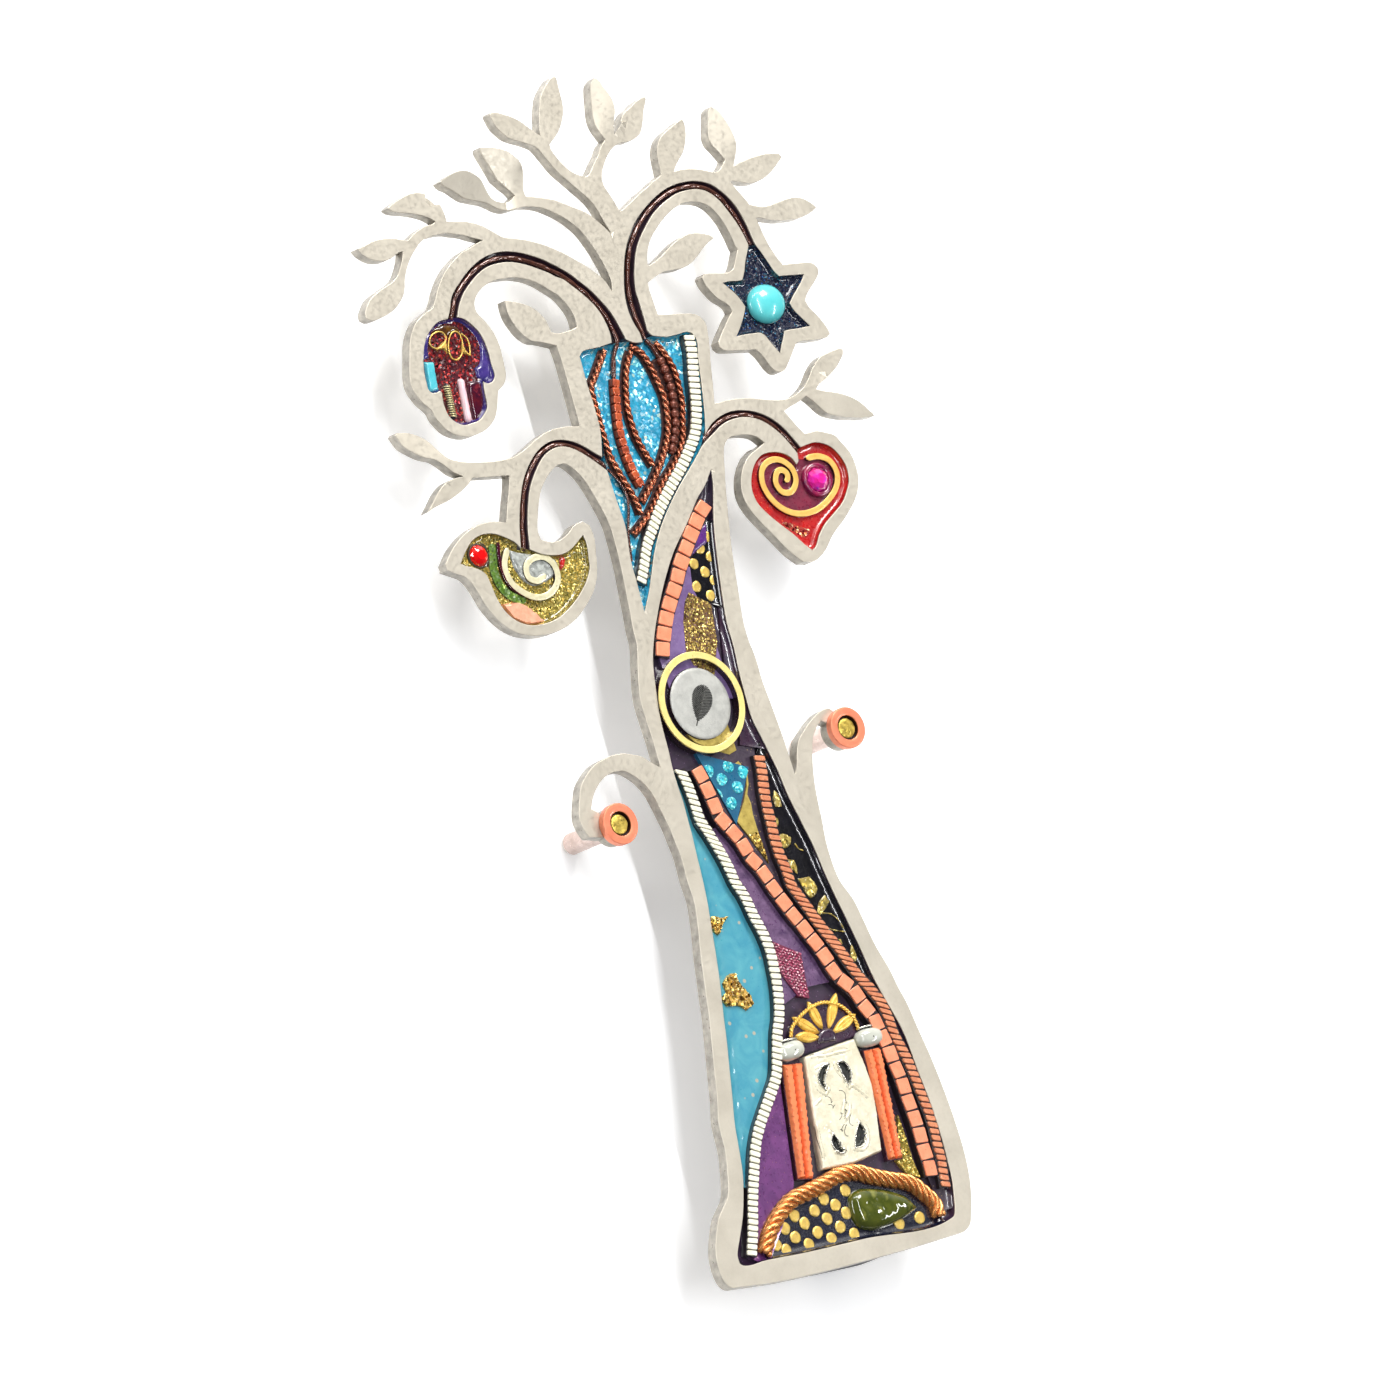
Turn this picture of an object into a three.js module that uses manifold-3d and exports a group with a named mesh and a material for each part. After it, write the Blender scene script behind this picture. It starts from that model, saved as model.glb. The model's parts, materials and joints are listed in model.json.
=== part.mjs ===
// Tree-shaped wall case for a small rolled scroll: a pierced stainless-steel plate over a thin
// backing sheet, its windows filled with polymer clay, resin and metal findings, a scroll
// tray with a stopper behind the trunk, and two nails through copper standoff eyelets.
// Millimetres. X to the right, Z up, the wall is the plane Y = 0 and the front faces -Y.
import * as THREE from "three";
import { mergeVertices } from "three/addons/utils/BufferGeometryUtils.js";
import Module from "manifold-3d";

// ---- driving dimensions (mm)
const WALL_Y = 0;                 // back of the scroll tray, flat on the wall
const SHEET_BACK_Y = -6.5;        // back of the backing sheet
const PLATE_BACK_Y = -7;          // back of the pierced plate, front of the backing sheet
const PLATE_FRONT_Y = -8.5;       // front of the 1.5 mm pierced plate
const BED_Y = -7.25;              // front of the dark clay bed that everything is set in
const INLAY_Y = -7.625;           // front of the coloured inlays
const FIELD_Y = -7.875;           // front of the coloured fields in the trunk
const WIRE_Y = -8.25;             // front of the inlaid wires
const STRIP_Y = -8.625;           // front of the ribbed and tiled metal strips
const RIM_OVERLAP = 1.0;          // how far the backing sheet reaches past each window
const WINDOW_GAP = 0.3;           // clay bed to window edge
const STEM_BED_W = 0.4;           // bed width along the four curved stems
const STEM_SHEET_W = 2.4;         // backing width along the stems
const STEM_WIRE_W = 0.34;
const STEM_REACH = 0.9;           // how far the stem strips run into the pockets they join
const TRAY_W = 8, TRAY_WALL = 0.5, TRAY_BOTTOM_Z = -31, TRAY_TOP_Z = 31;
const STOPPER_IN = 4, STOPPER_GAP = 0.3, STOPPER_LIP = 1.25;
const EYE_HOLE_R = 1.55, FLANGE_R = 2.33, FLANGE_T = 1, TUBE_R = 1.2;
const SEAT_R = 1.5, SEAT_DEPTH = 0.75, BORE_R = 0.85;
const NAIL_R = 0.68, NAIL_HEAD_R = 1.2, NAIL_HEAD_T = 0.5, NAIL_TIP_Y = 12;
const TRUNK_LINK = [[-7, 36], [-2, 36], [2, 50], [-6.6, 48]]; // sheet between the two windows
const HEART_CLEFT = [18.9, 55.4];
const BIRD_SPIRAL_DROP = 0.45;
const RING_R = 5.4, RING_IN_R = 4.85, DISC_R = 4.1;

// ---- shapes, as [x, z] points in mm
const OUTLINE = [[-29.95,85.43],[-28.56,84.78],[-27,84.78],[-25.57,85.31],[-25.01,85.33],[-25.74,83.97],[-26.73,82.78],
  [-27.62,82.24],[-30.72,81.07],[-31.39,80.55],[-31.99,79.85],[-32.27,79.21],[-32.28,78.92],[-31.71,78.54],
  [-30.73,78.55],[-29.14,78.92],[-27.24,79.94],[-26.42,80.79],[-25.66,82.5],[-24.65,84],[-23.52,85.1],
  [-22.08,86.11],[-20.62,86.44],[-18.6,86.45],[-16.29,85.85],[-14.07,84.98],[-17.32,84.09],[-19.4,82.95],
  [-21.23,81.32],[-23,78.93],[-25.94,77.44],[-27.35,75.63],[-28.73,71.77],[-28.74,70.18],[-27.9,68.57],
  [-27.01,67.52],[-26.84,66.81],[-26.13,65.66],[-25.46,64.97],[-24.63,64.5],[-22.77,64.12],[-21.19,64.36],
  [-20.1,64.79],[-18.74,65.97],[-17.58,68.48],[-16.28,69.4],[-15.88,70.59],[-15.84,73.87],[-16.26,75.25],
  [-17.48,77.2],[-17.6,77.95],[-17.19,78.85],[-15.99,79.81],[-14.73,80.26],[-13.32,80.45],[-11.48,80.36],
  [-9.32,79.73],[-8.15,79.08],[-6.18,77.51],[-5.16,75.96],[-4.78,74.68],[-4.82,73.78],[-5.29,73.63],
  [-7.22,73.42],[-8.35,73.67],[-8.7,75.09],[-9.75,76.51],[-11.38,77.43],[-13.42,78.01],[-13.38,76.18],
  [-12.84,74.85],[-12.16,73.82],[-11.34,73.14],[-8.26,72.13],[-8.11,69.72],[-8.16,62.98],[-10.45,63.24],
  [-12.23,63.14],[-13.56,62.81],[-18.07,61.03],[-19.77,60.93],[-22.05,61.07],[-24.88,61.53],[-26.27,62.01],
  [-27.02,62.54],[-28.74,64.63],[-30.14,65.49],[-31.55,65.88],[-32.52,65.97],[-32.81,65.74],[-32.4,64.67],
  [-31.93,64.06],[-30.39,63.01],[-28.2,62.09],[-26.63,60.66],[-25.31,59.93],[-27.11,59.85],[-28.31,59.44],
  [-31.36,56.83],[-26.97,58.07],[-25.38,58.79],[-24.16,59.62],[-19.3,59.12],[-21.45,54.15],[-22.84,54.47],
  [-24.23,54.55],[-26.39,54.17],[-28.71,53],[-30.97,50.93],[-30.88,50.21],[-28.53,48.86],[-26.38,44.29],
  [-25.28,42.98],[-24.17,42.18],[-22.93,41.66],[-21.16,41.31],[-19.33,41.32],[-17.53,41.66],[-15.83,42.33],
  [-14.7,43.02],[-12.97,44.41],[-11.87,45.75],[-11.13,47.27],[-10.47,50.01],[-10.37,50.8],[-10.55,52.1],
  [-11.42,52.74],[-12.61,52.44],[-14.54,51.3],[-15.68,51.07],[-16.5,51.16],[-17.45,51.57],[-17.55,52.03],
  [-17.4,53.26],[-16.06,56.21],[-15,57.59],[-13.58,58.74],[-12.71,59.17],[-11.87,59.3],[-11.15,59.01],
  [-10.22,58.06],[-9.16,56.05],[-7.95,51.93],[-7.96,47.29],[-8.76,38.5],[-10.37,32.12],[-10.24,24.66],
  [-12.2,26.18],[-14.16,26.86],[-16.04,26.98],[-18.02,26.6],[-19.63,25.89],[-21.33,24.42],[-22.74,21.22],
  [-22.72,20.15],[-22.18,18.74],[-20.55,18.36],[-19.59,17.53],[-18.78,17.15],[-17.32,17.28],[-16.58,17.78],
  [-16,18.82],[-16.02,20],[-16.42,20.8],[-17.65,21.61],[-18.83,21.61],[-19.86,21.01],[-20.86,21.69],
  [-19.72,23.46],[-18.29,24.6],[-16.41,25.16],[-15.56,25.11],[-14.73,24.82],[-13.15,23.43],[-12.22,21.74],
  [-11.31,18.15],[-10.85,14.74],[-10.77,9.67],[-10.92,8.33],[-13.09,-3.13],[-15.73,-14.47],[-16.11,-18.67],
  [-17.17,-22.37],[-19.27,-24.66],[-20.67,-27.47],[-21.12,-29.58],[-20.9,-31.37],[-20.41,-32.12],
  [-19.74,-32.42],[-12.24,-32.79],[0.13,-32.52],[12.72,-31.79],[13.45,-31.42],[14,-30.78],[15.35,-26.68],
  [15.71,-22.98],[15.53,-18.33],[14.92,-13.07],[13.66,-6.04],[12.64,-2.09],[11.66,0.78],[10.55,5.84],[9.2,9.07],
  [8.96,11.39],[9.01,13.46],[9.75,20.15],[10.55,23.05],[11.32,24.73],[12.83,26.15],[13.43,25.8],[13.17,24.64],
  [13.7,23.27],[14.39,22.71],[15.54,22.44],[16.41,22.64],[17.14,23.15],[17.62,23.91],[17.77,24.79],
  [17.44,25.92],[16.59,26.75],[15.74,27.02],[14.85,26.95],[14.28,27.41],[12.87,27.13],[11.14,26.19],
  [9.18,24.66],[8.52,23.54],[8.02,22.03],[7.36,21.01],[6.18,37.61],[6.41,40.02],[7.79,48.36],[9.78,56.47],
  [10.45,58.04],[10.96,58.48],[11.68,58.72],[13.36,58.66],[14.52,58.39],[15.79,57.39],[13.28,56.33],
  [12.04,55.26],[11.4,54.24],[10.99,53.02],[11.01,51.35],[11.99,49.3],[15.51,44.56],[16.47,43.68],[17.7,43.5],
  [18.54,43.66],[19.8,44.38],[21.45,45.93],[25.5,49.01],[26.57,50.4],[27.17,52.3],[26.96,54.35],[25.49,56.72],
  [23.09,57.59],[21.5,57.52],[19.63,60.4],[23.13,61.58],[24.87,59.77],[25.86,59.11],[28.66,58.32],[31.61,58],
  [30.27,59.57],[29.05,60.49],[24.78,62.11],[25.28,62.54],[28.61,64.29],[29.68,65.34],[29.87,65.87],
  [29.58,66.04],[28.33,65.95],[26.46,65.52],[25.2,64.64],[23.14,62.64],[20.86,61.72],[19.12,61.73],
  [14.14,62.71],[10.62,62.65],[12.18,69.29],[12.46,71.54],[12.02,72.29],[11.34,72.74],[6.4,73.43],[6.18,76.07],
  [6.27,77.08],[8.7,77.92],[11.21,77.97],[12.48,78.23],[15.45,80.02],[16.73,80.59],[16.54,80.85],[15.35,81.33],
  [13.37,81.56],[11.42,81],[8.62,79.52],[6.9,78.9],[7.21,80.14],[8.07,81.52],[10.48,83.54],[12.47,84.59],
  [13.93,85.02],[15.84,84.88],[17.12,84.3],[17.74,83.7],[18.51,82.43],[19.5,78.9],[18.35,77.13],[17.71,76.68],
  [16.93,76.58],[14.04,76.89],[13.65,76.56],[14.22,75.02],[14.98,73.96],[16.27,72.85],[16.42,72.26],
  [13.7,69.58],[13.4,69.23],[13.42,68.66],[14.21,68.13],[18.11,67.67],[18.72,66.98],[19.79,65.1],[20.38,64.74],
  [21.03,64.75],[21.66,65.15],[23.87,67.53],[27.96,67.49],[28.75,67.87],[28.42,68.9],[26.91,71.23],
  [26.67,71.95],[27.34,72.8],[29.36,74.48],[29.59,75.33],[29.19,75.79],[28.59,76.06],[25.03,76.3],[23.83,78.87],
  [23.21,81.92],[26.01,81.23],[28.56,81.04],[30.12,81.25],[31.74,81.9],[30.45,83.01],[29.47,83.4],[28.37,83.46],
  [24.72,83.04],[22.81,83.57],[21.11,86.34],[21.3,86.48],[23.82,85.85],[25.09,85.93],[26.98,86.66],
  [28.99,88.07],[28.73,88.51],[26.19,88.74],[23.86,88.48],[22.11,88],[22.99,89.95],[23.04,91.02],[22.81,92.42],
  [22.21,94.07],[21.99,94.48],[21.32,94.98],[20.77,94.32],[20.01,91.62],[20.15,90.81],[21.18,88.94],
  [20.14,87.98],[19.5,87.74],[16.61,88.55],[13.94,88.64],[15.84,90.49],[16.58,91.61],[17.1,93.12],[17,94.21],
  [14.24,93.13],[13.03,92.27],[12.39,91.05],[12.1,88.6],[5.23,85.35],[4.01,88.78],[4.14,89.56],[4.59,90.4],
  [5.58,91.59],[6.79,92.5],[7.66,92.78],[9.7,92.9],[10.85,93.45],[12.96,97.08],[12.8,97.44],[12.18,97.26],
  [9.52,96.05],[7.33,93.8],[8.1,96.39],[8.17,97.4],[7.27,100.04],[6.83,100.4],[6.07,99.54],[5.32,96.24],
  [5.31,95.08],[5.95,93.46],[5.2,92.9],[2.68,90.23],[1.89,89.81],[0.72,90.35],[-0.17,91.06],[-1.04,92.28],
  [-1.63,93.72],[-1.62,94.01],[0.44,95.71],[1.34,97.15],[1.67,98.8],[1.74,101.06],[1.57,101.37],[0.4,100.82],
  [-1.09,99.36],[-1.92,97.57],[-2.54,95.18],[-4.67,97.11],[-5.58,97.71],[-7.53,98.54],[-8.34,98.61],
  [-8.49,98.41],[-8.07,96.98],[-6.99,95.67],[-3.86,94.19],[-3.32,93.73],[-1.65,90.94],[1.84,86.87],[3.2,83.13],
  [1.63,85.04],[0.45,86.07],[-3.36,88],[-6.7,88.88],[-6.83,89.3],[-6.54,91.74],[-6.81,92.58],[-7.85,93.83],
  [-9.06,94.54],[-10.98,95.07],[-11.09,94.75],[-9.66,91.23],[-8.13,89.17],[-9.15,88.65],[-10.25,88.72],
  [-11.31,89.29],[-12.61,91.6],[-14.07,92.63],[-15.66,92.78],[-17.62,92.07],[-17.11,91.53],[-14.74,89.9],
  [-12.01,88.89],[-10.22,87.8],[-9.29,87.66],[-7.09,87.75],[-5.64,87.48],[-4.26,86.91],[-2.24,85.6],
  [-0.79,84.12],[0.54,81.52],[1.38,78.44],[1.16,76.89],[0.71,77.98],[-0.41,79.31],[-3.34,81.63],[-5.11,82.71],
  [-8.01,84.02],[-11.29,84.92],[-13.35,86.37],[-14.63,86.99],[-18.15,87.74],[-18.14,88.7],[-18.5,89.95],
  [-19.51,90.84],[-20.58,91.34],[-22.45,91.37],[-24.78,90.64],[-25.39,90.27],[-24.4,89.69],[-20.64,88.61],
  [-19.63,87.92],[-19.87,87.8],[-22.05,87.42],[-24.06,86.43],[-25.71,86.92],[-27.6,87.12],[-30.89,86.52]];
const UPPER_WINDOW = [[-5.53,62.54],[-5.75,61.25],[-6.33,59.17],[-8.85,61],[-10.33,61.69],[-11.98,61.96],[-12.76,61.89],
  [-13.68,61.63],[-14.92,60.99],[-15.96,60.16],[-17.11,58.96],[-17.85,57.9],[-19.4,54.64],[-20.45,51.04],
  [-20.98,51.77],[-22.24,52.61],[-23.6,53.2],[-24.73,53.34],[-26.07,53.11],[-26.86,52.7],[-27.81,51.87],
  [-28.92,50.66],[-26.71,49.66],[-25.99,49.03],[-25.42,46.16],[-25.14,45.32],[-24.5,44.2],[-23.59,43.34],
  [-22.39,42.74],[-21.06,42.5],[-19.13,42.61],[-17.77,42.96],[-15.91,43.89],[-14.46,44.89],[-13.39,45.83],
  [-12.32,47.18],[-12.01,47.94],[-11.68,49.76],[-11.81,51.16],[-13.8,49.97],[-15.18,49.56],[-16,49.57],
  [-17.38,49.84],[-19.31,50.74],[-18.96,52.51],[-18.47,54.15],[-17.64,56.2],[-16.97,57.44],[-15.9,58.8],
  [-14.37,60.27],[-13.24,60.89],[-12.4,61.13],[-10.86,61.08],[-9.5,60.48],[-7.95,59.31],[-6.18,57.62],
  [-5.85,51.2],[-6.38,47.5],[-6.52,41.63],[-5.11,43.87],[-2.59,48.51],[-1.48,50.07],[-0.03,51.76],[2.47,54.19],
  [7.45,58.41],[10.13,59.9],[11.3,60.38],[12.59,60.61],[13.97,60.59],[14.86,60.41],[16.09,59.92],[17.04,59.25],
  [18.2,58.09],[19.81,55.55],[19.61,54.62],[19.3,54.33],[18.81,55.17],[17.8,55.84],[16.35,56.2],[14.91,56.06],
  [14.05,55.57],[13.38,54.9],[12.72,53.77],[12.38,52.67],[12.45,51.5],[12.96,50.4],[14,49.1],[18.15,44.76],
  [18.73,45.07],[19.58,46.19],[20.74,47.27],[23.95,49.28],[25.48,51.12],[25.85,52.26],[25.78,53.47],
  [25.17,54.77],[24.55,55.51],[23.88,55.94],[22.75,56.32],[21.88,56.34],[20.46,56.12],[19.23,58.13],
  [18.47,59.06],[17.51,59.91],[16.34,60.63],[14.39,61.28],[13.02,61.45],[12.15,61.42],[10.89,61.14],
  [9.77,60.69],[8.17,59.48],[9.13,62.88],[10.07,67.7],[10.48,69.12],[10.57,70.05],[10.26,70.7],[9.6,70.98],
  [7.2,70.83],[6.41,70.89],[4.82,71.31],[4.44,71.82],[4.33,75.99],[4.49,77.26],[5.37,79.78],[6.44,81.59],
  [8.95,84.03],[10.77,85.19],[13.51,86.22],[16.06,86.31],[16.85,86.15],[17.58,85.82],[18.24,85.34],
  [19.04,84.41],[20.53,81.42],[21.01,79.83],[21.11,79.09],[19,75.46],[16.24,75.57],[17.69,73.92],[18.39,72.5],
  [17.47,71.06],[16.08,69.48],[19.01,69.45],[19.65,69.26],[20.06,68.82],[21.29,66.76],[22.66,69.09],
  [26.31,69.12],[25,70.77],[24.44,71.97],[27.46,74.83],[24.07,75.15],[23.58,75.74],[22.07,79.05],[21.51,81.86],
  [20.83,83.72],[19.77,85.26],[18.48,86.43],[17.27,86.97],[15.51,87.28],[13.71,87.23],[12.36,86.96],
  [10.79,86.38],[9.05,85.47],[7.49,84.43],[6.31,83.4],[5.19,82.06],[4.31,80.69],[3.51,78.85],[2.82,76.62],
  [2.65,75.51],[2.63,74.27],[2.88,72.98],[3.3,71.78],[3.37,70.75],[2.15,70.89],[1.21,71.38],[0.66,73.39],
  [0.17,74.64],[-1.46,77.16],[-4.14,79.86],[-7.18,81.87],[-10.05,83.02],[-11.35,83.29],[-12.73,83.37],
  [-15.07,82.93],[-17.61,81.64],[-19.4,80.32],[-20.19,79.54],[-21.55,77.18],[-22.25,77.18],[-23.15,76.98],
  [-24.21,76.36],[-25.3,75.31],[-26.04,73.94],[-26.65,71.77],[-26.72,69.97],[-26.43,69.58],[-25.9,69.49],
  [-25.3,69.62],[-25.07,69.47],[-25.24,68.25],[-25.19,67.38],[-24.95,66.66],[-24.46,66.06],[-23.26,65.44],
  [-21.55,65.58],[-20.9,65.82],[-19.96,66.52],[-19.67,66.89],[-19.23,69.77],[-18.77,69.47],[-18.49,69.44],
  [-17.91,69.64],[-17.66,69.86],[-17.47,70.39],[-17.47,72.78],[-17.76,74.61],[-18.22,75.56],[-18.92,76.39],
  [-19.43,76.83],[-20.28,77.2],[-19.58,78.45],[-18.28,79.91],[-16.15,81.34],[-14.52,82],[-13.14,82.19],
  [-11.75,82.15],[-10.44,81.89],[-8.78,81.28],[-4.78,79.1],[-3.11,77.47],[-2.08,76.25],[-1.46,75.32],
  [-0.92,73.95],[-0.67,72.42],[-0.78,71.31],[-2.77,71.09],[-4.63,71.05],[-4.96,70.97],[-5.55,70.5]];
const LOWER_WINDOW = [[7.65,55.6],[6.19,53.93],[4.57,52.57],[2.41,50.25],[-0.15,47.75],[-1.62,45.99],[-3.51,43.31],[-5.21,40.53],
  [-6.65,37.67],[-7.27,35.96],[-7.76,33.86],[-8.38,29.83],[-8.62,24.31],[-8.47,19.96],[-8.75,12.37],
  [-9.05,8.92],[-10.09,1.84],[-11.73,-6.54],[-13.6,-14.81],[-14.48,-20.66],[-15.12,-22.78],[-15.98,-24.97],
  [-18.01,-28.69],[-18.16,-29.15],[-18.13,-29.95],[-17.73,-30.24],[-16.85,-30.37],[-14.51,-30.2],[-6.34,-30.3],
  [11.83,-29.94],[12.34,-28.99],[13.02,-25.83],[13.2,-20.97],[13.01,-17.18],[12.18,-9.59],[11.9,-8.28],
  [10.14,-2.48],[7.85,8.42],[7.12,12.82],[5.76,18.3],[5.17,21.87],[3.93,26.94],[3.71,28.27],[3.71,31.66],
  [3.99,36.18],[3.98,38.6],[4.19,40.46],[5.73,48.76],[7.37,54.04]];
const UPPER_POCKET = [[-5.52,63.01],[-6.13,57.14],[-5.85,51.2],[-6.38,47.5],[-6.52,41.63],[-5.11,43.87],[-2.84,48.11],
  [-1.19,50.45],[1.51,53.31],[6.43,57.53],[7.69,58.96],[8.35,60.1],[8.83,61.42],[10.57,69.59],[10.57,70.05],
  [10.26,70.7],[9.6,70.98],[6.77,70.84],[4.77,71.26],[3.14,70.9],[0.71,71.2],[-4.63,71.05],[-5.55,70.5]];
const HAMSA_POCKET = [[-22.71,77.11],[-23.52,76.81],[-24.49,76.16],[-25,75.7],[-25.74,74.57],[-26.51,72.5],[-26.72,69.97],
  [-26.43,69.58],[-25.9,69.49],[-25.3,69.62],[-25.07,69.47],[-25.23,67.8],[-24.95,66.66],[-24.11,65.8],
  [-23.26,65.44],[-21.55,65.58],[-20.33,66.21],[-19.67,66.89],[-19.23,69.77],[-18.77,69.47],[-18.21,69.49],
  [-17.66,69.86],[-17.53,70.11],[-17.49,73.12],[-17.88,74.93],[-18.45,75.86],[-19.16,76.63],[-20.28,77.2]];
const STAR_POCKET = [[21.11,79.09],[19,75.46],[16.24,75.57],[17.69,73.92],[18.39,72.5],[17.47,71.06],[16.08,69.48],[19.41,69.39],
  [19.86,69.09],[21.29,66.76],[22.66,69.09],[26.31,69.12],[25,70.77],[24.44,71.97],[27.46,74.83],[24.07,75.15],
  [23.58,75.74],[22.07,79.05]];
const HEART_POCKET = [[19.81,55.55],[19.61,54.62],[19.3,54.33],[18.81,55.17],[17.8,55.84],[16.35,56.2],[14.91,56.06],[14.05,55.57],
  [13.38,54.9],[12.45,53.04],[12.45,51.5],[12.96,50.4],[14,49.1],[18.15,44.76],[18.73,45.07],[19.58,46.19],
  [20.74,47.27],[23.95,49.28],[25.22,50.75],[25.78,51.88],[25.88,52.64],[25.78,53.47],[25.17,54.77],
  [24.55,55.51],[23.88,55.94],[22.75,56.32],[20.46,56.12]];
const BIRD_POCKET = [[-26.71,49.66],[-25.99,49.03],[-25.29,45.74],[-24.74,44.53],[-24.22,43.88],[-22.81,42.91],[-21.06,42.5],
  [-19.13,42.61],[-17.77,42.96],[-15.91,43.89],[-14.09,45.19],[-12.8,46.49],[-12.13,47.54],[-11.65,50.25],
  [-11.81,51.16],[-13.39,50.17],[-14.71,49.64],[-15.59,49.54],[-16.89,49.72],[-18.22,50.14],[-20.04,51.04],
  [-22.68,52.84],[-23.6,53.2],[-24.73,53.34],[-26.07,53.11],[-26.86,52.7],[-28.92,50.66]];
const STEMS = {
  hamsa: [[-20.91,77.19],[-19.59,79.34],[-18.68,80.21],[-16.59,81.65],[-15.45,82.2],[-14.25,82.58],[-12.99,82.75],
  [-11.73,82.72],[-10.48,82.5],[-9.28,82.12],[-6.98,81.05],[-4.82,79.72],[-2.95,78.02],[-1.33,76.08],
  [-0.67,74.99],[-0.2,73.82],[0.21,71.34]],
  star: [[4.09,71.03],[3.56,73.82],[3.51,75.26],[3.63,76.69],[4.5,79.45],[5.12,80.76],[5.93,81.96],[6.89,83.04],
  [9.14,84.85],[10.39,85.58],[11.71,86.17],[13.09,86.6],[14.52,86.79],[15.96,86.75],[17.36,86.42],[18.59,85.68],
  [19.57,84.62],[20.3,83.37],[20.86,82.04],[21.58,79.24]],
  heart: [[7.81,58.94],[9.45,60],[11.25,60.76],[12.53,60.98],[14.47,60.84],[16.32,60.2],[17.39,59.46],[18.76,58.06],
  [20.13,55.84]],
  bird: [[-19.88,50.89],[-18.9,54.38],[-18.23,56.06],[-17.39,57.67],[-15.64,59.74],[-14.23,60.87],[-12.53,61.48],
  [-10.74,61.36],[-9.1,60.63],[-6.26,58.39]],
};
const LINES = {
  lower_silver: [[-7.77,23.92],[-7.42,22.5],[-6.98,18.12],[-5.74,14.86],[-5.09,12.71],[-4.66,10.72],[-4,9.02],[-2.9,4.54],
  [-2.64,2.45],[-3.03,-1.45],[-3.46,-3.31],[-4.02,-4.92],[-4.67,-6.17],[-6.55,-10.97],[-10.85,-16.28],
  [-11.88,-18.04],[-14.11,-23.35],[-15.23,-26.57],[-16.41,-29.44]],
  lower_tiles: [[-5.53,23.9],[-5.02,21.94],[-4.22,18.02],[-2.38,14.88],[-1.65,12.95],[-0.71,11.44],[0.01,9.67],[1.78,5.93],
  [3.59,2.69],[4.43,0.85],[5.1,-1.03],[7.03,-3.54],[7.79,-5.36],[8.65,-6.92],[9.38,-10.27],[9.98,-14.22],
  [10.4,-19.96],[10.48,-24.17],[10.41,-25.18]],
  upper_tiles: [[5.69,52.12],[4.15,50.72],[2.68,49.21],[-0.02,45.96],[-3.64,40.98],[-4.76,38.96],[-5.86,36.42]],
  copper_ribbed: [[3.26,23.83],[2.41,18.18],[2.24,14.58],[2.3,12.65],[2.73,9.23],[5.11,4.03],[6.81,0.92],[7.56,-0.79],
  [10.02,-4.99],[10.54,-6.72],[10.79,-8.97],[11.62,-12.45],[12.41,-18.21],[12.47,-20.07],[12.34,-23.45],
  [11.92,-26.67]],
  upper_silver: [[9.7,70.62],[9.44,68.67],[8.25,63.66],[7.65,61.66],[6.78,59.76],[5.48,58.21],[4,56.7],[0.57,53.63],
  [-1.08,51.97],[-3.73,48.77],[-5.94,44.82]],
  beads_left: [[-1.51,67.35],[-2.1,65.34],[-2.88,61.67],[-2.92,59.92],[-2.79,58.14],[-2.49,56.55],[-2.06,55.3]],
  beads_right: [[5.13,68.87],[5.55,66.42],[5.59,65.28],[5.46,64.11],[4.99,61.75],[4.66,60.79],[3.25,58.23]],
  tw1: [[-1.85,70.69],[-4.9,67.1],[-5.07,65.12],[-4.99,59.21],[-4.43,57.22],[-3.35,54.08],[-3.1,52.3]],
  tw2: [[1.4,70.16],[0.58,69.05],[-0.13,67.62],[-0.71,65.97],[-1.13,64.14],[-1.19,62.08],[-0.97,60.3],[0.09,57.18]],
  tw3: [[1.76,70.56],[2.97,69.72],[3.67,68.09],[4.09,66.21],[4.34,64.47],[4.12,62.58],[3.54,60.63],[2.64,59.02],
  [1.48,57.45],[-0.2,55.68],[-2.44,53.6]],
  tw4: [[5.39,70.53],[6.19,69.2],[6.84,67.35],[6.9,65.64],[6.71,63.56],[5.44,59.64],[4.36,58.05],[2.87,56.54],
  [1.09,55.13],[-1.87,52.1],[-3.38,50.98],[-4.71,50.18]],
  bird_wire: [[-6.46,58.63],[-4.78,56.2],[-4.28,54.42],[-5.52,50.31],[-6.08,47.45]],
  rope: [[-14.34,-29.37],[-12.69,-27.2],[-11.07,-25.77],[-8.79,-24.44],[-1.5,-22.79],[0.88,-22.95],[2.76,-23.71],
  [7.55,-25.34],[8.92,-26.63],[10.07,-28.14],[10.13,-29.44]],
  heart_spiral: [[20.92,54.86],[22.72,54.79],[24.01,54.07],[24.51,52.69],[24.02,51.29],[22.61,50.05],[20.45,49.08],[17.9,49],
  [16,49.81],[14.66,51.34],[14.16,53.12],[14.68,54.62],[16.06,55.36],[17.52,55.13],[18.66,53.98],[18.72,52.65],
  [17.67,51.53],[16.47,51.73],[15.96,52.83],[16.56,53.98]],
  bird_spiral: [[-22.09,51.7],[-23.08,49.88],[-22.88,48.03],[-21.57,46.57],[-19.93,45.78],[-17.99,45.99],[-16.62,47.24],
  [-16.53,48.81],[-17.54,49.94],[-19.09,50.07],[-20.23,49.41],[-20.37,48.12],[-19.31,47.56],[-18.05,48.04]],
};
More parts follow.
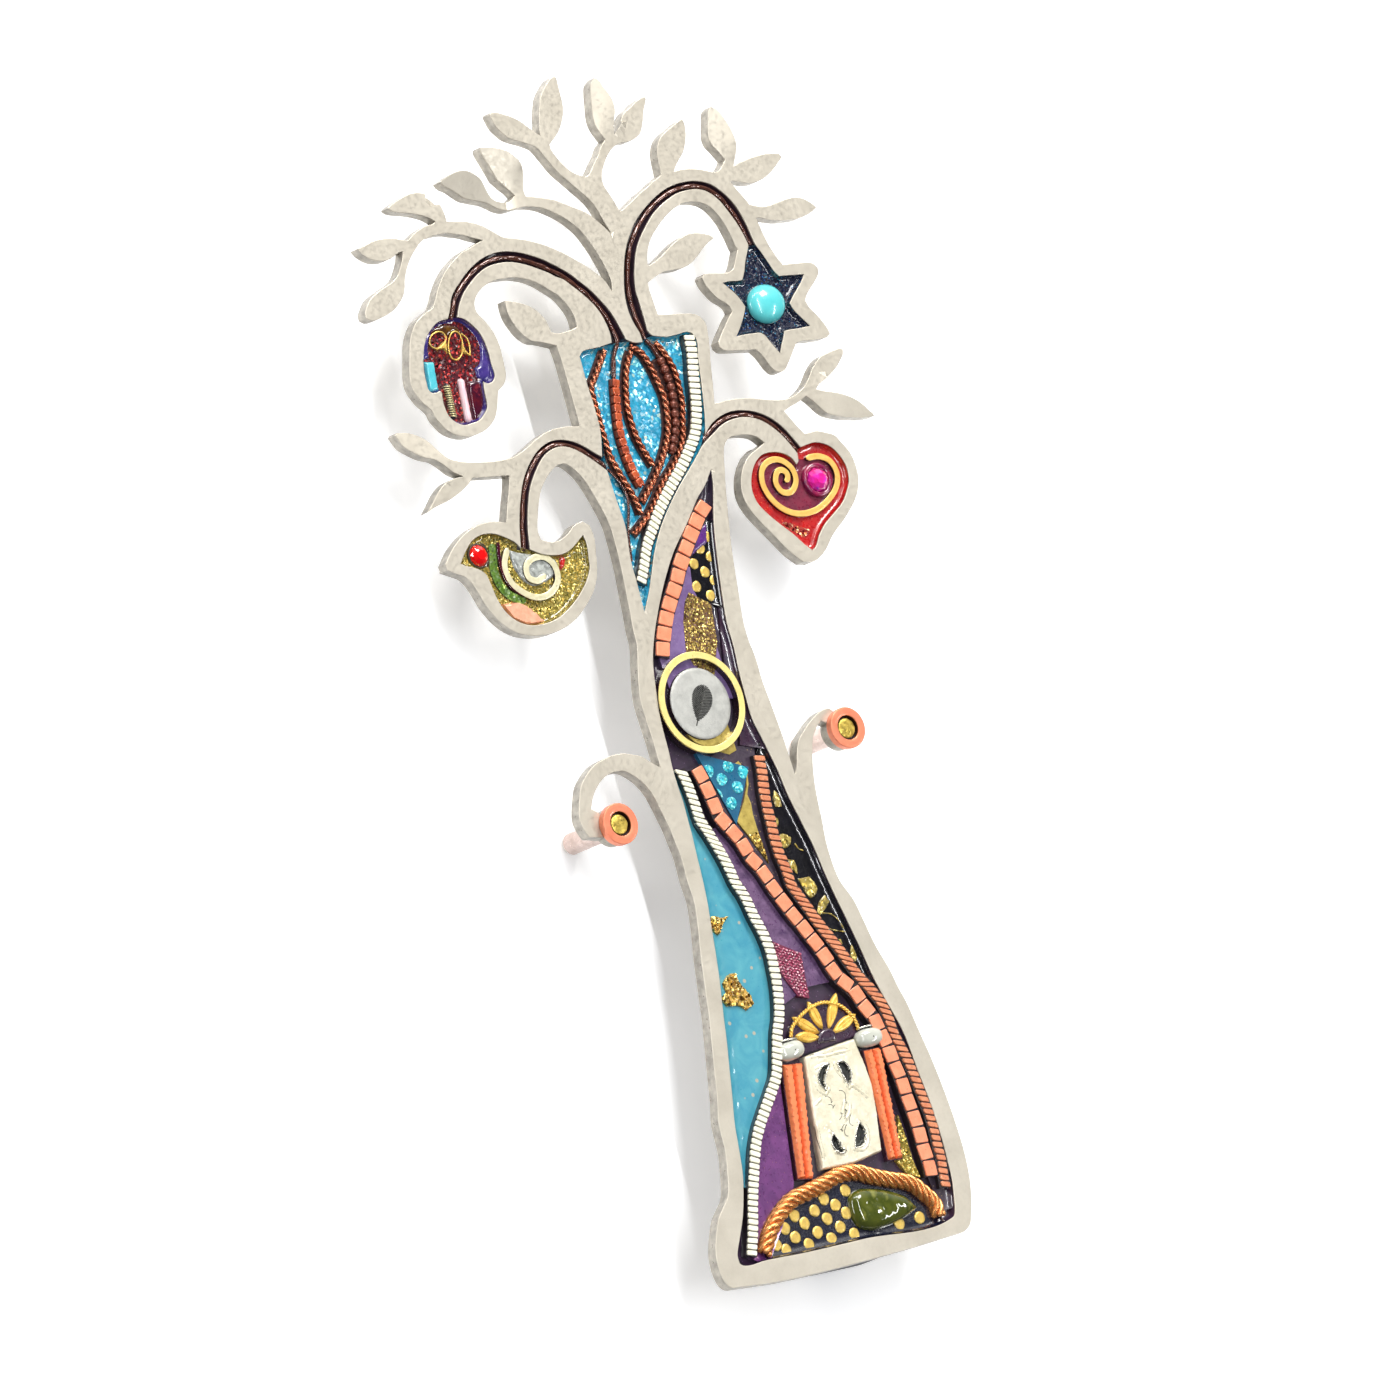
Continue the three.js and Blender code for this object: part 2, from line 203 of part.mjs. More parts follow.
const PATCHES = {
  green_stone: [[-1.38,-27.12],[-0.87,-28.74],[0.76,-29.44],[3.2,-29.4],[5.47,-28.91],[7.63,-28.17],[6.52,-26.7],
  [4.75,-25.73],[2.31,-24.99],[0.25,-24.77],[-1.07,-25.46]],
  plaque: [[-3.41,-21.46],[4.12,-21.32],[5.51,-13.72],[4.91,-9.2],[-1.77,-9.71]],
  column_left: [[-7,-22.12],[-5.35,-22.39],[-2.65,-10.41],[-5.02,-10.2]],
  column_right: [[5.72,-22.15],[6.75,-22.2],[7.86,-10.59],[6.33,-10.57]],
  pink_patch: [[-1.38,0.66],[0.03,-2.52],[0.99,-2.79],[1.44,1.73],[-1.25,3.25]],
  teal_patch: [[-1.65,18.16],[1.07,22.37],[-3.93,24.09]],
  hamsa_chip: [[-26.15,69.99],[-25.19,69.95],[-24.85,72.72],[-25.78,72.88]],
  hamsa_lotus: [[-23.99,73.38],[-21.87,73.03],[-20.42,73.59],[-19.48,74.69],[-20.97,75.61],[-23.13,75.85],[-24.51,74.71]],
  hamsa_coil: [[-24.44,66.65],[-23.77,66.77],[-23.63,69.8],[-24.22,69.9]],
  hamsa_pink_tube: [[-22.6,66.12],[-21.86,66.23],[-21.52,70.03],[-22.15,70.02]],
  bird_chip: [[-23.49,43.88],[-22.09,43.08],[-20.02,42.97],[-22.23,45.09],[-24.52,45.35]],
  rosette: [[-1.09,-7.55],[-0.59,-8.54],[2.24,-8.43],[5.3,-7.68],[5.9,-6.76],[5.62,-5.58],[4.68,-4.63],[3.19,-4.11],
  [1.69,-3.98],[0.03,-4.33],[-1.36,-5.12],[-2.38,-6.43]],
  charcoal: [[1.88,-2.02],[1.79,-3.31],[3.15,-3.42],[4.17,-3.7],[5.48,-4.36],[6.01,-4.85],[5.21,-3.92],[4.22,-2.74],
  [3.12,-1.09],[2.12,0.66]],
};
const CENTRES = {
  ring: [-2.499, 30.682],
  disc: [-2.336, 30.667],
  star_cabochon: [21.505, 72.438],
  bird_eye: [-25.978, 51.197],
  gem: [21.711, 52.292],
  eyelet_left: [-18.232, 19.385],
  eyelet_right: [15.473, 24.735],
  bead_left: [-3.297, -8.664],
  bead_right: [6.840, -8.894],
};
// ---- helpers
const wasm = await Module();
wasm.setup();

const tree = new THREE.Group();
tree.name = "tree_of_life_scroll_case";

function addPart(name, geometry, color, roughness, metalness) {
  const mesh = new THREE.Mesh(geometry, new THREE.MeshStandardMaterial({ color, roughness, metalness }));
  mesh.name = name;
  tree.add(mesh);
}

// A flat outline in X-Z, thickened from yBack towards the viewer to yFront.
function prism(points, yBack, yFront, holes = []) {
  const shape = new THREE.Shape(points.map(([x, z]) => new THREE.Vector2(x, z)));
  for (const hole of holes)
    shape.holes.push(new THREE.Path(hole.map(([x, z]) => new THREE.Vector2(x, z))));
  const g = new THREE.ExtrudeGeometry(shape, { depth: yBack - yFront, bevelEnabled: false });
  const p = g.getAttribute("position");
  for (let i = 0; i < p.count; i++) p.setXYZ(i, p.getX(i), p.getZ(i) > 1e-6 ? yFront : yBack, p.getY(i));
  return g;
}

const signedArea = (pts) =>
  pts.reduce((s, [x, z], i) => {
    const [u, w] = pts[(i + 1) % pts.length];
    return s + (x * w - u * z) / 2;
  }, 0);

// A closed outline moved outwards by d (inwards when d is negative), with limited corners.
function offset(points, d) {
  const pts = signedArea(points) < 0 ? [...points].reverse() : points;
  const n = pts.length;
  return pts.map(([x, z], i) => {
    const [ax, az] = pts[(i + n - 1) % n], [bx, bz] = pts[(i + 1) % n];
    const l1 = Math.hypot(x - ax, z - az), l2 = Math.hypot(bx - x, bz - z);
    const n1 = [(z - az) / l1, -(x - ax) / l1], n2 = [(bz - z) / l2, -(bx - x) / l2];
    const s = Math.max(0.45, 1 + n1[0] * n2[0] + n1[1] * n2[1]);
    return [x + (d * (n1[0] + n2[0])) / s, z + (d * (n1[1] + n2[1])) / s];
  });
}

// An open line moved to its left by d.
function beside(line, d) {
  return line.map(([x, z], i) => {
    const a = line[Math.max(0, i - 1)], b = line[Math.min(line.length - 1, i + 1)];
    const l = Math.hypot(b[0] - a[0], b[1] - a[1]);
    return [x - (d * (b[1] - a[1])) / l, z + (d * (b[0] - a[0])) / l];
  });
}

// An open line made longer by d at both ends.
function extended(line, d) {
  const grow = ([ax, az], [bx, bz]) => {
    const l = Math.hypot(ax - bx, az - bz);
    return [ax + (d * (ax - bx)) / l, az + (d * (az - bz)) / l];
  };
  const n = line.length;
  return [grow(line[0], line[1]), ...line.slice(1, -1), grow(line[n - 1], line[n - 2])];
}

const ribbon = (line, width) => [...beside(line, -width / 2), ...beside(line, width / 2).reverse()];

function circle([cx, cz], r, sides = 24) {
  return Array.from({ length: sides }, (_, i) => {
    const a = (2 * Math.PI * i) / sides;
    return [cx + r * Math.cos(a), cz + r * Math.sin(a)];
  });
}

// The part of a line whose points lie between two heights.
const between = (line, zLow, zHigh) => line.filter(([, z]) => z >= zLow && z <= zHigh);

function solid(geometry) {
  const g = geometry.clone();
  g.deleteAttribute("normal");
  g.deleteAttribute("uv");
  const m = mergeVertices(g, 1e-4);
  return new wasm.Manifold(
    new wasm.Mesh({ numProp: 3, vertProperties: m.attributes.position.array, triVerts: new Uint32Array(m.index.array) }),
  );
}

function geometryOf(manifold) {
  const mesh = manifold.getMesh(), n = mesh.numProp, v = new Float32Array(mesh.numVert * 3);
  for (let i = 0; i < mesh.numVert; i++) v.set(mesh.vertProperties.subarray(i * n, i * n + 3), i * 3);
  const g = new THREE.BufferGeometry()
    .setAttribute("position", new THREE.BufferAttribute(v, 3))
    .setIndex(new THREE.BufferAttribute(new Uint32Array(mesh.triVerts), 1));
  const flat = g.toNonIndexed();
  flat.computeVertexNormals();
  return flat;
}

const joined = (...gs) => geometryOf(gs.map(solid).reduce((a, b) => a.add(b)));
const common = (a, b) => geometryOf(solid(a).intersect(solid(b)));
const minus = (a, ...bs) => geometryOf(bs.map(solid).reduce((m, b) => m.subtract(b), solid(a)));

// A turned piece whose axis points at the viewer: profile [[radius, height], ...] from its back.
function turned(profile, [cx, cz], yBack, sides = 24) {
  const g = new THREE.LatheGeometry(profile.map(([r, h]) => new THREE.Vector2(r, h)), sides);
  const p = g.getAttribute("position");
  for (let i = 0; i < p.count; i++) p.setXYZ(i, p.getX(i) + cx, yBack - p.getY(i), -p.getZ(i) + cz);
  return g;
}

// A round bar along a line, at height y.
function bar(line, y, r, sides = 6, steps = 40) {
  const path = new THREE.CatmullRomCurve3(line.map(([x, z]) => new THREE.Vector3(x, y, z)));
  const section = new THREE.Shape(circle([0, 0], r, sides).map(([a, b]) => new THREE.Vector2(a, b)));
  return new THREE.ExtrudeGeometry(section, { steps, bevelEnabled: false, extrudePath: path });
}

// ---- steelwork
const eyes = [CENTRES.eyelet_left, CENTRES.eyelet_right];
addPart("front_plate",
  prism(OUTLINE, PLATE_BACK_Y, PLATE_FRONT_Y, [UPPER_WINDOW, LOWER_WINDOW, ...eyes.map((c) => circle(c, EYE_HOLE_R))]),
  0xc8c1b2, 0.38, 0.9);

const stemLines = Object.values(STEMS);
const pockets = [UPPER_POCKET, HAMSA_POCKET, STAR_POCKET, HEART_POCKET, BIRD_POCKET];
addPart("backing_sheet",
  joined(
    prism(TRUNK_LINK, SHEET_BACK_Y, PLATE_BACK_Y),
    prism(circle(HEART_CLEFT, 1.2, 8), SHEET_BACK_Y, PLATE_BACK_Y),
    ...[...pockets, LOWER_WINDOW].map((p) => prism(offset(p, RIM_OVERLAP), SHEET_BACK_Y, PLATE_BACK_Y)),
    ...stemLines.map((l) => prism(ribbon(extended(l, STEM_REACH), STEM_SHEET_W), SHEET_BACK_Y, PLATE_BACK_Y)),
  ), 0x9a948a, 0.5, 0.85);

// Scroll tray: back, two sides and a closed top; the backing sheet is its front, the bottom is open.
const tw = TRAY_W / 2, ti = tw - TRAY_WALL;
const traySection = new THREE.Shape([
  [-tw, WALL_Y], [tw, WALL_Y], [tw, SHEET_BACK_Y], [ti, SHEET_BACK_Y], [ti, WALL_Y - TRAY_WALL],
  [-ti, WALL_Y - TRAY_WALL], [-ti, SHEET_BACK_Y], [-tw, SHEET_BACK_Y],
].map(([x, y]) => new THREE.Vector2(x, y)));
const trayTube = new THREE.ExtrudeGeometry(traySection, { depth: TRAY_TOP_Z - TRAY_WALL - TRAY_BOTTOM_Z, bevelEnabled: false });
trayTube.translate(0, 0, TRAY_BOTTOM_Z);
const block = (x0, x1, y0, y1, z0, z1) => {
  const g = new THREE.BoxGeometry(x1 - x0, y1 - y0, z1 - z0);
  g.translate((x0 + x1) / 2, (y0 + y1) / 2, (z0 + z1) / 2);
  return g;
};
addPart("scroll_tray",
  joined(trayTube, block(-tw, tw, SHEET_BACK_Y, WALL_Y, TRAY_TOP_Z - TRAY_WALL, TRAY_TOP_Z)), 0xb4aea2, 0.45, 0.9);

// Stopper: a plug inside the tray's mouth and a finger lip below it.
const si = ti - STOPPER_GAP;
addPart("tray_stopper",
  joined(
    block(-si, si, SHEET_BACK_Y + STOPPER_GAP, WALL_Y - TRAY_WALL - STOPPER_GAP, TRAY_BOTTOM_Z - STOPPER_LIP, TRAY_BOTTOM_Z + STOPPER_IN),
    block(-tw, tw, SHEET_BACK_Y + STOPPER_GAP, WALL_Y - STOPPER_GAP, TRAY_BOTTOM_Z - STOPPER_LIP, TRAY_BOTTOM_Z - 0.25),
  ), 0x2b2b2e, 0.6, 0.0);

// Standoff eyelets: a flange on the plate's front, a tube to the wall, a seat and bore for the nail.
const flangeH = WALL_Y - PLATE_FRONT_Y + FLANGE_T;
for (const [side, c] of [["left", eyes[0]], ["right", eyes[1]]]) {
  addPart("eyelet_" + side, turned([
    [BORE_R, 0], [TUBE_R, 0], [TUBE_R, -PLATE_FRONT_Y], [FLANGE_R, -PLATE_FRONT_Y], [FLANGE_R, flangeH - 0.25],
    [FLANGE_R - 0.25, flangeH], [SEAT_R, flangeH], [SEAT_R, flangeH - SEAT_DEPTH], [BORE_R, flangeH - SEAT_DEPTH], [BORE_R, 0],
  ], c, WALL_Y, 24), 0xe8875f, 0.3, 1.0);
  const seat = flangeH - SEAT_DEPTH;
  addPart("nail_" + side, turned([
    [0, -NAIL_TIP_Y], [NAIL_R, -NAIL_TIP_Y + 2], [NAIL_R, seat], [NAIL_HEAD_R, seat],
    [NAIL_HEAD_R, seat + NAIL_HEAD_T - 0.15], [NAIL_HEAD_R * 0.7, seat + NAIL_HEAD_T], [0, seat + NAIL_HEAD_T],
  ], c, WALL_Y, 16), 0xc9a640, 0.35, 1.0);
}

// ---- clay beds, one behind each window
addPart("upper_clay_bed",
  joined(
    ...pockets.map((p) => prism(offset(p, -WINDOW_GAP), PLATE_BACK_Y, BED_Y)),
    ...stemLines.map((l) => prism(ribbon(extended(l, STEM_REACH), STEM_BED_W), PLATE_BACK_Y, BED_Y)),
  ), 0x2a1c2c, 0.6, 0.0);
const lowerBed = offset(LOWER_WINDOW, -WINDOW_GAP);
addPart("lower_clay_bed", prism(lowerBed, PLATE_BACK_Y, BED_Y), 0x35203a, 0.6, 0.0);

// ---- upper window: branch pocket, four stems and four charms
const onBed = (pts, yFront) => prism(pts, BED_Y, yFront);
addPart("branch_turquoise_inlay", onBed(offset(UPPER_POCKET, -0.35), INLAY_Y), 0x4fb4cd, 0.35, 0.1);
addPart("hand_inlay", onBed(offset(HAMSA_POCKET, -0.35), INLAY_Y), 0x5d1f2c, 0.4, 0.2);
addPart("star_inlay", onBed(offset(STAR_POCKET, -0.35), INLAY_Y), 0x13233c, 0.35, 0.2);
addPart("heart_inlay", onBed(offset(HEART_POCKET, -0.35), INLAY_Y), 0xb5231f, 0.3, 0.0);
addPart("bird_inlay", onBed(offset(BIRD_POCKET, -0.35), INLAY_Y), 0x6f6a1e, 0.4, 0.3);

const wire = (line, w = 0.42) => prism(ribbon(line, w), INLAY_Y, WIRE_Y);
const inStem = (l) => ribbon(l.slice(1, -1), STEM_WIRE_W);
addPart("hand_stem_wire", onBed(inStem(STEMS.hamsa), WIRE_Y), 0x5a3423, 0.4, 0.8);
addPart("star_stem_wire", onBed(inStem(STEMS.star), WIRE_Y), 0x5a3423, 0.4, 0.8);
addPart("heart_stem_wire", onBed(inStem(STEMS.heart), WIRE_Y), 0x5a3423, 0.4, 0.8);
addPart("bird_stem_wire",
  joined(onBed(inStem(STEMS.bird), WIRE_Y), wire(beside([...STEMS.bird.slice(-2), ...LINES.bird_wire.slice(1, -1)], 0.1), 0.28)),
  0x5a3423, 0.4, 0.8);
addPart("twisted_wire_a", wire(LINES.tw1.slice(0, -2)), 0xb06a4a, 0.35, 0.9);
addPart("twisted_wire_b", wire(beside(LINES.tw2, 0.25).slice(1, -1)), 0xb06a4a, 0.35, 0.9);
addPart("twisted_wire_c", wire(LINES.tw3.slice(1, -1)), 0xb06a4a, 0.35, 0.9);
addPart("twisted_wire_d", wire(beside(LINES.tw4, -0.14).slice(0, -2)), 0xb06a4a, 0.35, 0.9);
addPart("bead_chain_left", bar(LINES.beads_left, INLAY_Y - 0.4, 0.36, 6, 12), 0xc9764f, 0.3, 1.0);
addPart("bead_chain_right", bar(LINES.beads_right, INLAY_Y - 0.36, 0.32, 6, 12), 0xc9764f, 0.3, 1.0);
addPart("silver_strip_upper", prism(ribbon(LINES.upper_silver, 0.95), INLAY_Y, STRIP_Y), 0xf2f0dc, 0.4, 0.4);

const onInlay = (pts, yFront) => prism(pts, INLAY_Y, yFront);
addPart("hand_lotus", onInlay(PATCHES.hamsa_lotus, -8.125), 0xd9b55c, 0.3, 1.0);
addPart("hand_turquoise_chip", onInlay(PATCHES.hamsa_chip, -8.25), 0x58bfd0, 0.3, 0.0);
addPart("hand_spring_coil", onInlay(PATCHES.hamsa_coil, -8.25), 0xc9c3b4, 0.3, 0.9);
addPart("hand_pink_bead", onInlay(PATCHES.hamsa_pink_tube, -8.375), 0xe8b7bd, 0.2, 0.0);
const dome = (r, h, c, sides = 20, yBack = INLAY_Y) =>
  turned([[0, 0], [r, 0], [r, h * 0.25], [r * 0.85, h * 0.62], [r * 0.5, h * 0.92], [0, h]], c, yBack, sides);
addPart("star_cabochon", dome(2.12, 1.5, CENTRES.star_cabochon), 0x5fc3cc, 0.2, 0.0);
addPart("heart_spiral", prism(ribbon(LINES.heart_spiral, 0.5), INLAY_Y, -8.375), 0xe2c766, 0.3, 1.0);
addPart("heart_gem_setting",
  minus(turned([[0, 0], [1.62, 0], [1.62, 0.5], [0, 0.5]], CENTRES.gem, INLAY_Y, 20),
    turned([[0, 0.25], [1.35, 0.25], [1.35, 1], [0, 1]], CENTRES.gem, INLAY_Y, 20)), 0x6b1024, 0.4, 0.6);
addPart("heart_gem", dome(1.1, 1.1, CENTRES.gem, 16, INLAY_Y - 0.25), 0xd2237f, 0.08, 0.0);
addPart("bird_eye", dome(1, 0.9, CENTRES.bird_eye, 16), 0xe01818, 0.08, 0.0);
addPart("bird_spiral", prism(ribbon(LINES.bird_spiral.slice(1).map(([x, z]) => [x, z - BIRD_SPIRAL_DROP]), 0.42), INLAY_Y, -8.375), 0xe6e2c6, 0.35, 0.5);
addPart("bird_copper_chip", onInlay(PATCHES.bird_chip, -8.125), 0xeda58c, 0.35, 0.7);

// ---- lower window: colour fields between the strips
const L = LINES;
const inWindow = (region, yFront) => common(onBed(offset(LOWER_WINDOW, -0.35), yFront), prism(region, PLATE_BACK_Y + 1, -12));
const silverW = 0.9, tileW = 0.95, ribW = 0.85, gap = 0.3;
const silver = L.lower_silver, tiles = L.lower_tiles, ribbed = L.copper_ribbed, topTiles = L.upper_tiles, rope = L.rope;
const leftOf = (line, w) => beside(line, -(w / 2 + gap));   // lines run downwards: their right-hand side is -X
const rightOf = (line, w) => beside(line, w / 2 + gap);

addPart("silver_strip_lower", onBed(ribbon(silver.slice(1), silverW), STRIP_Y), 0xf2f0dc, 0.4, 0.4);
addPart("copper_tile_strip_lower", onBed(ribbon(tiles, tileW), STRIP_Y), 0xe0825c, 0.3, 1.0);
addPart("copper_tile_strip_upper", onBed(ribbon(topTiles, 1.25), STRIP_Y), 0xe0825c, 0.3, 1.0);
addPart("copper_ribbed_strip", onBed(ribbon(ribbed, ribW), STRIP_Y), 0xc97048, 0.3, 1.0);

addPart("turquoise_field",
  inWindow([...between(leftOf(silver, silverW), -25, 23), [-25, -24], [-25, 23]], FIELD_Y), 0x46b0cc, 0.35, 0.1);
addPart("purple_field",
  inWindow([...between(rightOf(silver, silverW), 6, 17), ...between(leftOf(tiles, tileW), 4, 18).reverse()], FIELD_Y), 0x5d4470, 0.45, 0.1);
addPart("charcoal_field", inWindow(PATCHES.charcoal, FIELD_Y), 0x2e2330, 0.5, 0.1);
addPart("gold_foil_field",
  inWindow([...between(rightOf(tiles, tileW), 12, 22.5), ...between(leftOf(ribbed, ribW), 11, 22.5).reverse()], FIELD_Y), 0xb89a4c, 0.35, 0.9);
addPart("gold_blob_field",
  inWindow([...between(rightOf(ribbed, ribW), -2, 21), [16, -2], [16, 21]], FIELD_Y), 0x15161c, 0.4, 0.2);
addPart("pink_woven_patch", onBed(PATCHES.pink_patch, -8.125), 0xc2848f, 0.5, 0.2);
addPart("dotted_trunk_field",
  inWindow([...between(rightOf(topTiles, 1.25), 40.5, 51), [12, 40.5], [12, 51]], FIELD_Y), 0x1a1512, 0.4, 0.2);
addPart("base_dotted_field", inWindow([...beside(rope, -0.95).slice(1, -1), [9, -34], [-14, -34]], FIELD_Y), 0x141a26, 0.4, 0.2);

addPart("gold_ring",
  minus(turned([[0, 0], [RING_R, 0], [RING_R, 1.5], [0, 1.5]], CENTRES.ring, BED_Y, 40),
    turned([[0, -1], [RING_IN_R, -1], [RING_IN_R, 3], [0, 3]], CENTRES.ring, BED_Y, 40)), 0xe9cf7c, 0.25, 1.0);
addPart("silver_disc", turned([[0, 0], [DISC_R, 0], [DISC_R, 1.1], [DISC_R - 0.5, 1.4], [0, 1.4]], CENTRES.disc, BED_Y, 32), 0xc9c8c4, 0.35, 1.0);
addPart("half_rosette", onBed(PATCHES.rosette, -8.375), 0xe0bd62, 0.3, 1.0);
addPart("column_left", onBed(PATCHES.column_left, STRIP_Y), 0xea7c4c, 0.3, 1.0);
addPart("column_right", onBed(PATCHES.column_right, STRIP_Y), 0xea7c4c, 0.3, 1.0);
const bead = (c) => turned([[0, 0], [0.6, 0], [0.9, 0.5], [0.98, 0.9], [0.85, 1.35], [0.5, 1.65], [0, 1.75]], c, BED_Y, 12);
addPart("capital_bead_left", bead(CENTRES.bead_left), 0xe6e2da, 0.25, 0.3);
addPart("capital_bead_right", bead(CENTRES.bead_right), 0xe6e2da, 0.25, 0.3);
addPart("cast_plaque", onBed(PATCHES.plaque, -8.5), 0xe8e2d2, 0.4, 0.7);
addPart("rope_chain", bar(rope, BED_Y - 0.65, 0.55, 8, 26), 0xd08a52, 0.3, 1.0);
addPart("green_stone",
  joined(prism(PATCHES.green_stone, FIELD_Y, -8.5), prism(offset(PATCHES.green_stone, -0.6), -8.4, -9)), 0x5c6420, 0.15, 0.0);

export default tree;
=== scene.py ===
# Looks for the tree-shaped scroll case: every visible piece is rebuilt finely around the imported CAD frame.
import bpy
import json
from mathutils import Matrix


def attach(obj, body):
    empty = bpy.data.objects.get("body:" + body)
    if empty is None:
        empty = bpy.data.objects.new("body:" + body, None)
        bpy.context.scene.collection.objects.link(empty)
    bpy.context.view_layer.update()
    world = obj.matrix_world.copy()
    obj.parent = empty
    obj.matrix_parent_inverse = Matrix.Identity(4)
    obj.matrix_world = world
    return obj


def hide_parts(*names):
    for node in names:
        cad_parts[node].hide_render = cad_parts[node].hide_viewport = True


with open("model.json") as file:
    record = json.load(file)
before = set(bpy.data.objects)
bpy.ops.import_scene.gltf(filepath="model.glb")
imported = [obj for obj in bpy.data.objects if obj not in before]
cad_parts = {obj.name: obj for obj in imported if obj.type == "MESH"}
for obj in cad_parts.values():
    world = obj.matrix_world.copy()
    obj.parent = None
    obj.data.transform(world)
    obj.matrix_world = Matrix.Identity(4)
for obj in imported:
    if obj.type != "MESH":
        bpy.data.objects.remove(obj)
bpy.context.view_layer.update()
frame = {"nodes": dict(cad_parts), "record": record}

import bpy, json, math
import numpy as np
from mathutils import Vector, Matrix, noise
from mathutils.geometry import delaunay_2d_cdt

MM = 0.001
RNG = np.random.RandomState(7)

# ------------------------------------------------------------------ camera, lights, wall
THETA = math.acos(0.785)
MX, MZ = math.cos(math.radians(23)), math.sin(math.radians(23))
ROLL = math.radians(-13.8)
axis = Vector((0, 0, 1)).cross(Vector((-math.sin(THETA) * MX, -math.sin(THETA) * MZ, math.cos(THETA))))
Q = Matrix.Rotation(THETA, 3, axis.normalized())

def to_obj(v):
    c, s = math.cos(ROLL), math.sin(ROLL)
    return Vector((c * v[0] - s * v[1], -v[2], s * v[0] + c * v[1]))

right, up, back = (to_obj(Q @ Vector(a)).normalized() for a in ((1, 0, 0), (0, 1, 0), (0, 0, 1)))
TARGET = Vector((-2.5, -8.5, 31.0)) * MM
DIST = 2.5
cam_data = bpy.data.cameras.new("camera")
cam_data.sensor_width = 36
cam_data.lens = 36 * DIST / 0.15201
cam_data.clip_start, cam_data.clip_end = 0.05, 50
cam = bpy.data.objects.new("camera", cam_data)
bpy.context.scene.collection.objects.link(cam)
cam.matrix_world = Matrix.Translation(TARGET + back * DIST) @ Matrix((right, up, back)).transposed().to_4x4()
bpy.context.scene.camera = cam
bpy.context.scene.view_settings.view_transform = "Standard"

world = bpy.data.worlds.new("studio")
bpy.context.scene.world = world
world.use_nodes = True
wn = world.node_tree
bg = wn.nodes["Background"]
tc = wn.nodes.new("ShaderNodeTexCoord")
sep = wn.nodes.new("ShaderNodeSeparateXYZ")
wn.links.new(tc.outputs["Generated"], sep.inputs[0])
def wmath(op, a, b):
    n = wn.nodes.new("ShaderNodeMath"); n.operation = op
    for i, v in enumerate((a, b)):
        if isinstance(v, (int, float)): n.inputs[i].default_value = v
        else: wn.links.new(v, n.inputs[i])
    return n.outputs[0]
g = wmath("ADD", wmath("MULTIPLY", sep.outputs[0], 0.14), wmath("MULTIPLY", sep.outputs[2], 0.42))
g = wmath("ADD", g, 0.48)
ramp = wn.nodes.new("ShaderNodeValToRGB")
ramp.color_ramp.elements[0].position = 0.63; ramp.color_ramp.elements[0].color = (0.08, 0.08, 0.09, 1)
ramp.color_ramp.elements[1].position = 0.86; ramp.color_ramp.elements[1].color = (1.0, 0.99, 0.97, 1)
wn.links.new(g, ramp.inputs[0])
wn.links.new(ramp.outputs[0], bg.inputs[0])
bg.inputs[1].default_value = 0.72

def area(name, loc, size, power, color=(1, 1, 1)):
    l = bpy.data.lights.new(name, "AREA")
    l.shape, l.size, l.size_y, l.energy, l.color = "RECTANGLE", size[0], size[1], power, color
    o = bpy.data.objects.new(name, l)
    bpy.context.scene.collection.objects.link(o)
    o.location = Vector(loc) + TARGET
    o.rotation_euler = (-(Vector(loc))).to_track_quat("-Z", "Y").to_euler()
    return o

area("key_softbox", (0.36, -0.66, 0.62), (0.34, 0.34), 7.4, (1, 0.985, 0.96))
area("front_strip", (-0.06, -0.8, 0.04), (0.02, 0.9), 4.0, (0.97, 0.98, 1))
area("left_strip", (-0.85, -0.35, 0.2), (0.05, 0.7), 2.4, (0.97, 0.98, 1))
area("right_strip", (0.62, -0.62, -0.25), (0.04, 0.5), 1.8)
area("top_strip", (-0.1, -0.5, 0.8), (0.6, 0.06), 2.6)
area("back_left", (-0.6, 0.7, 0.35), (0.5, 0.5), 5.0)
area("back_right", (0.7, 0.6, -0.1), (0.4, 0.5), 3.0)

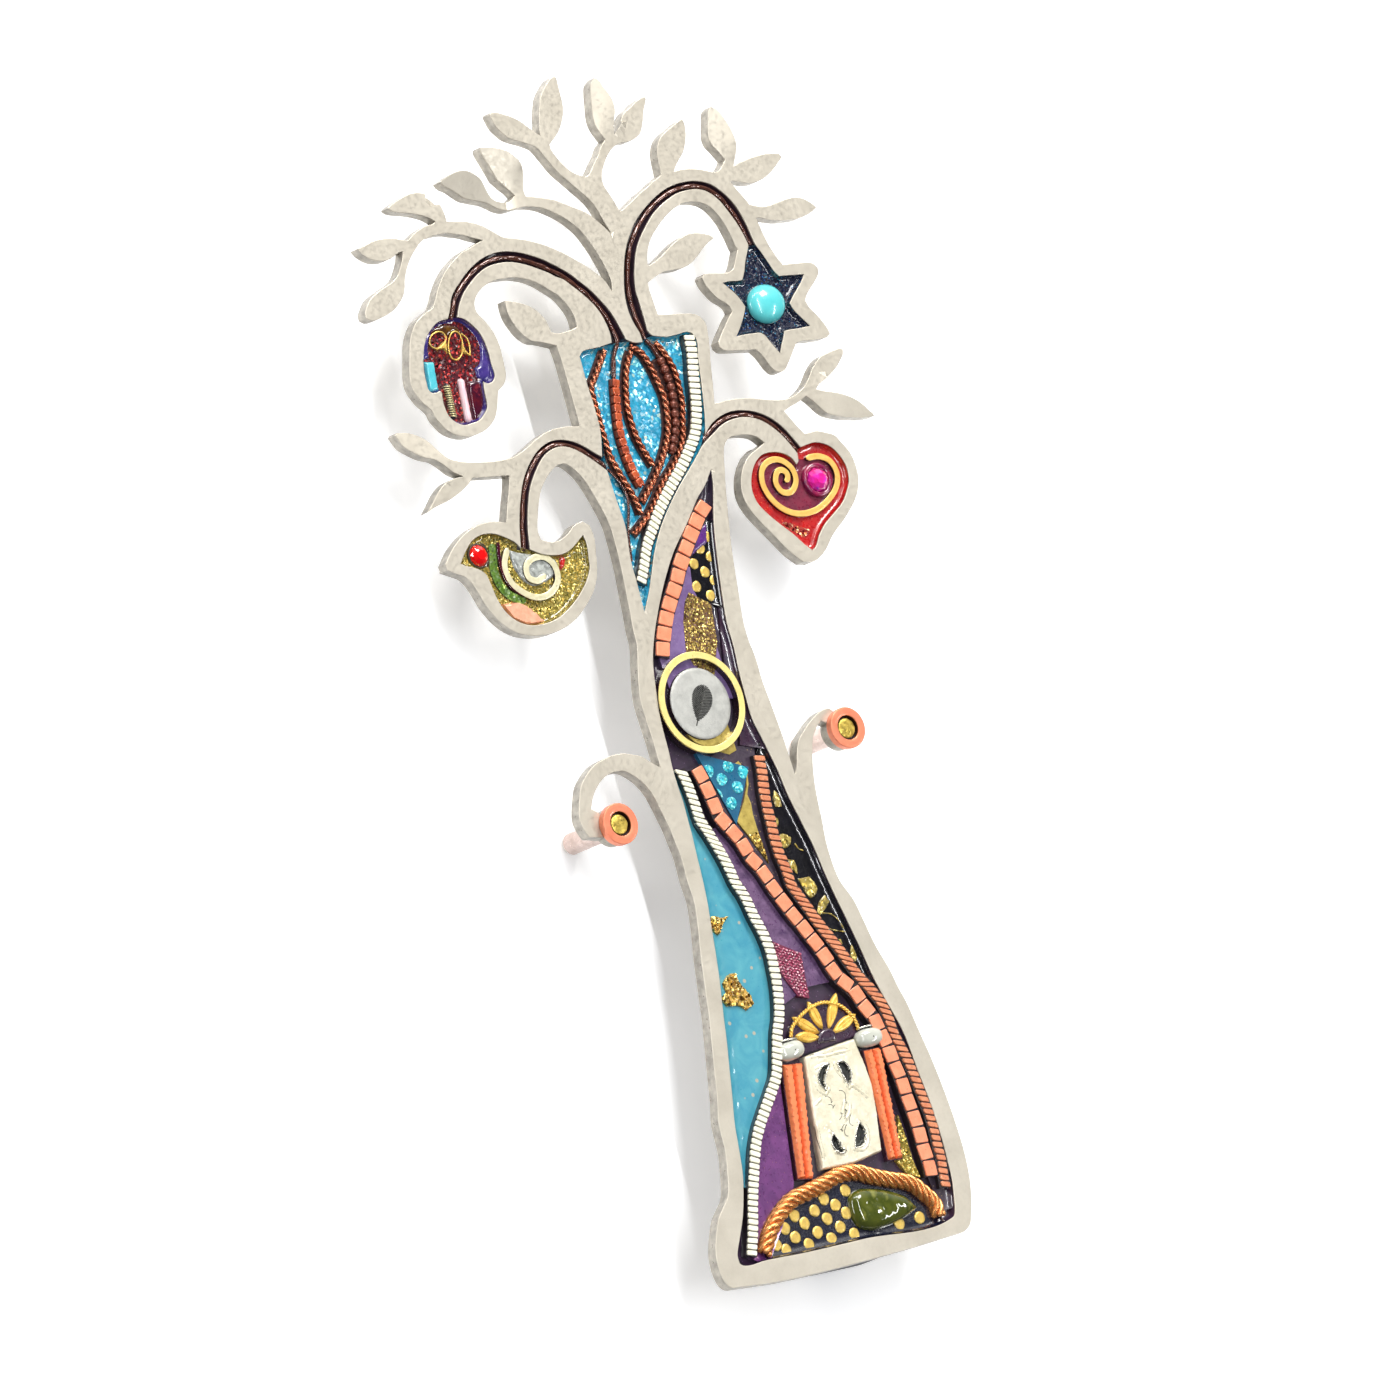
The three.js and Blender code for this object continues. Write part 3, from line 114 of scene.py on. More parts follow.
# ------------------------------------------------------------------ materials
class Mat:
    def __init__(self, name, color, rough=0.4, metal=0.0, coat=0.0, coat_rough=0.04, ior=1.5, spec=None):
        self.m = bpy.data.materials.new(name)
        self.m.use_nodes = True
        self.t = self.m.node_tree
        self.b = self.t.nodes["Principled BSDF"]
        self.b.inputs["Base Color"].default_value = (*color, 1)
        self.b.inputs["Roughness"].default_value = rough
        self.b.inputs["Metallic"].default_value = metal
        self.b.inputs["Coat Weight"].default_value = coat
        self.b.inputs["Coat Roughness"].default_value = coat_rough
        self.b.inputs["IOR"].default_value = ior
        if spec is not None: self.b.inputs["Specular IOR Level"].default_value = spec
        self._c = {}
    def n(self, kind, **kw):
        x = self.t.nodes.new(kind)
        for k, v in kw.items(): setattr(x, k, v)
        return x
    def put(self, sock, v):
        if isinstance(v, bpy.types.NodeSocket): self.t.links.new(v, sock)
        elif isinstance(v, tuple) and len(v) == 3 and sock.type == "RGBA": sock.default_value = (*v, 1)
        else: sock.default_value = v
    def coord(self, scale=(1, 1, 1), rot=(0, 0, 0)):
        k = (scale, rot)
        if k not in self._c:
            t = self.n("ShaderNodeTexCoord"); m = self.n("ShaderNodeMapping")
            m.inputs["Scale"].default_value = [s * 1000 for s in scale]
            m.inputs["Rotation"].default_value = rot
            self.t.links.new(t.outputs["Object"], m.inputs[0])
            self._c[k] = m.outputs[0]
        return self._c[k]
    def noise(self, scale, detail=3, rough=0.5, dist=0.0, stretch=(1, 1, 1), rot=(0, 0, 0), color=False):
        x = self.n("ShaderNodeTexNoise")
        self.put(x.inputs["Vector"], self.coord(stretch, rot))
        x.inputs["Scale"].default_value = scale; x.inputs["Detail"].default_value = detail
        x.inputs["Roughness"].default_value = rough; x.inputs["Distortion"].default_value = dist
        return x.outputs["Color" if color else "Fac"]
    def voro(self, scale, feature="F1", out="Distance", rand=1.0, stretch=(1, 1, 1), vec=None, rot=(0, 0, 0)):
        x = self.n("ShaderNodeTexVoronoi", feature=feature)
        self.put(x.inputs["Vector"], vec or self.coord(stretch, rot))
        x.inputs["Scale"].default_value = scale; x.inputs["Randomness"].default_value = rand
        return x.outputs[out]
    def ramp(self, fac, *stops, mode="LINEAR"):
        x = self.n("ShaderNodeValToRGB"); r = x.color_ramp; r.interpolation = mode
        while len(r.elements) < len(stops): r.elements.new(0.5)
        for e, (p, c) in zip(r.elements, stops):
            e.position = p; e.color = (*c, 1) if isinstance(c, tuple) else (c, c, c, 1)
        self.put(x.inputs[0], fac)
        return x.outputs[0]
    def mix(self, fac, a, b, blend="MIX"):
        x = self.n("ShaderNodeMix", data_type="RGBA", blend_type=blend)
        self.put(x.inputs[0], fac)
        self.put(x.inputs[6], a if isinstance(a, bpy.types.NodeSocket) else (*a, 1))
        self.put(x.inputs[7], b if isinstance(b, bpy.types.NodeSocket) else (*b, 1))
        return x.outputs[2]
    def math(self, op, a, b=0.0):
        x = self.n("ShaderNodeMath", operation=op); self.put(x.inputs[0], a); self.put(x.inputs[1], b)
        return x.outputs[0]
    def sep(self, v, i):
        x = self.n("ShaderNodeSeparateColor"); self.put(x.inputs[0], v); return x.outputs[i]
    def obj(self, i):
        t = self.n("ShaderNodeTexCoord"); s = self.n("ShaderNodeSeparateXYZ")
        self.t.links.new(t.outputs["Object"], s.inputs[0]); return self.math("MULTIPLY", s.outputs[i], 1000.0)
    def col(self, v): self.put(self.b.inputs["Base Color"], v); return self
    def rough(self, v): self.put(self.b.inputs["Roughness"], v); return self
    def metal(self, v): self.put(self.b.inputs["Metallic"], v); return self
    def bump(self, h, strength=0.5, dist=0.05, prev=None):
        x = self.n("ShaderNodeBump"); x.inputs["Strength"].default_value = strength
        x.inputs["Distance"].default_value = dist * MM
        self.put(x.inputs["Height"], h)
        if prev is not None: self.put(x.inputs["Normal"], prev)
        self.put(self.b.inputs["Normal"], x.outputs[0])
        return x.outputs[0]

def srgb(r, g, b):
    f = lambda c: (c / 255 / 12.92) if c / 255 <= 0.04045 else ((c / 255 + 0.055) / 1.055) ** 2.4
    return (f(r), f(g), f(b))

# ------------------------------------------------------------------ geometry helpers
def smooth(ps, closed=True, step=0.3, corner=38):
    pts = [np.array(ps[0], float)]
    for p in ps[1:]:
        p = np.array(p, float)
        if np.linalg.norm(p - pts[-1]) > 0.12: pts.append(p)
    if closed and np.linalg.norm(pts[0] - pts[-1]) < 0.12: pts.pop()
    n, out = len(pts), []
    def turn(i):
        if not closed and i in (0, n - 1): return 180
        a, b = pts[i] - pts[i - 1], pts[(i + 1) % n] - pts[i]
        return abs(math.degrees(math.atan2(a[0] * b[1] - a[1] * b[0], a @ b)))
    cor = [turn(i) > corner for i in range(n)]
    for i in range(n if closed else n - 1):
        j = (i + 1) % n
        p1, p2 = pts[i], pts[j]
        p0 = pts[i - 1] if not cor[i] else 2 * p1 - p2
        p3 = pts[(j + 1) % n] if not cor[j] else 2 * p2 - p1
        d1, d0, d2 = np.linalg.norm(p2 - p1), np.linalg.norm(p1 - p0), np.linalg.norm(p3 - p2)
        m1 = ((p1 - p0) / d0 * d1 + (p2 - p1)) / 2 if not cor[i] else p2 - p1
        m2 = ((p3 - p2) / d2 * d1 + (p2 - p1)) / 2 if not cor[j] else p2 - p1
        k = max(1, math.ceil(d1 / step))
        for t in np.arange(k) / k:
            out.append((2*t**3-3*t**2+1)*p1 + (t**3-2*t**2+t)*m1 + (-2*t**3+3*t**2)*p2 + (t**3-t**2)*m2)
    if not closed: out.append(pts[-1])
    return np.array(out)

def area2(p): return 0.5 * np.sum(p[:, 0] * np.roll(p[:, 1], -1) - np.roll(p[:, 0], -1) * p[:, 1])
def ccw(p):
    p = np.asarray(p, float)
    return p if area2(p) > 0 else p[::-1].copy()

def offset(p, d, limit=0.5):
    p = ccw(p)
    a, b = p - np.roll(p, 1, 0), np.roll(p, -1, 0) - p
    a /= np.linalg.norm(a, axis=1)[:, None] + 1e-12; b /= np.linalg.norm(b, axis=1)[:, None] + 1e-12
    n1, n2 = np.c_[a[:, 1], -a[:, 0]], np.c_[b[:, 1], -b[:, 0]]
    s = np.maximum(limit, 1 + np.sum(n1 * n2, 1))[:, None]
    return p + d * (n1 + n2) / s

def beside(line, d):
    line = np.asarray(line, float)
    t = np.gradient(line, axis=0); t /= np.linalg.norm(t, axis=1)[:, None]
    return line + d * np.c_[-t[:, 1], t[:, 0]]

def ribbon(line, w): return np.r_[beside(line, -w / 2), beside(line, w / 2)[::-1]]

def inside(pts, loops):
    hit = np.zeros(len(pts), bool)
    for lp in loops:
        a, b = lp, np.roll(lp, -1, 0)
        for k in range(0, len(pts), 4000):
            q = pts[k:k + 4000]
            c = (a[None, :, 1] > q[:, None, 1]) != (b[None, :, 1] > q[:, None, 1])
            with np.errstate(divide="ignore", invalid="ignore"):
                x = (b[:, 0] - a[:, 0]) * (q[:, None, 1] - a[:, 1]) / (b[:, 1] - a[:, 1]) + a[:, 0]
            hit[k:k + 4000] ^= (np.sum(c & (q[:, None, 0] < x), 1) % 2).astype(bool)
    return hit

def edge_dist(pts, loops):
    best = np.full(len(pts), 1e9)
    for lp in loops:
        a, b = lp, np.roll(lp, -1, 0)
        ab = b - a; l2 = np.sum(ab * ab, 1) + 1e-12
        for k in range(0, len(pts), 3000):
            q = pts[k:k + 3000]
            t = np.clip(np.sum((q[:, None] - a) * ab, 2) / l2, 0, 1)
            d = np.linalg.norm(q[:, None] - (a + t[..., None] * ab), axis=2).min(1)
            best[k:k + 3000] = np.minimum(best[k:k + 3000], d)
    return best

def line_dist(pts, line):
    """distance to an open line and the side: positive is left of its direction"""
    a, b = line[:-1], line[1:]
    ab = b - a; l2 = np.sum(ab * ab, 1)
    t = np.clip(np.sum((pts[:, None] - a) * ab, 2) / l2, 0, 1)
    v = pts[:, None] - (a + t[..., None] * ab)
    d = np.linalg.norm(v, axis=2); i = d.argmin(1)
    cr = ab[i, 0] * (pts[:, 1] - a[i, 1]) - ab[i, 1] * (pts[:, 0] - a[i, 0])
    return d[np.arange(len(pts)), i] * np.sign(cr)

def fill(loops, grid=0.0, margin=0.35, rings=(), mask=None):
    """constrained triangulation of loops with optional inner points and points at given depths: (points, triangles)"""
    mask = mask or (lambda q: inside(q, loops))
    vs, es, extra = [], [], []
    for lp in loops:
        k = len(vs)
        vs += [Vector(p) for p in lp]
        es += [(k + i, k + (i + 1) % len(lp)) for i in range(len(lp))]
    for r in rings:
        for i, lp in enumerate(loops):
            q = offset(lp, r if i else -r)
            q = q[mask(q)]
            if len(q): extra.append(q[edge_dist(q, loops) > 0.85 * r])
    if grid:
        lo, hi = loops[0].min(0), loops[0].max(0)
        g = []
        for j, z in enumerate(np.arange(lo[1], hi[1], grid * 0.866)):
            x = np.arange(lo[0] + (grid / 2 if j % 2 else 0), hi[0], grid)
            g.append(np.c_[x, np.full(len(x), z)])
        g = np.concatenate(g)
        g = g[mask(g)]
        if len(g): extra.append(g[edge_dist(g, loops) > max(grid * margin, max(rings, default=0) + grid * 0.4)])
    vs += [Vector(p) for q in extra for p in q]
    v, _, f, *_ = delaunay_2d_cdt(vs, es, [], 0, 1e-6)
    v = np.array([tuple(p) for p in v]); f = np.array([tuple(x) for x in f if len(x) == 3])
    f = f[mask(v[f].mean(1))]
    cr = np.cross(v[f[:, 1]] - v[f[:, 0]], v[f[:, 2]] - v[f[:, 0]])
    f = f[np.abs(cr) > 1e-9]; cr = cr[np.abs(cr) > 1e-9]
    f[cr < 0] = f[cr < 0][:, ::-1]
    used = np.unique(f)
    remap = -np.ones(len(v), int); remap[used] = np.arange(len(used))
    return v[used], remap[f]

class Acc:
    """vertices in mm, faces, and a material number for each face"""
    def __init__(self): self.v, self.f, self.m, self.n = [], [], [], 0
    def add(self, v, f, mat=0):
        v = np.asarray(v, float)
        self.v.append(v); self.f += [tuple(int(i) + self.n for i in x) for x in f]
        self.m += [mat] * len(f) if np.isscalar(mat) else list(mat)
        self.n += len(v); return self

def make(name, acc, mats, nodes=(), body="root", angle=40, slot=None):
    me = bpy.data.meshes.new(name)
    me.from_pydata((np.concatenate(acc.v) * MM).tolist(), [], acc.f)
    for m in (mats if isinstance(mats, (list, tuple)) else [mats]): me.materials.append(m.m)
    me.polygons.foreach_set("material_index", acc.m)
    me.polygons.foreach_set("use_smooth", [True] * len(acc.f))
    me.set_sharp_from_angle(angle=math.radians(angle))
    me.validate(); me.update()
    o = bpy.data.objects.new(name, me)
    bpy.context.scene.collection.objects.link(o)
    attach(o, body)
    if nodes:
        nodes = [nodes] if isinstance(nodes, str) else list(nodes)
        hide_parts(*nodes)
        slot = slot or SLOT_OF.get(nodes[0])
    return o

SLOT_OF = {s["node"]: s["material_slot"] for s in frame["record"]["subparts"]}

def slab(acc, loops, y_back, height, grid=0.0, mat=0, side=None, margin=0.35, rings=(), mask=None):
    """closed solid over loops: its front is y = height(points), its back y_back (a number or a function)"""
    p, t = fill(loops, grid, margin, rings, mask)
    n = len(p)
    y = height(p) if callable(height) else np.full(n, float(height))
    yb = y_back(p) if callable(y_back) else np.full(n, float(y_back))
    e = np.concatenate([t[:, [0, 1]], t[:, [1, 2]], t[:, [2, 0]]])
    keys = {(a, b) for a, b in e.tolist()}
    rim = [(a, b) for a, b in keys if (b, a) not in keys]
    # +X right, +Z up, seen from -Y: counter-clockwise triangles face the viewer
    faces = t.tolist() + (t[:, ::-1] + n).tolist() + [(b, a, a + n, b + n) for a, b in rim]
    fm = mat(p[t].mean(1)) if callable(mat) else [mat] * len(t)
    base = side if side is not None else (mat if not callable(mat) else 0)
    acc.add(np.r_[np.c_[p[:, 0], y, p[:, 1]], np.c_[p[:, 0], yb, p[:, 1]]], faces, list(fm) + [base] * (len(t) + len(rim)))
    return acc

def pillow(acc, loop, y_back, h, r=0.3, grid=0.0, mat=0, rough=0.0, freq=1.0, tilt=None):
    """a raised piece with a rounded edge of radius r"""
    loop = ccw(loop)
    def height(p):
        d = np.minimum(edge_dist(p, [loop]) / r, 1)
        y = y_back - h * (0.35 + 0.65 * np.sqrt(np.maximum(0, 1 - (1 - d) ** 2)))
        if rough: y += rough * np.array([noise.noise(Vector((q[0] * freq, q[1] * freq, y_back))) for q in p]) * d
        if tilt: y += (p - loop.mean(0)) @ np.array(tilt)
        return y
    return slab(acc, [loop], y_back, height, grid or r * 0.6, mat)

def superquad(acc, c, half, e=(0.5, 0.5), nu=16, nv=10, rot=0.0, mat=0, lean=0.0):
    """rounded block at c=(x, y, z): half sizes along the path, along y, across; turned by rot in the X-Z plane"""
    sg = lambda w, k: np.sign(w) * np.abs(w) ** k
    u = np.linspace(0, 2 * np.pi, nu, endpoint=False); w = np.linspace(-np.pi / 2, np.pi / 2, nv + 1)[1:-1]
    U, W = np.meshgrid(u, w)
    X = half[0] * sg(np.cos(W), e[0]) * sg(np.cos(U), e[1]); Z = half[2] * sg(np.cos(W), e[0]) * sg(np.sin(U), e[1])
    Y = half[1] * sg(np.sin(W), e[0])
    P = np.c_[X.ravel(), Y.ravel(), Z.ravel()]
    P = np.r_[P, [[0, -half[1], 0], [0, half[1], 0]]]
    P[:, 0] += lean * P[:, 2]
    cr, sr = math.cos(rot), math.sin(rot)
    R = np.c_[P[:, 0] * cr - P[:, 2] * sr, P[:, 1], P[:, 0] * sr + P[:, 2] * cr] + np.array(c)
    nr = nv - 1; f = []
    for j in range(nr - 1):
        for i in range(nu):
            a, b = j * nu + i, j * nu + (i + 1) % nu
            f.append((a, a + nu, b + nu, b))
    s, t = nr * nu, nr * nu + 1
    for i in range(nu):
        f.append((s, i, (i + 1) % nu)); f.append((t, (nr - 1) * nu + (i + 1) % nu, (nr - 1) * nu + i))
    return acc.add(R, f, mat)

def walk(line, pitch, start=0.0, end=0.0):
    """points every pitch along a line, with the heading angle"""
    line = np.asarray(line, float)
    d = np.r_[0, np.cumsum(np.linalg.norm(np.diff(line, axis=0), axis=1))]
    n = max(1, int(round((d[-1] - start - end) / pitch)))
    s = start + (np.arange(n) + 0.5) * (d[-1] - start - end) / n
    x, z = np.interp(s, d, line[:, 0]), np.interp(s, d, line[:, 1])
    e = 0.25
    a = np.arctan2(np.interp(s + e, d, line[:, 1]) - np.interp(s - e, d, line[:, 1]),
                   np.interp(s + e, d, line[:, 0]) - np.interp(s - e, d, line[:, 0]))
    return list(zip(x, z, a)), (d[-1] - start - end) / n

def sweep(acc, path, r, sides=8, mat=0, closed=False, squash=1.0):
    """a round bar along 3-D points (mm), with rounded ends"""
    P = np.asarray(path, float); n = len(P)
    T = np.gradient(P, axis=0) if not closed else np.roll(P, -1, 0) - np.roll(P, 1, 0)
    T /= np.linalg.norm(T, axis=1)[:, None] + 1e-12
    N = np.zeros_like(P); v = np.cross(T[0], [0.0, 1.0, 0.0])
    if np.linalg.norm(v) < 1e-3: v = np.cross(T[0], [1.0, 0, 0])
    N[0] = v / np.linalg.norm(v)
    for i in range(1, n):
        v = N[i - 1] - T[i] * (N[i - 1] @ T[i]); N[i] = v / (np.linalg.norm(v) + 1e-12)
    B = np.cross(T, N)
    a = np.linspace(0, 2 * np.pi, sides, endpoint=False)
    rr = np.full(n, r) if np.isscalar(r) else np.asarray(r)
    if not closed:
        P = np.r_[[P[0] - T[0] * rr[0] * 0.6], P, [P[-1] + T[-1] * rr[-1] * 0.6]]
        N = np.r_[N[:1], N, N[-1:]]; B = np.r_[B[:1], B, B[-1:]]; rr = np.r_[rr[0] * 0.55, rr, rr[-1] * 0.55]; n += 2
    V = P[:, None] + rr[:, None, None] * (np.cos(a)[None, :, None] * N[:, None] + squash * np.sin(a)[None, :, None] * B[:, None])
    V = V.reshape(-1, 3); f = []
    for i in range(n if closed else n - 1):
        j = (i + 1) % n
        for k in range(sides):
            l = (k + 1) % sides
            f.append((i * sides + k, i * sides + l, j * sides + l, j * sides + k))
    if not closed:
        f.append(tuple(range(sides))[::-1]); f.append(tuple((n - 1) * sides + k for k in range(sides)))
    return acc.add(V, f, mat)

def twist(acc, line, y, R, r, pitch, strands=2, sides=7, steps=12, mat=0, y_of=None):
    line = np.asarray(line, float)
    d = np.r_[0, np.cumsum(np.linalg.norm(np.diff(line, axis=0), axis=1))]
    n = max(8, int(d[-1] / pitch * steps)); s = np.linspace(0, d[-1], n)
    C = np.c_[np.interp(s, d, line[:, 0]), np.interp(s, d, line[:, 1])]
    T = np.gradient(C, axis=0); T /= np.linalg.norm(T, axis=1)[:, None]; N = np.c_[-T[:, 1], T[:, 0]]
    yy = y if y_of is None else y_of(s / d[-1])
    for k in range(strands):
        ph = 2 * np.pi * (s / pitch + k / strands)
        P = C + N * (R * np.cos(ph))[:, None]
        sweep(acc, np.c_[P[:, 0], yy + R * np.sin(ph), P[:, 1]], r, sides, mat)
    return acc

def lathe(acc, profile, c, y_back, seg=64, mat=0, closed=False):
    """profile [(radius, height towards the viewer)], from back to front"""
    pr = np.array(profile, float); n = len(pr); a = np.linspace(0, 2 * np.pi, seg, endpoint=False)
    V = np.stack([c[0] + pr[:, None, 0] * np.cos(a), np.repeat(y_back - pr[:, None, 1], seg, 1), c[1] + pr[:, None, 0] * np.sin(a)], 2).reshape(-1, 3)
    f = []
    for i in range(n if closed else n - 1):
        j = (i + 1) % n
        for k in range(seg):
            l = (k + 1) % seg
            f.append((i * seg + k, i * seg + l, j * seg + l, j * seg + k)[::-1])
    if not closed:
        if pr[0, 0] > 1e-6: f.append(tuple(range(seg)))
        if pr[-1, 0] > 1e-6: f.append(tuple((n - 1) * seg + k for k in range(seg))[::-1])
    # drop degenerate rings on the axis
    V2, f2, keep = [], [], {}
    for i in range(n):
        if pr[i, 0] <= 1e-6:
            for k in range(seg): keep[i * seg + k] = len(V2)
            V2.append(V[i * seg])
        else:
            for k in range(seg):
                keep[i * seg + k] = len(V2); V2.append(V[i * seg + k])
    for x in f:
        y = []
        for q in x:
            if keep[q] not in y: y.append(keep[q])
        if len(y) > 2: f2.append(tuple(y))
    return acc.add(V2, f2, mat)

def disc_loop(c, r, n=32, sx=1.0, sz=1.0, rot=0.0, wob=0.0, seed=0):
    a = np.linspace(0, 2 * np.pi, n, endpoint=False)
    rr = r * (1 + wob * (np.sin(2 * a + seed) * 0.5 + np.sin(3 * a + 2.1 * seed) * 0.5 + 0.4 * np.sin(5 * a + seed * 1.7)))
    x, z = rr * np.cos(a) * sx, rr * np.sin(a) * sz
    return np.c_[c[0] + x * math.cos(rot) - z * math.sin(rot), c[1] + x * math.sin(rot) + z * math.cos(rot)]

def N2(p, f=1.0, s=0.0): return np.array([noise.noise(Vector((q[0] * f + s, q[1] * f - s, s))) for q in p])

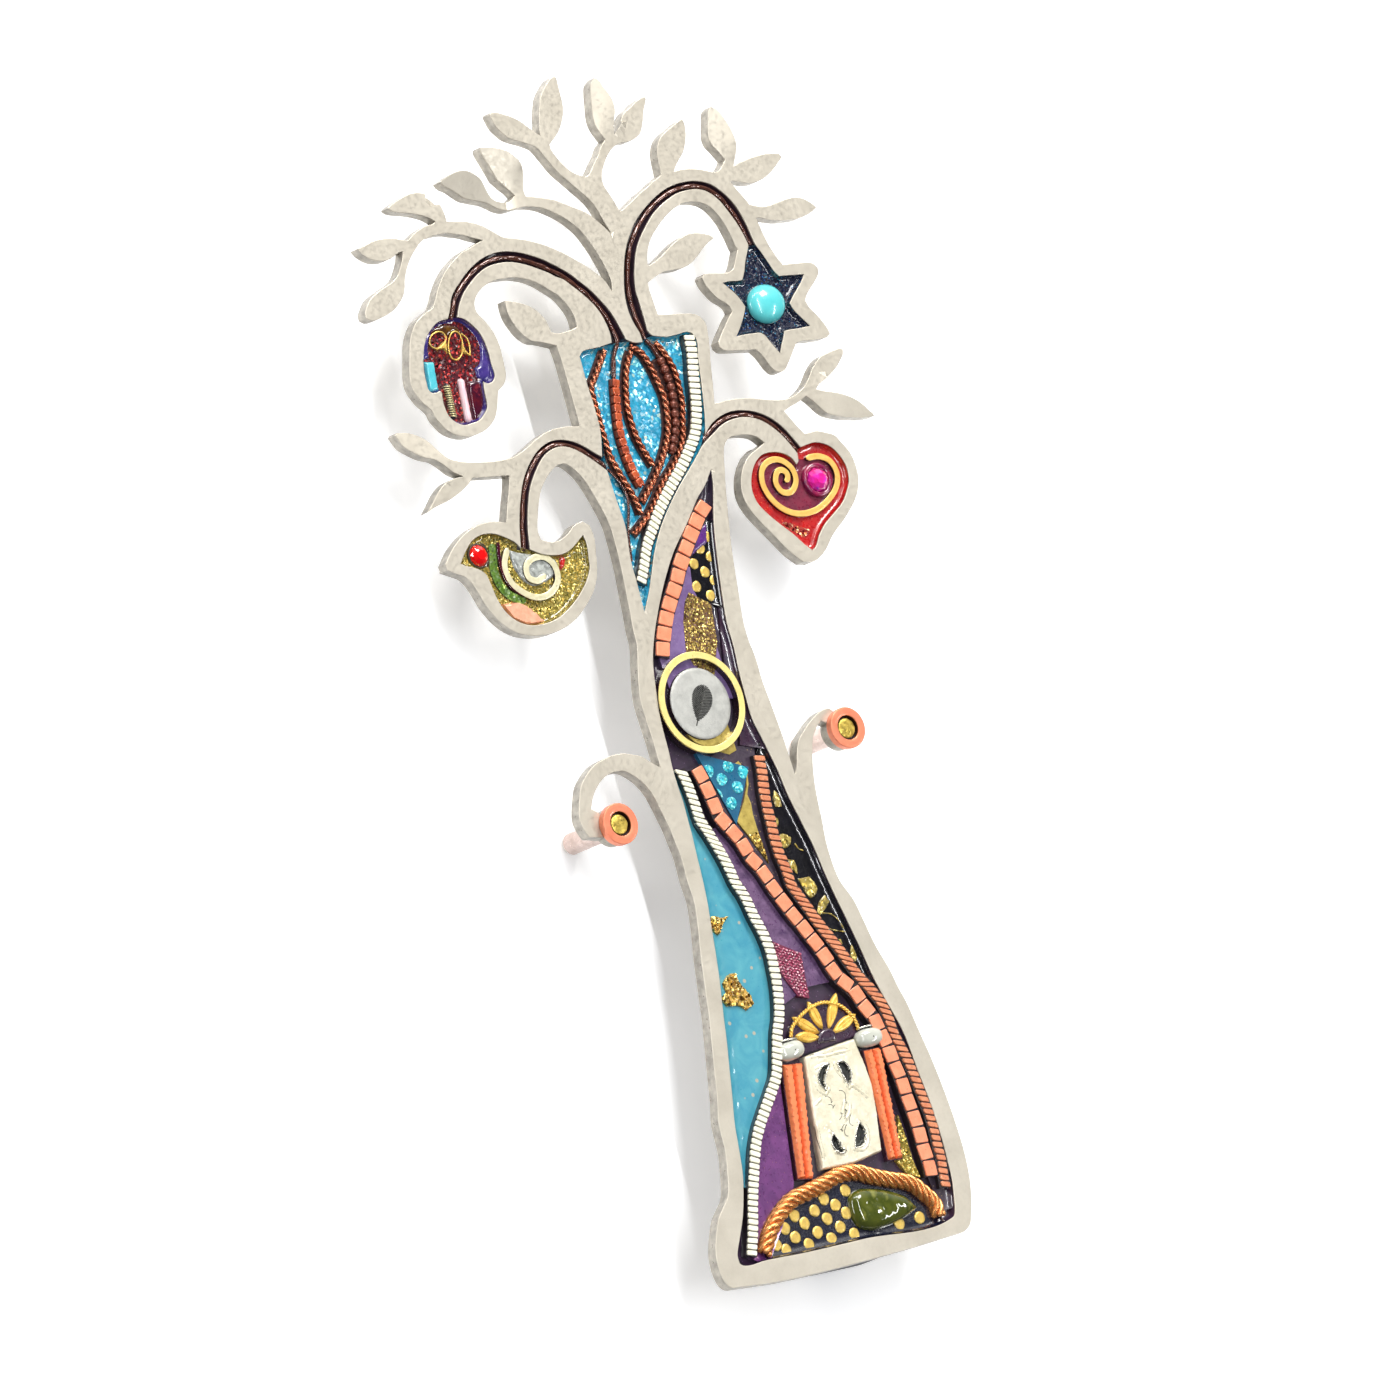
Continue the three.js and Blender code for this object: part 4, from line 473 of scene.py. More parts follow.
# ------------------------------------------------------------------ traced lines, in mm: (x, z) of the part frame
OUTLINE = [(-30.89,86.52),(-29.68,86.77),(-28.61,87.05),(-27.6,87.12),(-26.64,87.07),(-25.71,86.92),(-24.82,86.67),
 (-24.06,86.43),(-23.56,86.69),(-22.69,87.17),(-21.72,87.52),(-20.82,87.71),(-20.12,87.71),(-19.63,87.92),
 (-20.29,88.42),(-21.01,88.77),(-21.88,89.08),(-22.9,89.36),(-23.95,89.58),(-24.84,89.84),(-25.39,90.27),
 (-25.18,90.46),(-24.37,90.79),(-23.25,91.17),(-22.04,91.43),(-20.93,91.42),(-19.92,91.08),(-19.13,90.56),
 (-18.5,89.95),(-18.23,89.11),(-18.1,88.29),(-18.15,87.74),(-16.96,87.54),(-15.77,87.35),(-14.63,86.99),(-13.66,86.55),
 (-12.75,85.95),(-11.98,85.37),(-11.29,84.92),(-10.01,84.6),(-8.47,84.18),(-7.11,83.67),(-5.9,83.14),(-4.72,82.49),
 (-3.68,81.87),(-2.67,81.14),(-1.67,80.41),(-0.7,79.57),(0.14,78.76),(0.71,77.98),(1.16,76.89),(1.28,77.21),
 (1.41,77.98),(1.31,78.91),(1.08,79.85),(0.81,80.69),(0.54,81.52),(0.14,82.38),(-0.26,83.24),(-0.79,84.12),
 (-1.5,84.92),(-2.24,85.6),(-3.02,86.18),(-3.94,86.73),(-4.89,87.22),(-6.03,87.58),(-7.09,87.75),(-7.92,87.77),
 (-8.79,87.69),(-9.77,87.68),(-10.64,87.99),(-11.33,88.44),(-12.01,88.89),(-12.75,89.18),(-13.75,89.51),(-14.74,89.9),
 (-15.52,90.48),(-16.29,91.06),(-17.11,91.53),(-17.62,92.07),(-16.94,92.41),(-16,92.71),(-14.98,92.83),(-14.07,92.63),
 (-13.25,92.15),(-12.61,91.6),(-12.17,90.84),(-11.77,89.99),(-11.31,89.29),(-10.63,88.84),(-9.85,88.65),(-9.15,88.65),
 (-8.13,89.17),(-8.48,89.79),(-9.09,90.46),(-9.66,91.23),(-9.96,91.96),(-10.27,92.69),(-10.57,93.42),(-10.88,94.15),
 (-11.09,94.75),(-10.98,95.07),(-10.07,94.87),(-9.06,94.54),(-8.12,94.04),(-7.38,93.35),(-6.81,92.58),(-6.54,91.74),
 (-6.57,90.84),(-6.74,89.96),(-6.83,89.3),(-6.7,88.88),(-5.66,88.65),(-4.5,88.35),(-3.36,88),(-2.4,87.56),
 (-1.45,87.06),(-0.5,86.57),(0.45,86.07),(1.32,85.37),(1.93,84.7),(2.53,84.03),(3.2,83.13),(3.08,83.6),(2.78,84.33),
 (2.51,85.17),(2.24,86.01),(1.84,86.87),(1.37,87.51),(0.66,88.31),(-0.04,89.1),(-0.74,89.9),(-1.35,90.56),
 (-1.92,91.33),(-2.36,92.09),(-2.8,92.84),(-3.14,93.46),(-3.52,93.97),(-4.22,94.37),(-5.19,94.81),(-6.17,95.2),
 (-6.99,95.67),(-7.6,96.34),(-8.07,96.98),(-8.34,97.82),(-8.49,98.41),(-8.34,98.61),(-7.53,98.54),(-6.55,98.15),
 (-5.58,97.71),(-4.67,97.11),(-3.93,96.42),(-3.19,95.73),(-2.54,95.18),(-2.45,95.84),(-2.15,96.7),(-1.92,97.57),
 (-1.55,98.42),(-1.09,99.36),(-0.39,100.15),(0.4,100.82),(1.12,101.27),(1.57,101.37),(1.74,101.06),(1.71,100.15),
 (1.68,99.25),(1.64,98.35),(1.47,97.47),(1.01,96.53),(0.44,95.71),(-0.22,95.02),(-0.97,94.47),(-1.62,94.01),
 (-1.61,93.44),(-1.21,92.58),(-0.68,91.7),(0.12,90.77),(1.03,90.17),(1.89,89.81),(2.36,89.96),(2.98,90.54),
 (3.64,91.22),(4.47,92),(5.2,92.9),(5.95,93.46),(5.71,93.95),(5.4,94.68),(5.27,95.49),(5.37,96.61),(5.62,97.71),
 (5.86,98.8),(6.23,99.87),(6.83,100.4),(7.27,100.04),(7.54,99.21),(7.94,98.35),(8.17,97.4),(8.1,96.39),(7.76,95.43),
 (7.46,94.57),(7.33,93.8),(7.75,94.18),(8.37,94.76),(8.9,95.47),(9.52,96.05),(10.52,96.51),(11.39,96.99),(12.18,97.26),
 (12.8,97.44),(12.96,97.08),(12.64,96.56),(12.18,95.85),(11.81,95),(11.38,94.16),(10.85,93.45),(10.15,93.06),
 (9.23,92.81),(8.11,92.82),(7.23,92.68),(6.38,92.25),(5.58,91.59),(4.89,90.79),(4.32,89.98),(4.03,89.12),(4.07,88.43),
 (4.37,87.7),(4.68,86.97),(4.95,86.14),(5.23,85.35),(6.4,85.9),(7.42,86.41),(8.61,87.01),(9.59,87.42),(10.61,87.94),
 (11.42,88.26),(12.1,88.6),(12.19,89.27),(12.23,90.17),(12.39,91.05),(12.76,91.9),(13.35,92.59),(14.24,93.13),
 (15.39,93.62),(16.37,94.03),(17,94.21),(17.13,93.79),(17.1,93.12),(16.87,92.25),(16.4,91.3),(15.84,90.49),
 (15.05,89.82),(14.43,89.24),(13.94,88.64),(14.94,88.71),(16.17,88.62),(17.47,88.35),(18.48,88.02),(19.5,87.74),
 (20.14,87.98),(20.73,88.45),(21.18,88.94),(20.93,89.43),(20.59,90.06),(20.15,90.81),(20.01,91.62),(20.18,92.5),
 (20.55,93.58),(20.93,94.65),(21.32,94.98),(21.99,94.48),(22.39,93.62),(22.81,92.42),(23,91.37),(23.06,90.34),
 (22.87,89.57),(22.5,88.73),(22.11,88),(23.05,88.3),(24.26,88.55),(25.43,88.7),(26.57,88.75),(27.67,88.68),
 (28.73,88.51),(28.99,88.07),(28.43,87.65),(27.67,87.09),(26.62,86.47),(25.48,86.03),(24.29,85.83),(23.35,85.92),
 (22.32,86.2),(21.3,86.48),(21.11,86.34),(21.74,85.33),(22.37,84.33),(22.81,83.57),(23.55,83.28),(24.72,83.04),
 (25.87,83.13),(27.2,83.31),(28.37,83.46),(29.47,83.4),(30.45,83.01),(31.23,82.43),(31.74,81.9),(31.06,81.55),
 (30.12,81.25),(28.93,81.05),(27.81,81.06),(26.71,81.13),(25.65,81.3),(24.63,81.58),(23.63,81.91),(23.21,81.92),
 (23.35,81.11),(23.54,80.05),(23.83,78.87),(24.19,77.91),(24.59,77.05),(25.03,76.3),(25.86,76.28),(27.23,76.17),
 (28.59,76.06),(29.19,75.79),(29.59,75.33),(29.54,74.77),(28.84,73.98),(27.88,73.23),(27.09,72.56),(26.67,71.95),
 (26.91,71.23),(27.57,70.33),(28.2,69.32),(28.6,68.46),(28.75,67.87),(28.28,67.55),(27.28,67.49),(25.9,67.54),
 (24.67,67.63),(23.87,67.53),(23.31,66.94),(22.62,66.15),(21.96,65.46),(21.34,64.88),(20.71,64.7),(20.07,64.86),
 (19.56,65.4),(19.06,66.38),(18.53,67.26),(18.11,67.67),(17.3,67.75),(15.95,67.91),(14.61,68.07),(13.83,68.25),
 (13.42,68.66),(13.4,69.23),(14,69.93),(14.86,70.81),(15.73,71.69),(16.42,72.26),(16.27,72.85),(15.76,73.38),
 (14.98,73.96),(14.41,74.74),(13.88,75.62),(13.65,76.56),(14.04,76.89),(15.14,76.83),(16.2,76.66),(17.3,76.59),
 (18.09,76.86),(18.58,77.46),(18.9,77.97),(19.22,78.49),(19.5,78.9),(19.35,79.26),(19.21,80.08),(18.98,81.02),
 (18.65,82.1),(18.16,83.08),(17.49,83.98),(16.71,84.56),(15.84,84.88),(14.92,85.03),(13.93,85.02),(12.86,84.74),
 (11.7,84.24),(10.48,83.54),(9.35,82.7),(8.35,81.84),(7.58,80.83),(7.07,79.78),(6.9,78.9),(7.85,79.2),(9,79.7),
 (10.23,80.4),(11.42,81),(12.68,81.42),(13.72,81.59),(14.67,81.5),(15.69,81.22),(16.54,80.85),(16.73,80.59),
 (15.75,80.19),(14.86,79.65),(13.94,79.01),(12.88,78.38),(11.64,78.02),(10.35,77.95),(9.1,77.98),(7.89,77.72),
 (6.93,77.37),(6.27,77.08),(6.18,76.41),(6.24,75.38),(6.3,74.35),(6.4,73.43),(8.01,73.22),(10.03,73.01),(11.34,72.74),
 (12.02,72.29),(12.46,71.54),(12.39,70.53),(12.09,68.88),(11.66,67.25),(11.18,65.06),(10.62,62.65),(11.63,62.72),
 (12.76,62.76),(14.14,62.71),(15.73,62.45),(17.41,62.06),(19.12,61.73),(20.5,61.67),(21.56,61.9),(22.54,62.3),
 (23.42,62.84),(24.25,63.61),(24.95,64.41),(25.74,65.07),(26.46,65.52),(27.53,65.8),(28.73,66),(29.58,66.04),
 (29.87,65.87),(29.68,65.34),(29.13,64.75),(28.34,64.08),(27.28,63.46),(26.26,62.95),(25.28,62.54),(24.78,62.11),
 (25.83,61.71),(27.1,61.34),(28.33,60.85),(29.39,60.28),(30.27,59.57),(30.97,58.78),(31.48,58.24),(31.61,58),
 (30.42,58.02),(29.1,58.23),(27.79,58.5),(26.52,58.88),(25.54,59.27),(24.87,59.77),(24.27,60.44),(23.66,61.1),
 (23.13,61.58),(22.64,61.38),(21.82,61.06),(20.75,60.78),(19.63,60.4),(20.07,59.64),(20.7,58.63),(21.5,57.52),
 (22.43,57.56),(23.09,57.59),(24.51,57.15),(25.49,56.72),(25.99,56.03),(26.96,54.35),(27.17,52.3),(26.92,51.16),
 (26.13,49.7),(24.06,47.77),(21.45,45.93),(19.8,44.38),(18.1,43.53),(16.47,43.68),(15.21,44.88),(13.53,47.17),
 (12.26,48.9),(11.27,50.58),(10.89,52.16),(11.24,53.87),(12.04,55.26),(13.28,56.33),(14.76,56.97),(15.79,57.39),
 (14.87,58.22),(13.76,58.59),(12.56,58.72),(11.26,58.63),(10.45,58.04),(9.45,55.18),(8.57,51.77),(7.5,46.89),
 (6.72,41.95),(6.2,38.09),(6.25,36.15),(6.48,34.59),(6.54,31.68),(6.79,29.33),(7.06,26.53),(7.27,23.29),(7.36,21.01),
 (8.02,22.03),(8.21,22.73),(8.71,23.93),(9.18,24.66),(9.99,25.34),(11.14,26.19),(12.21,26.83),(13.21,27.25),
 (14.28,27.41),(14.85,26.95),(15.44,27.04),(16.04,26.97),(16.59,26.75),(17.07,26.39),(17.44,25.92),(17.68,25.38),
 (17.77,24.79),(17.71,24.19),(17.49,23.64),(17.14,23.15),(16.68,22.78),(16.13,22.53),(15.54,22.44),(14.95,22.5),
 (14.39,22.71),(13.9,23.05),(13.52,23.51),(13.28,24.06),(13.17,24.64),(13.23,25.24),(13.43,25.8),(12.83,26.15),
 (12.28,25.78),(11.6,25.08),(11.07,24.35),(10.55,23.05),(10.04,21.4),(9.67,19.73),(9.38,17.46),(9.29,15.96),
 (9.01,13.46),(8.95,11.87),(9.07,9.96),(9.31,8.64),(10.43,6.23),(10.91,4.24),(11.66,0.78),(12.64,-2.09),(13.16,-4.4),
 (13.55,-5.61),(14.2,-9.1),(14.85,-12.59),(15.35,-16.43),(15.65,-20.24),(15.7,-23.44),(15.43,-26.22),(14.87,-28.51),
 (14.36,-29.9),(13.75,-31.16),(12.72,-31.79),(11.69,-31.87),(8.94,-32.07),(3.49,-32.37),(-4.66,-32.68),(-12.72,-32.78),
 (-19.04,-32.44),(-20.07,-32.34),(-20.68,-31.81),(-21.03,-30.88),(-21.12,-29.58),(-20.94,-28.3),(-20.51,-27.07),
 (-19.95,-25.86),(-19.27,-24.66),(-18.41,-23.73),(-17.38,-22.7),(-17,-22),(-16.41,-19.91),(-15.95,-17.83),
 (-15.73,-14.47),(-15.03,-11.9),(-14.36,-8.84),(-13.68,-5.76),(-13,-2.69),(-12.76,-1.14),(-12.34,1.17),(-11.94,3.5),
 (-11.26,6.56),(-10.77,9.67),(-10.9,11.96),(-10.85,14.74),(-11.07,16.44),(-11.31,18.15),(-11.65,19.53),(-11.98,20.91),
 (-12.37,22.14),(-13.15,23.43),(-14.07,24.33),(-15.09,25),(-16.06,25.15),(-17.1,25.07),(-18.29,24.6),(-19.4,23.78),
 (-20.28,22.76),(-20.86,21.69),(-19.86,21.01),(-19.38,21.38),(-18.83,21.61),(-18.24,21.68),(-17.65,21.61),
 (-17.09,21.38),(-16.62,21.02),(-16.25,20.55),(-16.02,20),(-15.93,19.41),(-16,18.82),(-16.22,18.26),(-16.58,17.78),
 (-17.05,17.41),(-17.6,17.17),(-18.19,17.08),(-18.78,17.15),(-19.34,17.37),(-19.82,17.72),(-20.2,18.19),(-22.18,18.74),
 (-22.63,19.82),(-22.79,20.84),(-22.5,21.96),(-21.97,23.2),(-21.33,24.42),(-20.27,25.42),(-18.94,26.28),(-17.55,26.72),
 (-16.04,26.98),(-14.6,26.95),(-13.29,26.59),(-12.2,26.18),(-11.08,25.25),(-10.24,24.66),(-10.21,27.17),(-10.3,29.22),
 (-10.37,30.82),(-10.37,32.12),(-10.1,33.66),(-9.54,35.74),(-8.76,38.5),(-8.71,39.94),(-8.48,41.89),(-8.24,44.38),
 (-7.99,46.87),(-7.89,49.39),(-7.95,51.93),(-8.4,53.77),(-9.01,55.64),(-9.69,57.27),(-10.53,58.43),(-11.51,59.22),
 (-12.24,59.28),(-13.15,58.98),(-14.37,58.15),(-15.57,56.97),(-16.28,55.81),(-16.93,54.4),(-17.59,52.49),
 (-17.45,51.57),(-16.5,51.16),(-15.28,51.1),(-13.84,51.62),(-12.61,52.44),(-11.42,52.74),(-10.55,52.1),(-10.37,50.8),
 (-10.75,48.84),(-11.27,46.9),(-12.37,45.05),(-13.99,43.55),(-15.83,42.33),(-17.98,41.54),(-20.25,41.28),
 (-22.07,41.45),(-23.76,41.97),(-25.28,42.98),(-26.38,44.29),(-27.16,45.69),(-27.62,47.03),(-28.14,48.25),
 (-28.78,49.11),(-29.83,49.66),(-30.88,50.21),(-30.97,50.93),(-29.51,52.39),(-27.86,53.52),(-26.39,54.17),
 (-24.69,54.53),(-22.84,54.47),(-21.45,54.15),(-20.43,56.49),(-19.86,57.66),(-19.3,59.12),(-20.56,59.24),
 (-22.38,59.41),(-24.16,59.62),(-25.01,59),(-26.53,58.24),(-28.3,57.64),(-29.99,57.28),(-31.36,56.83),(-30.25,57.84),
 (-29.34,58.72),(-27.94,59.62),(-26.24,59.96),(-25.31,59.93),(-26.63,60.66),(-27.55,61.56),(-28.55,62.31),
 (-29.95,62.78),(-31.23,63.56),(-32.21,64.35),(-32.81,65.74),(-32.52,65.97),(-31.08,65.8),(-29.69,65.28),
 (-28.46,64.37),(-27.61,63.22),(-26.69,62.25),(-25.34,61.66),(-23,61.2),(-20.62,60.95),(-18.07,61.03),(-16.28,61.63),
 (-14.44,62.47),(-12.66,63.07),(-10.45,63.24),(-8.16,62.98),(-8.13,64.68),(-8.12,66.72),(-8.11,68.76),(-8.13,70.69),
 (-8.26,72.13),(-9.31,72.52),(-10.32,72.86),(-11.34,73.14),(-11.89,73.57),(-12.4,74.1),(-12.84,74.85),(-13.24,75.71),
 (-13.47,76.66),(-13.47,77.45),(-13.42,78.01),(-13.02,77.95),(-11.75,77.57),(-10.66,77.11),(-9.75,76.51),(-9.14,75.84),
 (-8.7,75.09),(-8.53,74.38),(-8.35,73.67),(-7.6,73.44),(-6.46,73.48),(-5.29,73.63),(-4.82,73.78),(-4.78,74.68),
 (-5.01,75.62),(-5.51,76.61),(-6.18,77.51),(-7.05,78.22),(-8.15,79.08),(-9.32,79.73),(-10.57,80.16),(-11.48,80.36),
 (-12.58,80.42),(-13.7,80.44),(-14.73,80.26),(-15.68,79.96),(-16.57,79.43),(-17.19,78.85),(-17.54,78.23),(-17.6,77.67),
 (-17.48,77.2),(-16.91,76.42),(-16.47,75.67),(-16.07,74.81),(-15.84,73.87),(-15.74,72.95),(-15.78,72.04),
 (-15.85,71.04),(-15.95,70.14),(-16.28,69.4),(-16.9,68.83),(-17.58,68.48),(-17.91,67.74),(-18.35,66.68),(-18.98,65.65),
 (-19.78,64.98),(-20.8,64.47),(-22,64.21),(-23.16,64.12),(-24.2,64.34),(-25.05,64.71),(-25.83,65.29),(-26.4,66.06),
 (-26.84,66.81),(-27.01,67.52),(-27.39,68.04),(-27.9,68.57),(-28.34,69.32),(-28.74,70.18),(-28.84,71.11),
 (-28.64,72.09),(-28.08,73.7),(-27.55,75.2),(-27.12,76.04),(-26.6,76.75),(-25.94,77.44),(-25.05,77.97),(-24.07,78.38),
 (-23.26,78.7),(-22.56,79.5),(-21.96,80.42),(-21.23,81.32),(-20.36,82.2),(-19.4,82.95),(-18.34,83.57),(-17.32,84.09),
 (-16.08,84.45),(-14.83,84.81),(-14.07,84.98),(-15.19,85.38),(-16.29,85.85),(-17.44,86.15),(-18.6,86.45),
 (-19.85,86.48),(-21,86.38),(-22.08,86.11),(-23.17,85.38),(-24.17,84.52),(-24.87,83.72),(-25.43,82.91),(-25.86,82.07),
 (-26.16,81.21),(-26.72,80.4),(-27.52,79.73),(-28.4,79.2),(-29.52,78.81),(-30.73,78.55),(-31.71,78.54),(-32.28,78.92),
 (-32.22,79.48),(-31.7,80.19),(-31.04,80.87),(-30.02,81.39),(-28.74,81.86),(-27.62,82.24),(-26.73,82.78),
 (-26.04,83.57),(-25.47,84.39),(-25.01,85.33),(-25.57,85.31),(-26.55,84.91),(-27.46,84.71),(-28.56,84.78),
 (-29.54,85.16),(-30.32,85.74)]
UPPER_WINDOW = [(-5.55,70.5),(-4.96,70.97),(-3.94,71.08),(-2.77,71.09),(-1.65,71.22),(-0.78,71.31),(-0.67,72.42),(-0.83,73.58),
 (-1.15,74.66),(-1.65,75.64),(-2.31,76.55),(-3.11,77.47),(-3.95,78.28),(-4.78,79.1),(-5.73,79.59),(-6.64,80.2),
 (-7.59,80.69),(-8.78,81.28),(-10.01,81.76),(-11.3,82.09),(-12.66,82.2),(-14.1,82.09),(-15.35,81.72),(-16.53,81.12),
 (-17.63,80.39),(-18.59,79.64),(-19.29,78.85),(-19.85,78.03),(-20.28,77.2),(-19.43,76.83),(-18.69,76.15),
 (-18.02,75.24),(-17.66,74.28),(-17.52,73.46),(-17.46,72.43),(-17.53,71.42),(-17.47,70.39),(-17.66,69.86),
 (-18.21,69.49),(-18.77,69.47),(-19.23,69.77),(-19.4,68.89),(-19.5,67.77),(-19.67,66.89),(-20.33,66.21),(-21.22,65.67),
 (-22.26,65.5),(-23.26,65.44),(-24.11,65.8),(-24.76,66.36),(-25.1,66.98),(-25.23,67.8),(-25.2,68.7),(-25.07,69.47),
 (-25.3,69.62),(-25.9,69.49),(-26.43,69.58),(-26.72,69.97),(-26.72,70.76),(-26.65,71.77),(-26.41,72.86),(-26.04,73.94),
 (-25.57,74.88),(-25,75.7),(-24.21,76.36),(-23.15,76.98),(-22.25,77.18),(-21.55,77.18),(-20.91,78.21),(-20.4,79.26),
 (-19.71,80.05),(-18.75,80.8),(-17.61,81.64),(-16.39,82.35),(-15.07,82.93),(-13.69,83.27),(-12.25,83.38),
 (-10.91,83.21),(-9.62,82.89),(-8.39,82.41),(-7.18,81.87),(-6.02,81.17),(-4.88,80.42),(-3.78,79.56),(-2.74,78.54),
 (-1.71,77.47),(-0.76,76.18),(-0.04,75.04),(0.52,73.82),(0.9,72.51),(1.21,71.38),(2.15,70.89),(3.37,70.75),(3.3,71.78),
 (2.88,72.98),(2.63,74.27),(2.65,75.51),(2.82,76.62),(3.2,77.92),(3.69,79.31),(4.31,80.69),(4.95,81.72),(5.72,82.72),
 (6.62,83.71),(7.79,84.65),(9.05,85.47),(10.43,86.21),(11.9,86.82),(13.28,87.16),(14.59,87.29),(15.97,87.24),
 (17.27,86.97),(18.48,86.43),(19.45,85.59),(20.35,84.54),(21.03,83.3),(21.51,81.86),(21.82,80.33),(22.07,79.05),
 (22.57,78.06),(23.12,76.83),(23.58,75.74),(24.07,75.15),(25.43,75.04),(27.46,74.83),(26.78,74.09),(25.78,73.23),
 (24.99,72.56),(24.44,71.97),(24.77,71.12),(25.53,70.09),(26.31,69.12),(24.76,69.09),(23.38,69.14),(22.66,69.09),
 (22.27,68.36),(21.7,67.54),(21.29,66.76),(20.93,67.33),(20.4,68.21),(19.86,69.09),(19.41,69.39),(18.59,69.46),
 (17.21,69.52),(16.08,69.48),(16.74,70.16),(17.47,71.06),(18.04,71.88),(18.39,72.5),(18.09,73.23),(17.46,74.24),
 (16.75,75.03),(16.24,75.57),(17.23,75.58),(18.3,75.46),(19,75.46),(19.6,76.39),(20.11,77.44),(20.75,78.47),
 (21.11,79.09),(21.09,79.43),(20.8,80.61),(20.38,81.82),(19.73,83.17),(19.04,84.41),(18.24,85.34),(17.22,86.01),
 (16.06,86.31),(14.82,86.35),(13.51,86.22),(12.1,85.77),(10.77,85.19),(9.55,84.48),(8.38,83.54),(7.34,82.57),
 (6.44,81.59),(5.7,80.46),(5.08,79.09),(4.59,77.69),(4.34,76.37),(4.37,75.23),(4.39,74.1),(4.41,72.96),(4.44,71.82),
 (4.82,71.31),(5.71,71.05),(6.77,70.84),(8.52,70.91),(9.6,70.98),(10.26,70.7),(10.57,70.05),(10.07,67.7),(9.44,64.33),
 (8.53,60.49),(8.17,59.48),(9.42,60.49),(10.89,61.14),(12.57,61.45),(14.39,61.28),(16.34,60.63),(17.87,59.63),
 (19.01,58.43),(19.82,57.16),(20.46,56.12),(21.39,56.27),(22.36,56.37),(23.51,56.1),(24.55,55.51),(25.41,54.35),
 (25.87,53.01),(25.67,51.52),(24.95,50.38),(23.95,49.28),(22.36,48.28),(20.74,47.27),(19.58,46.19),(18.73,45.07),
 (18.15,44.76),(17.33,45.54),(16.23,46.86),(14.84,48.23),(13.48,49.72),(12.56,51.13),(12.38,52.67),(12.88,54.11),
 (13.68,55.24),(14.91,56.06),(16.35,56.2),(17.8,55.84),(18.81,55.17),(19.3,54.33),(19.61,54.62),(19.81,55.55),
 (19.27,56.49),(18.47,57.76),(17.33,59),(16.09,59.92),(14.43,60.52),(12.59,60.61),(10.89,60.25),(9.38,59.49),
 (7.45,58.41),(6.43,57.53),(4.9,56.22),(2.79,54.48),(0.89,52.7),(-1.19,50.45),(-2.84,48.11),(-5.11,43.87),
 (-6.52,41.63),(-6.43,44.6),(-6.38,47.5),(-5.85,51.2),(-6.04,54.35),(-6.18,57.62),(-7.07,58.5),(-8.26,59.56),
 (-9.5,60.48),(-10.86,61.08),(-12.4,61.13),(-14.03,60.5),(-15.61,59.11),(-16.97,57.44),(-18.01,55.33),(-18.85,52.94),
 (-19.31,50.74),(-17.85,49.99),(-16.4,49.63),(-15.18,49.56),(-13.8,49.97),(-12.62,50.66),(-11.81,51.16),(-11.65,50.25),
 (-11.86,48.77),(-12.13,47.54),(-13.07,46.18),(-14.46,44.89),(-16.3,43.67),(-18.16,42.83),(-20.13,42.51),
 (-21.97,42.62),(-23.59,43.34),(-24.74,44.53),(-25.42,46.16),(-25.73,47.98),(-25.99,49.03),(-26.71,49.66),
 (-27.51,50.04),(-28.21,50.29),(-28.92,50.66),(-27.81,51.87),(-26.51,52.92),(-25.11,53.32),(-23.6,53.2),(-22.24,52.61),
 (-20.98,51.77),(-20.45,51.04),(-19.68,53.84),(-18.73,56.21),(-17.6,58.3),(-16.28,59.86),(-14.55,61.22),(-12.76,61.89),
 (-11.2,61.89),(-9.5,61.37),(-8.22,60.58),(-6.99,59.62),(-6.33,59.17),(-5.58,62.09),(-5.49,64.85),(-5.59,67.29)]
LOWER_WINDOW = [(7.65,55.6),(6.19,53.93),(4.9,52.88),(2.41,50.25),(-0.45,47.42),(-2.71,44.49),(-4.77,41.29),(-6.04,38.97),
 (-7.01,36.78),(-7.59,34.71),(-7.96,32.59),(-8.3,30.63),(-8.45,28.62),(-8.49,26.46),(-8.62,24.31),(-8.6,22.57),
 (-8.47,20.38),(-8.51,18.69),(-8.54,16.63),(-8.68,14.26),(-8.75,12.37),(-8.99,9.38),(-9.37,6.61),(-9.88,3.17),
 (-10.31,0.53),(-11.05,-3.01),(-11.64,-6.1),(-12.32,-9.17),(-12.99,-12.24),(-13.6,-14.81),(-14.06,-18.14),
 (-14.38,-20.24),(-14.97,-22.33),(-16.18,-25.39),(-17.27,-27.37),(-18.16,-29.15),(-18.13,-29.95),(-17.73,-30.24),
 (-14.51,-30.2),(-9.19,-30.31),(-1.12,-30.22),(11.83,-29.94),(11.99,-29.8),(12.67,-27.65),(13.02,-25.83),
 (13.14,-23.78),(13.2,-20.97),(13.01,-17.18),(12.59,-13.73),(12.1,-9.14),(11.52,-7),(10.85,-4.98),(10.14,-2.48),
 (9.52,0.81),(8.85,3.94),(8.21,6.7),(7.61,9.71),(7.12,12.82),(6.48,15.46),(5.66,18.78),(5.17,21.87),(4.38,25.23),
 (3.76,27.79),(3.69,30.7),(3.8,33.57),(3.99,36.18),(3.98,38.6),(4.49,42.31),(5.16,46),(5.96,49.67),(7.48,54.48)]
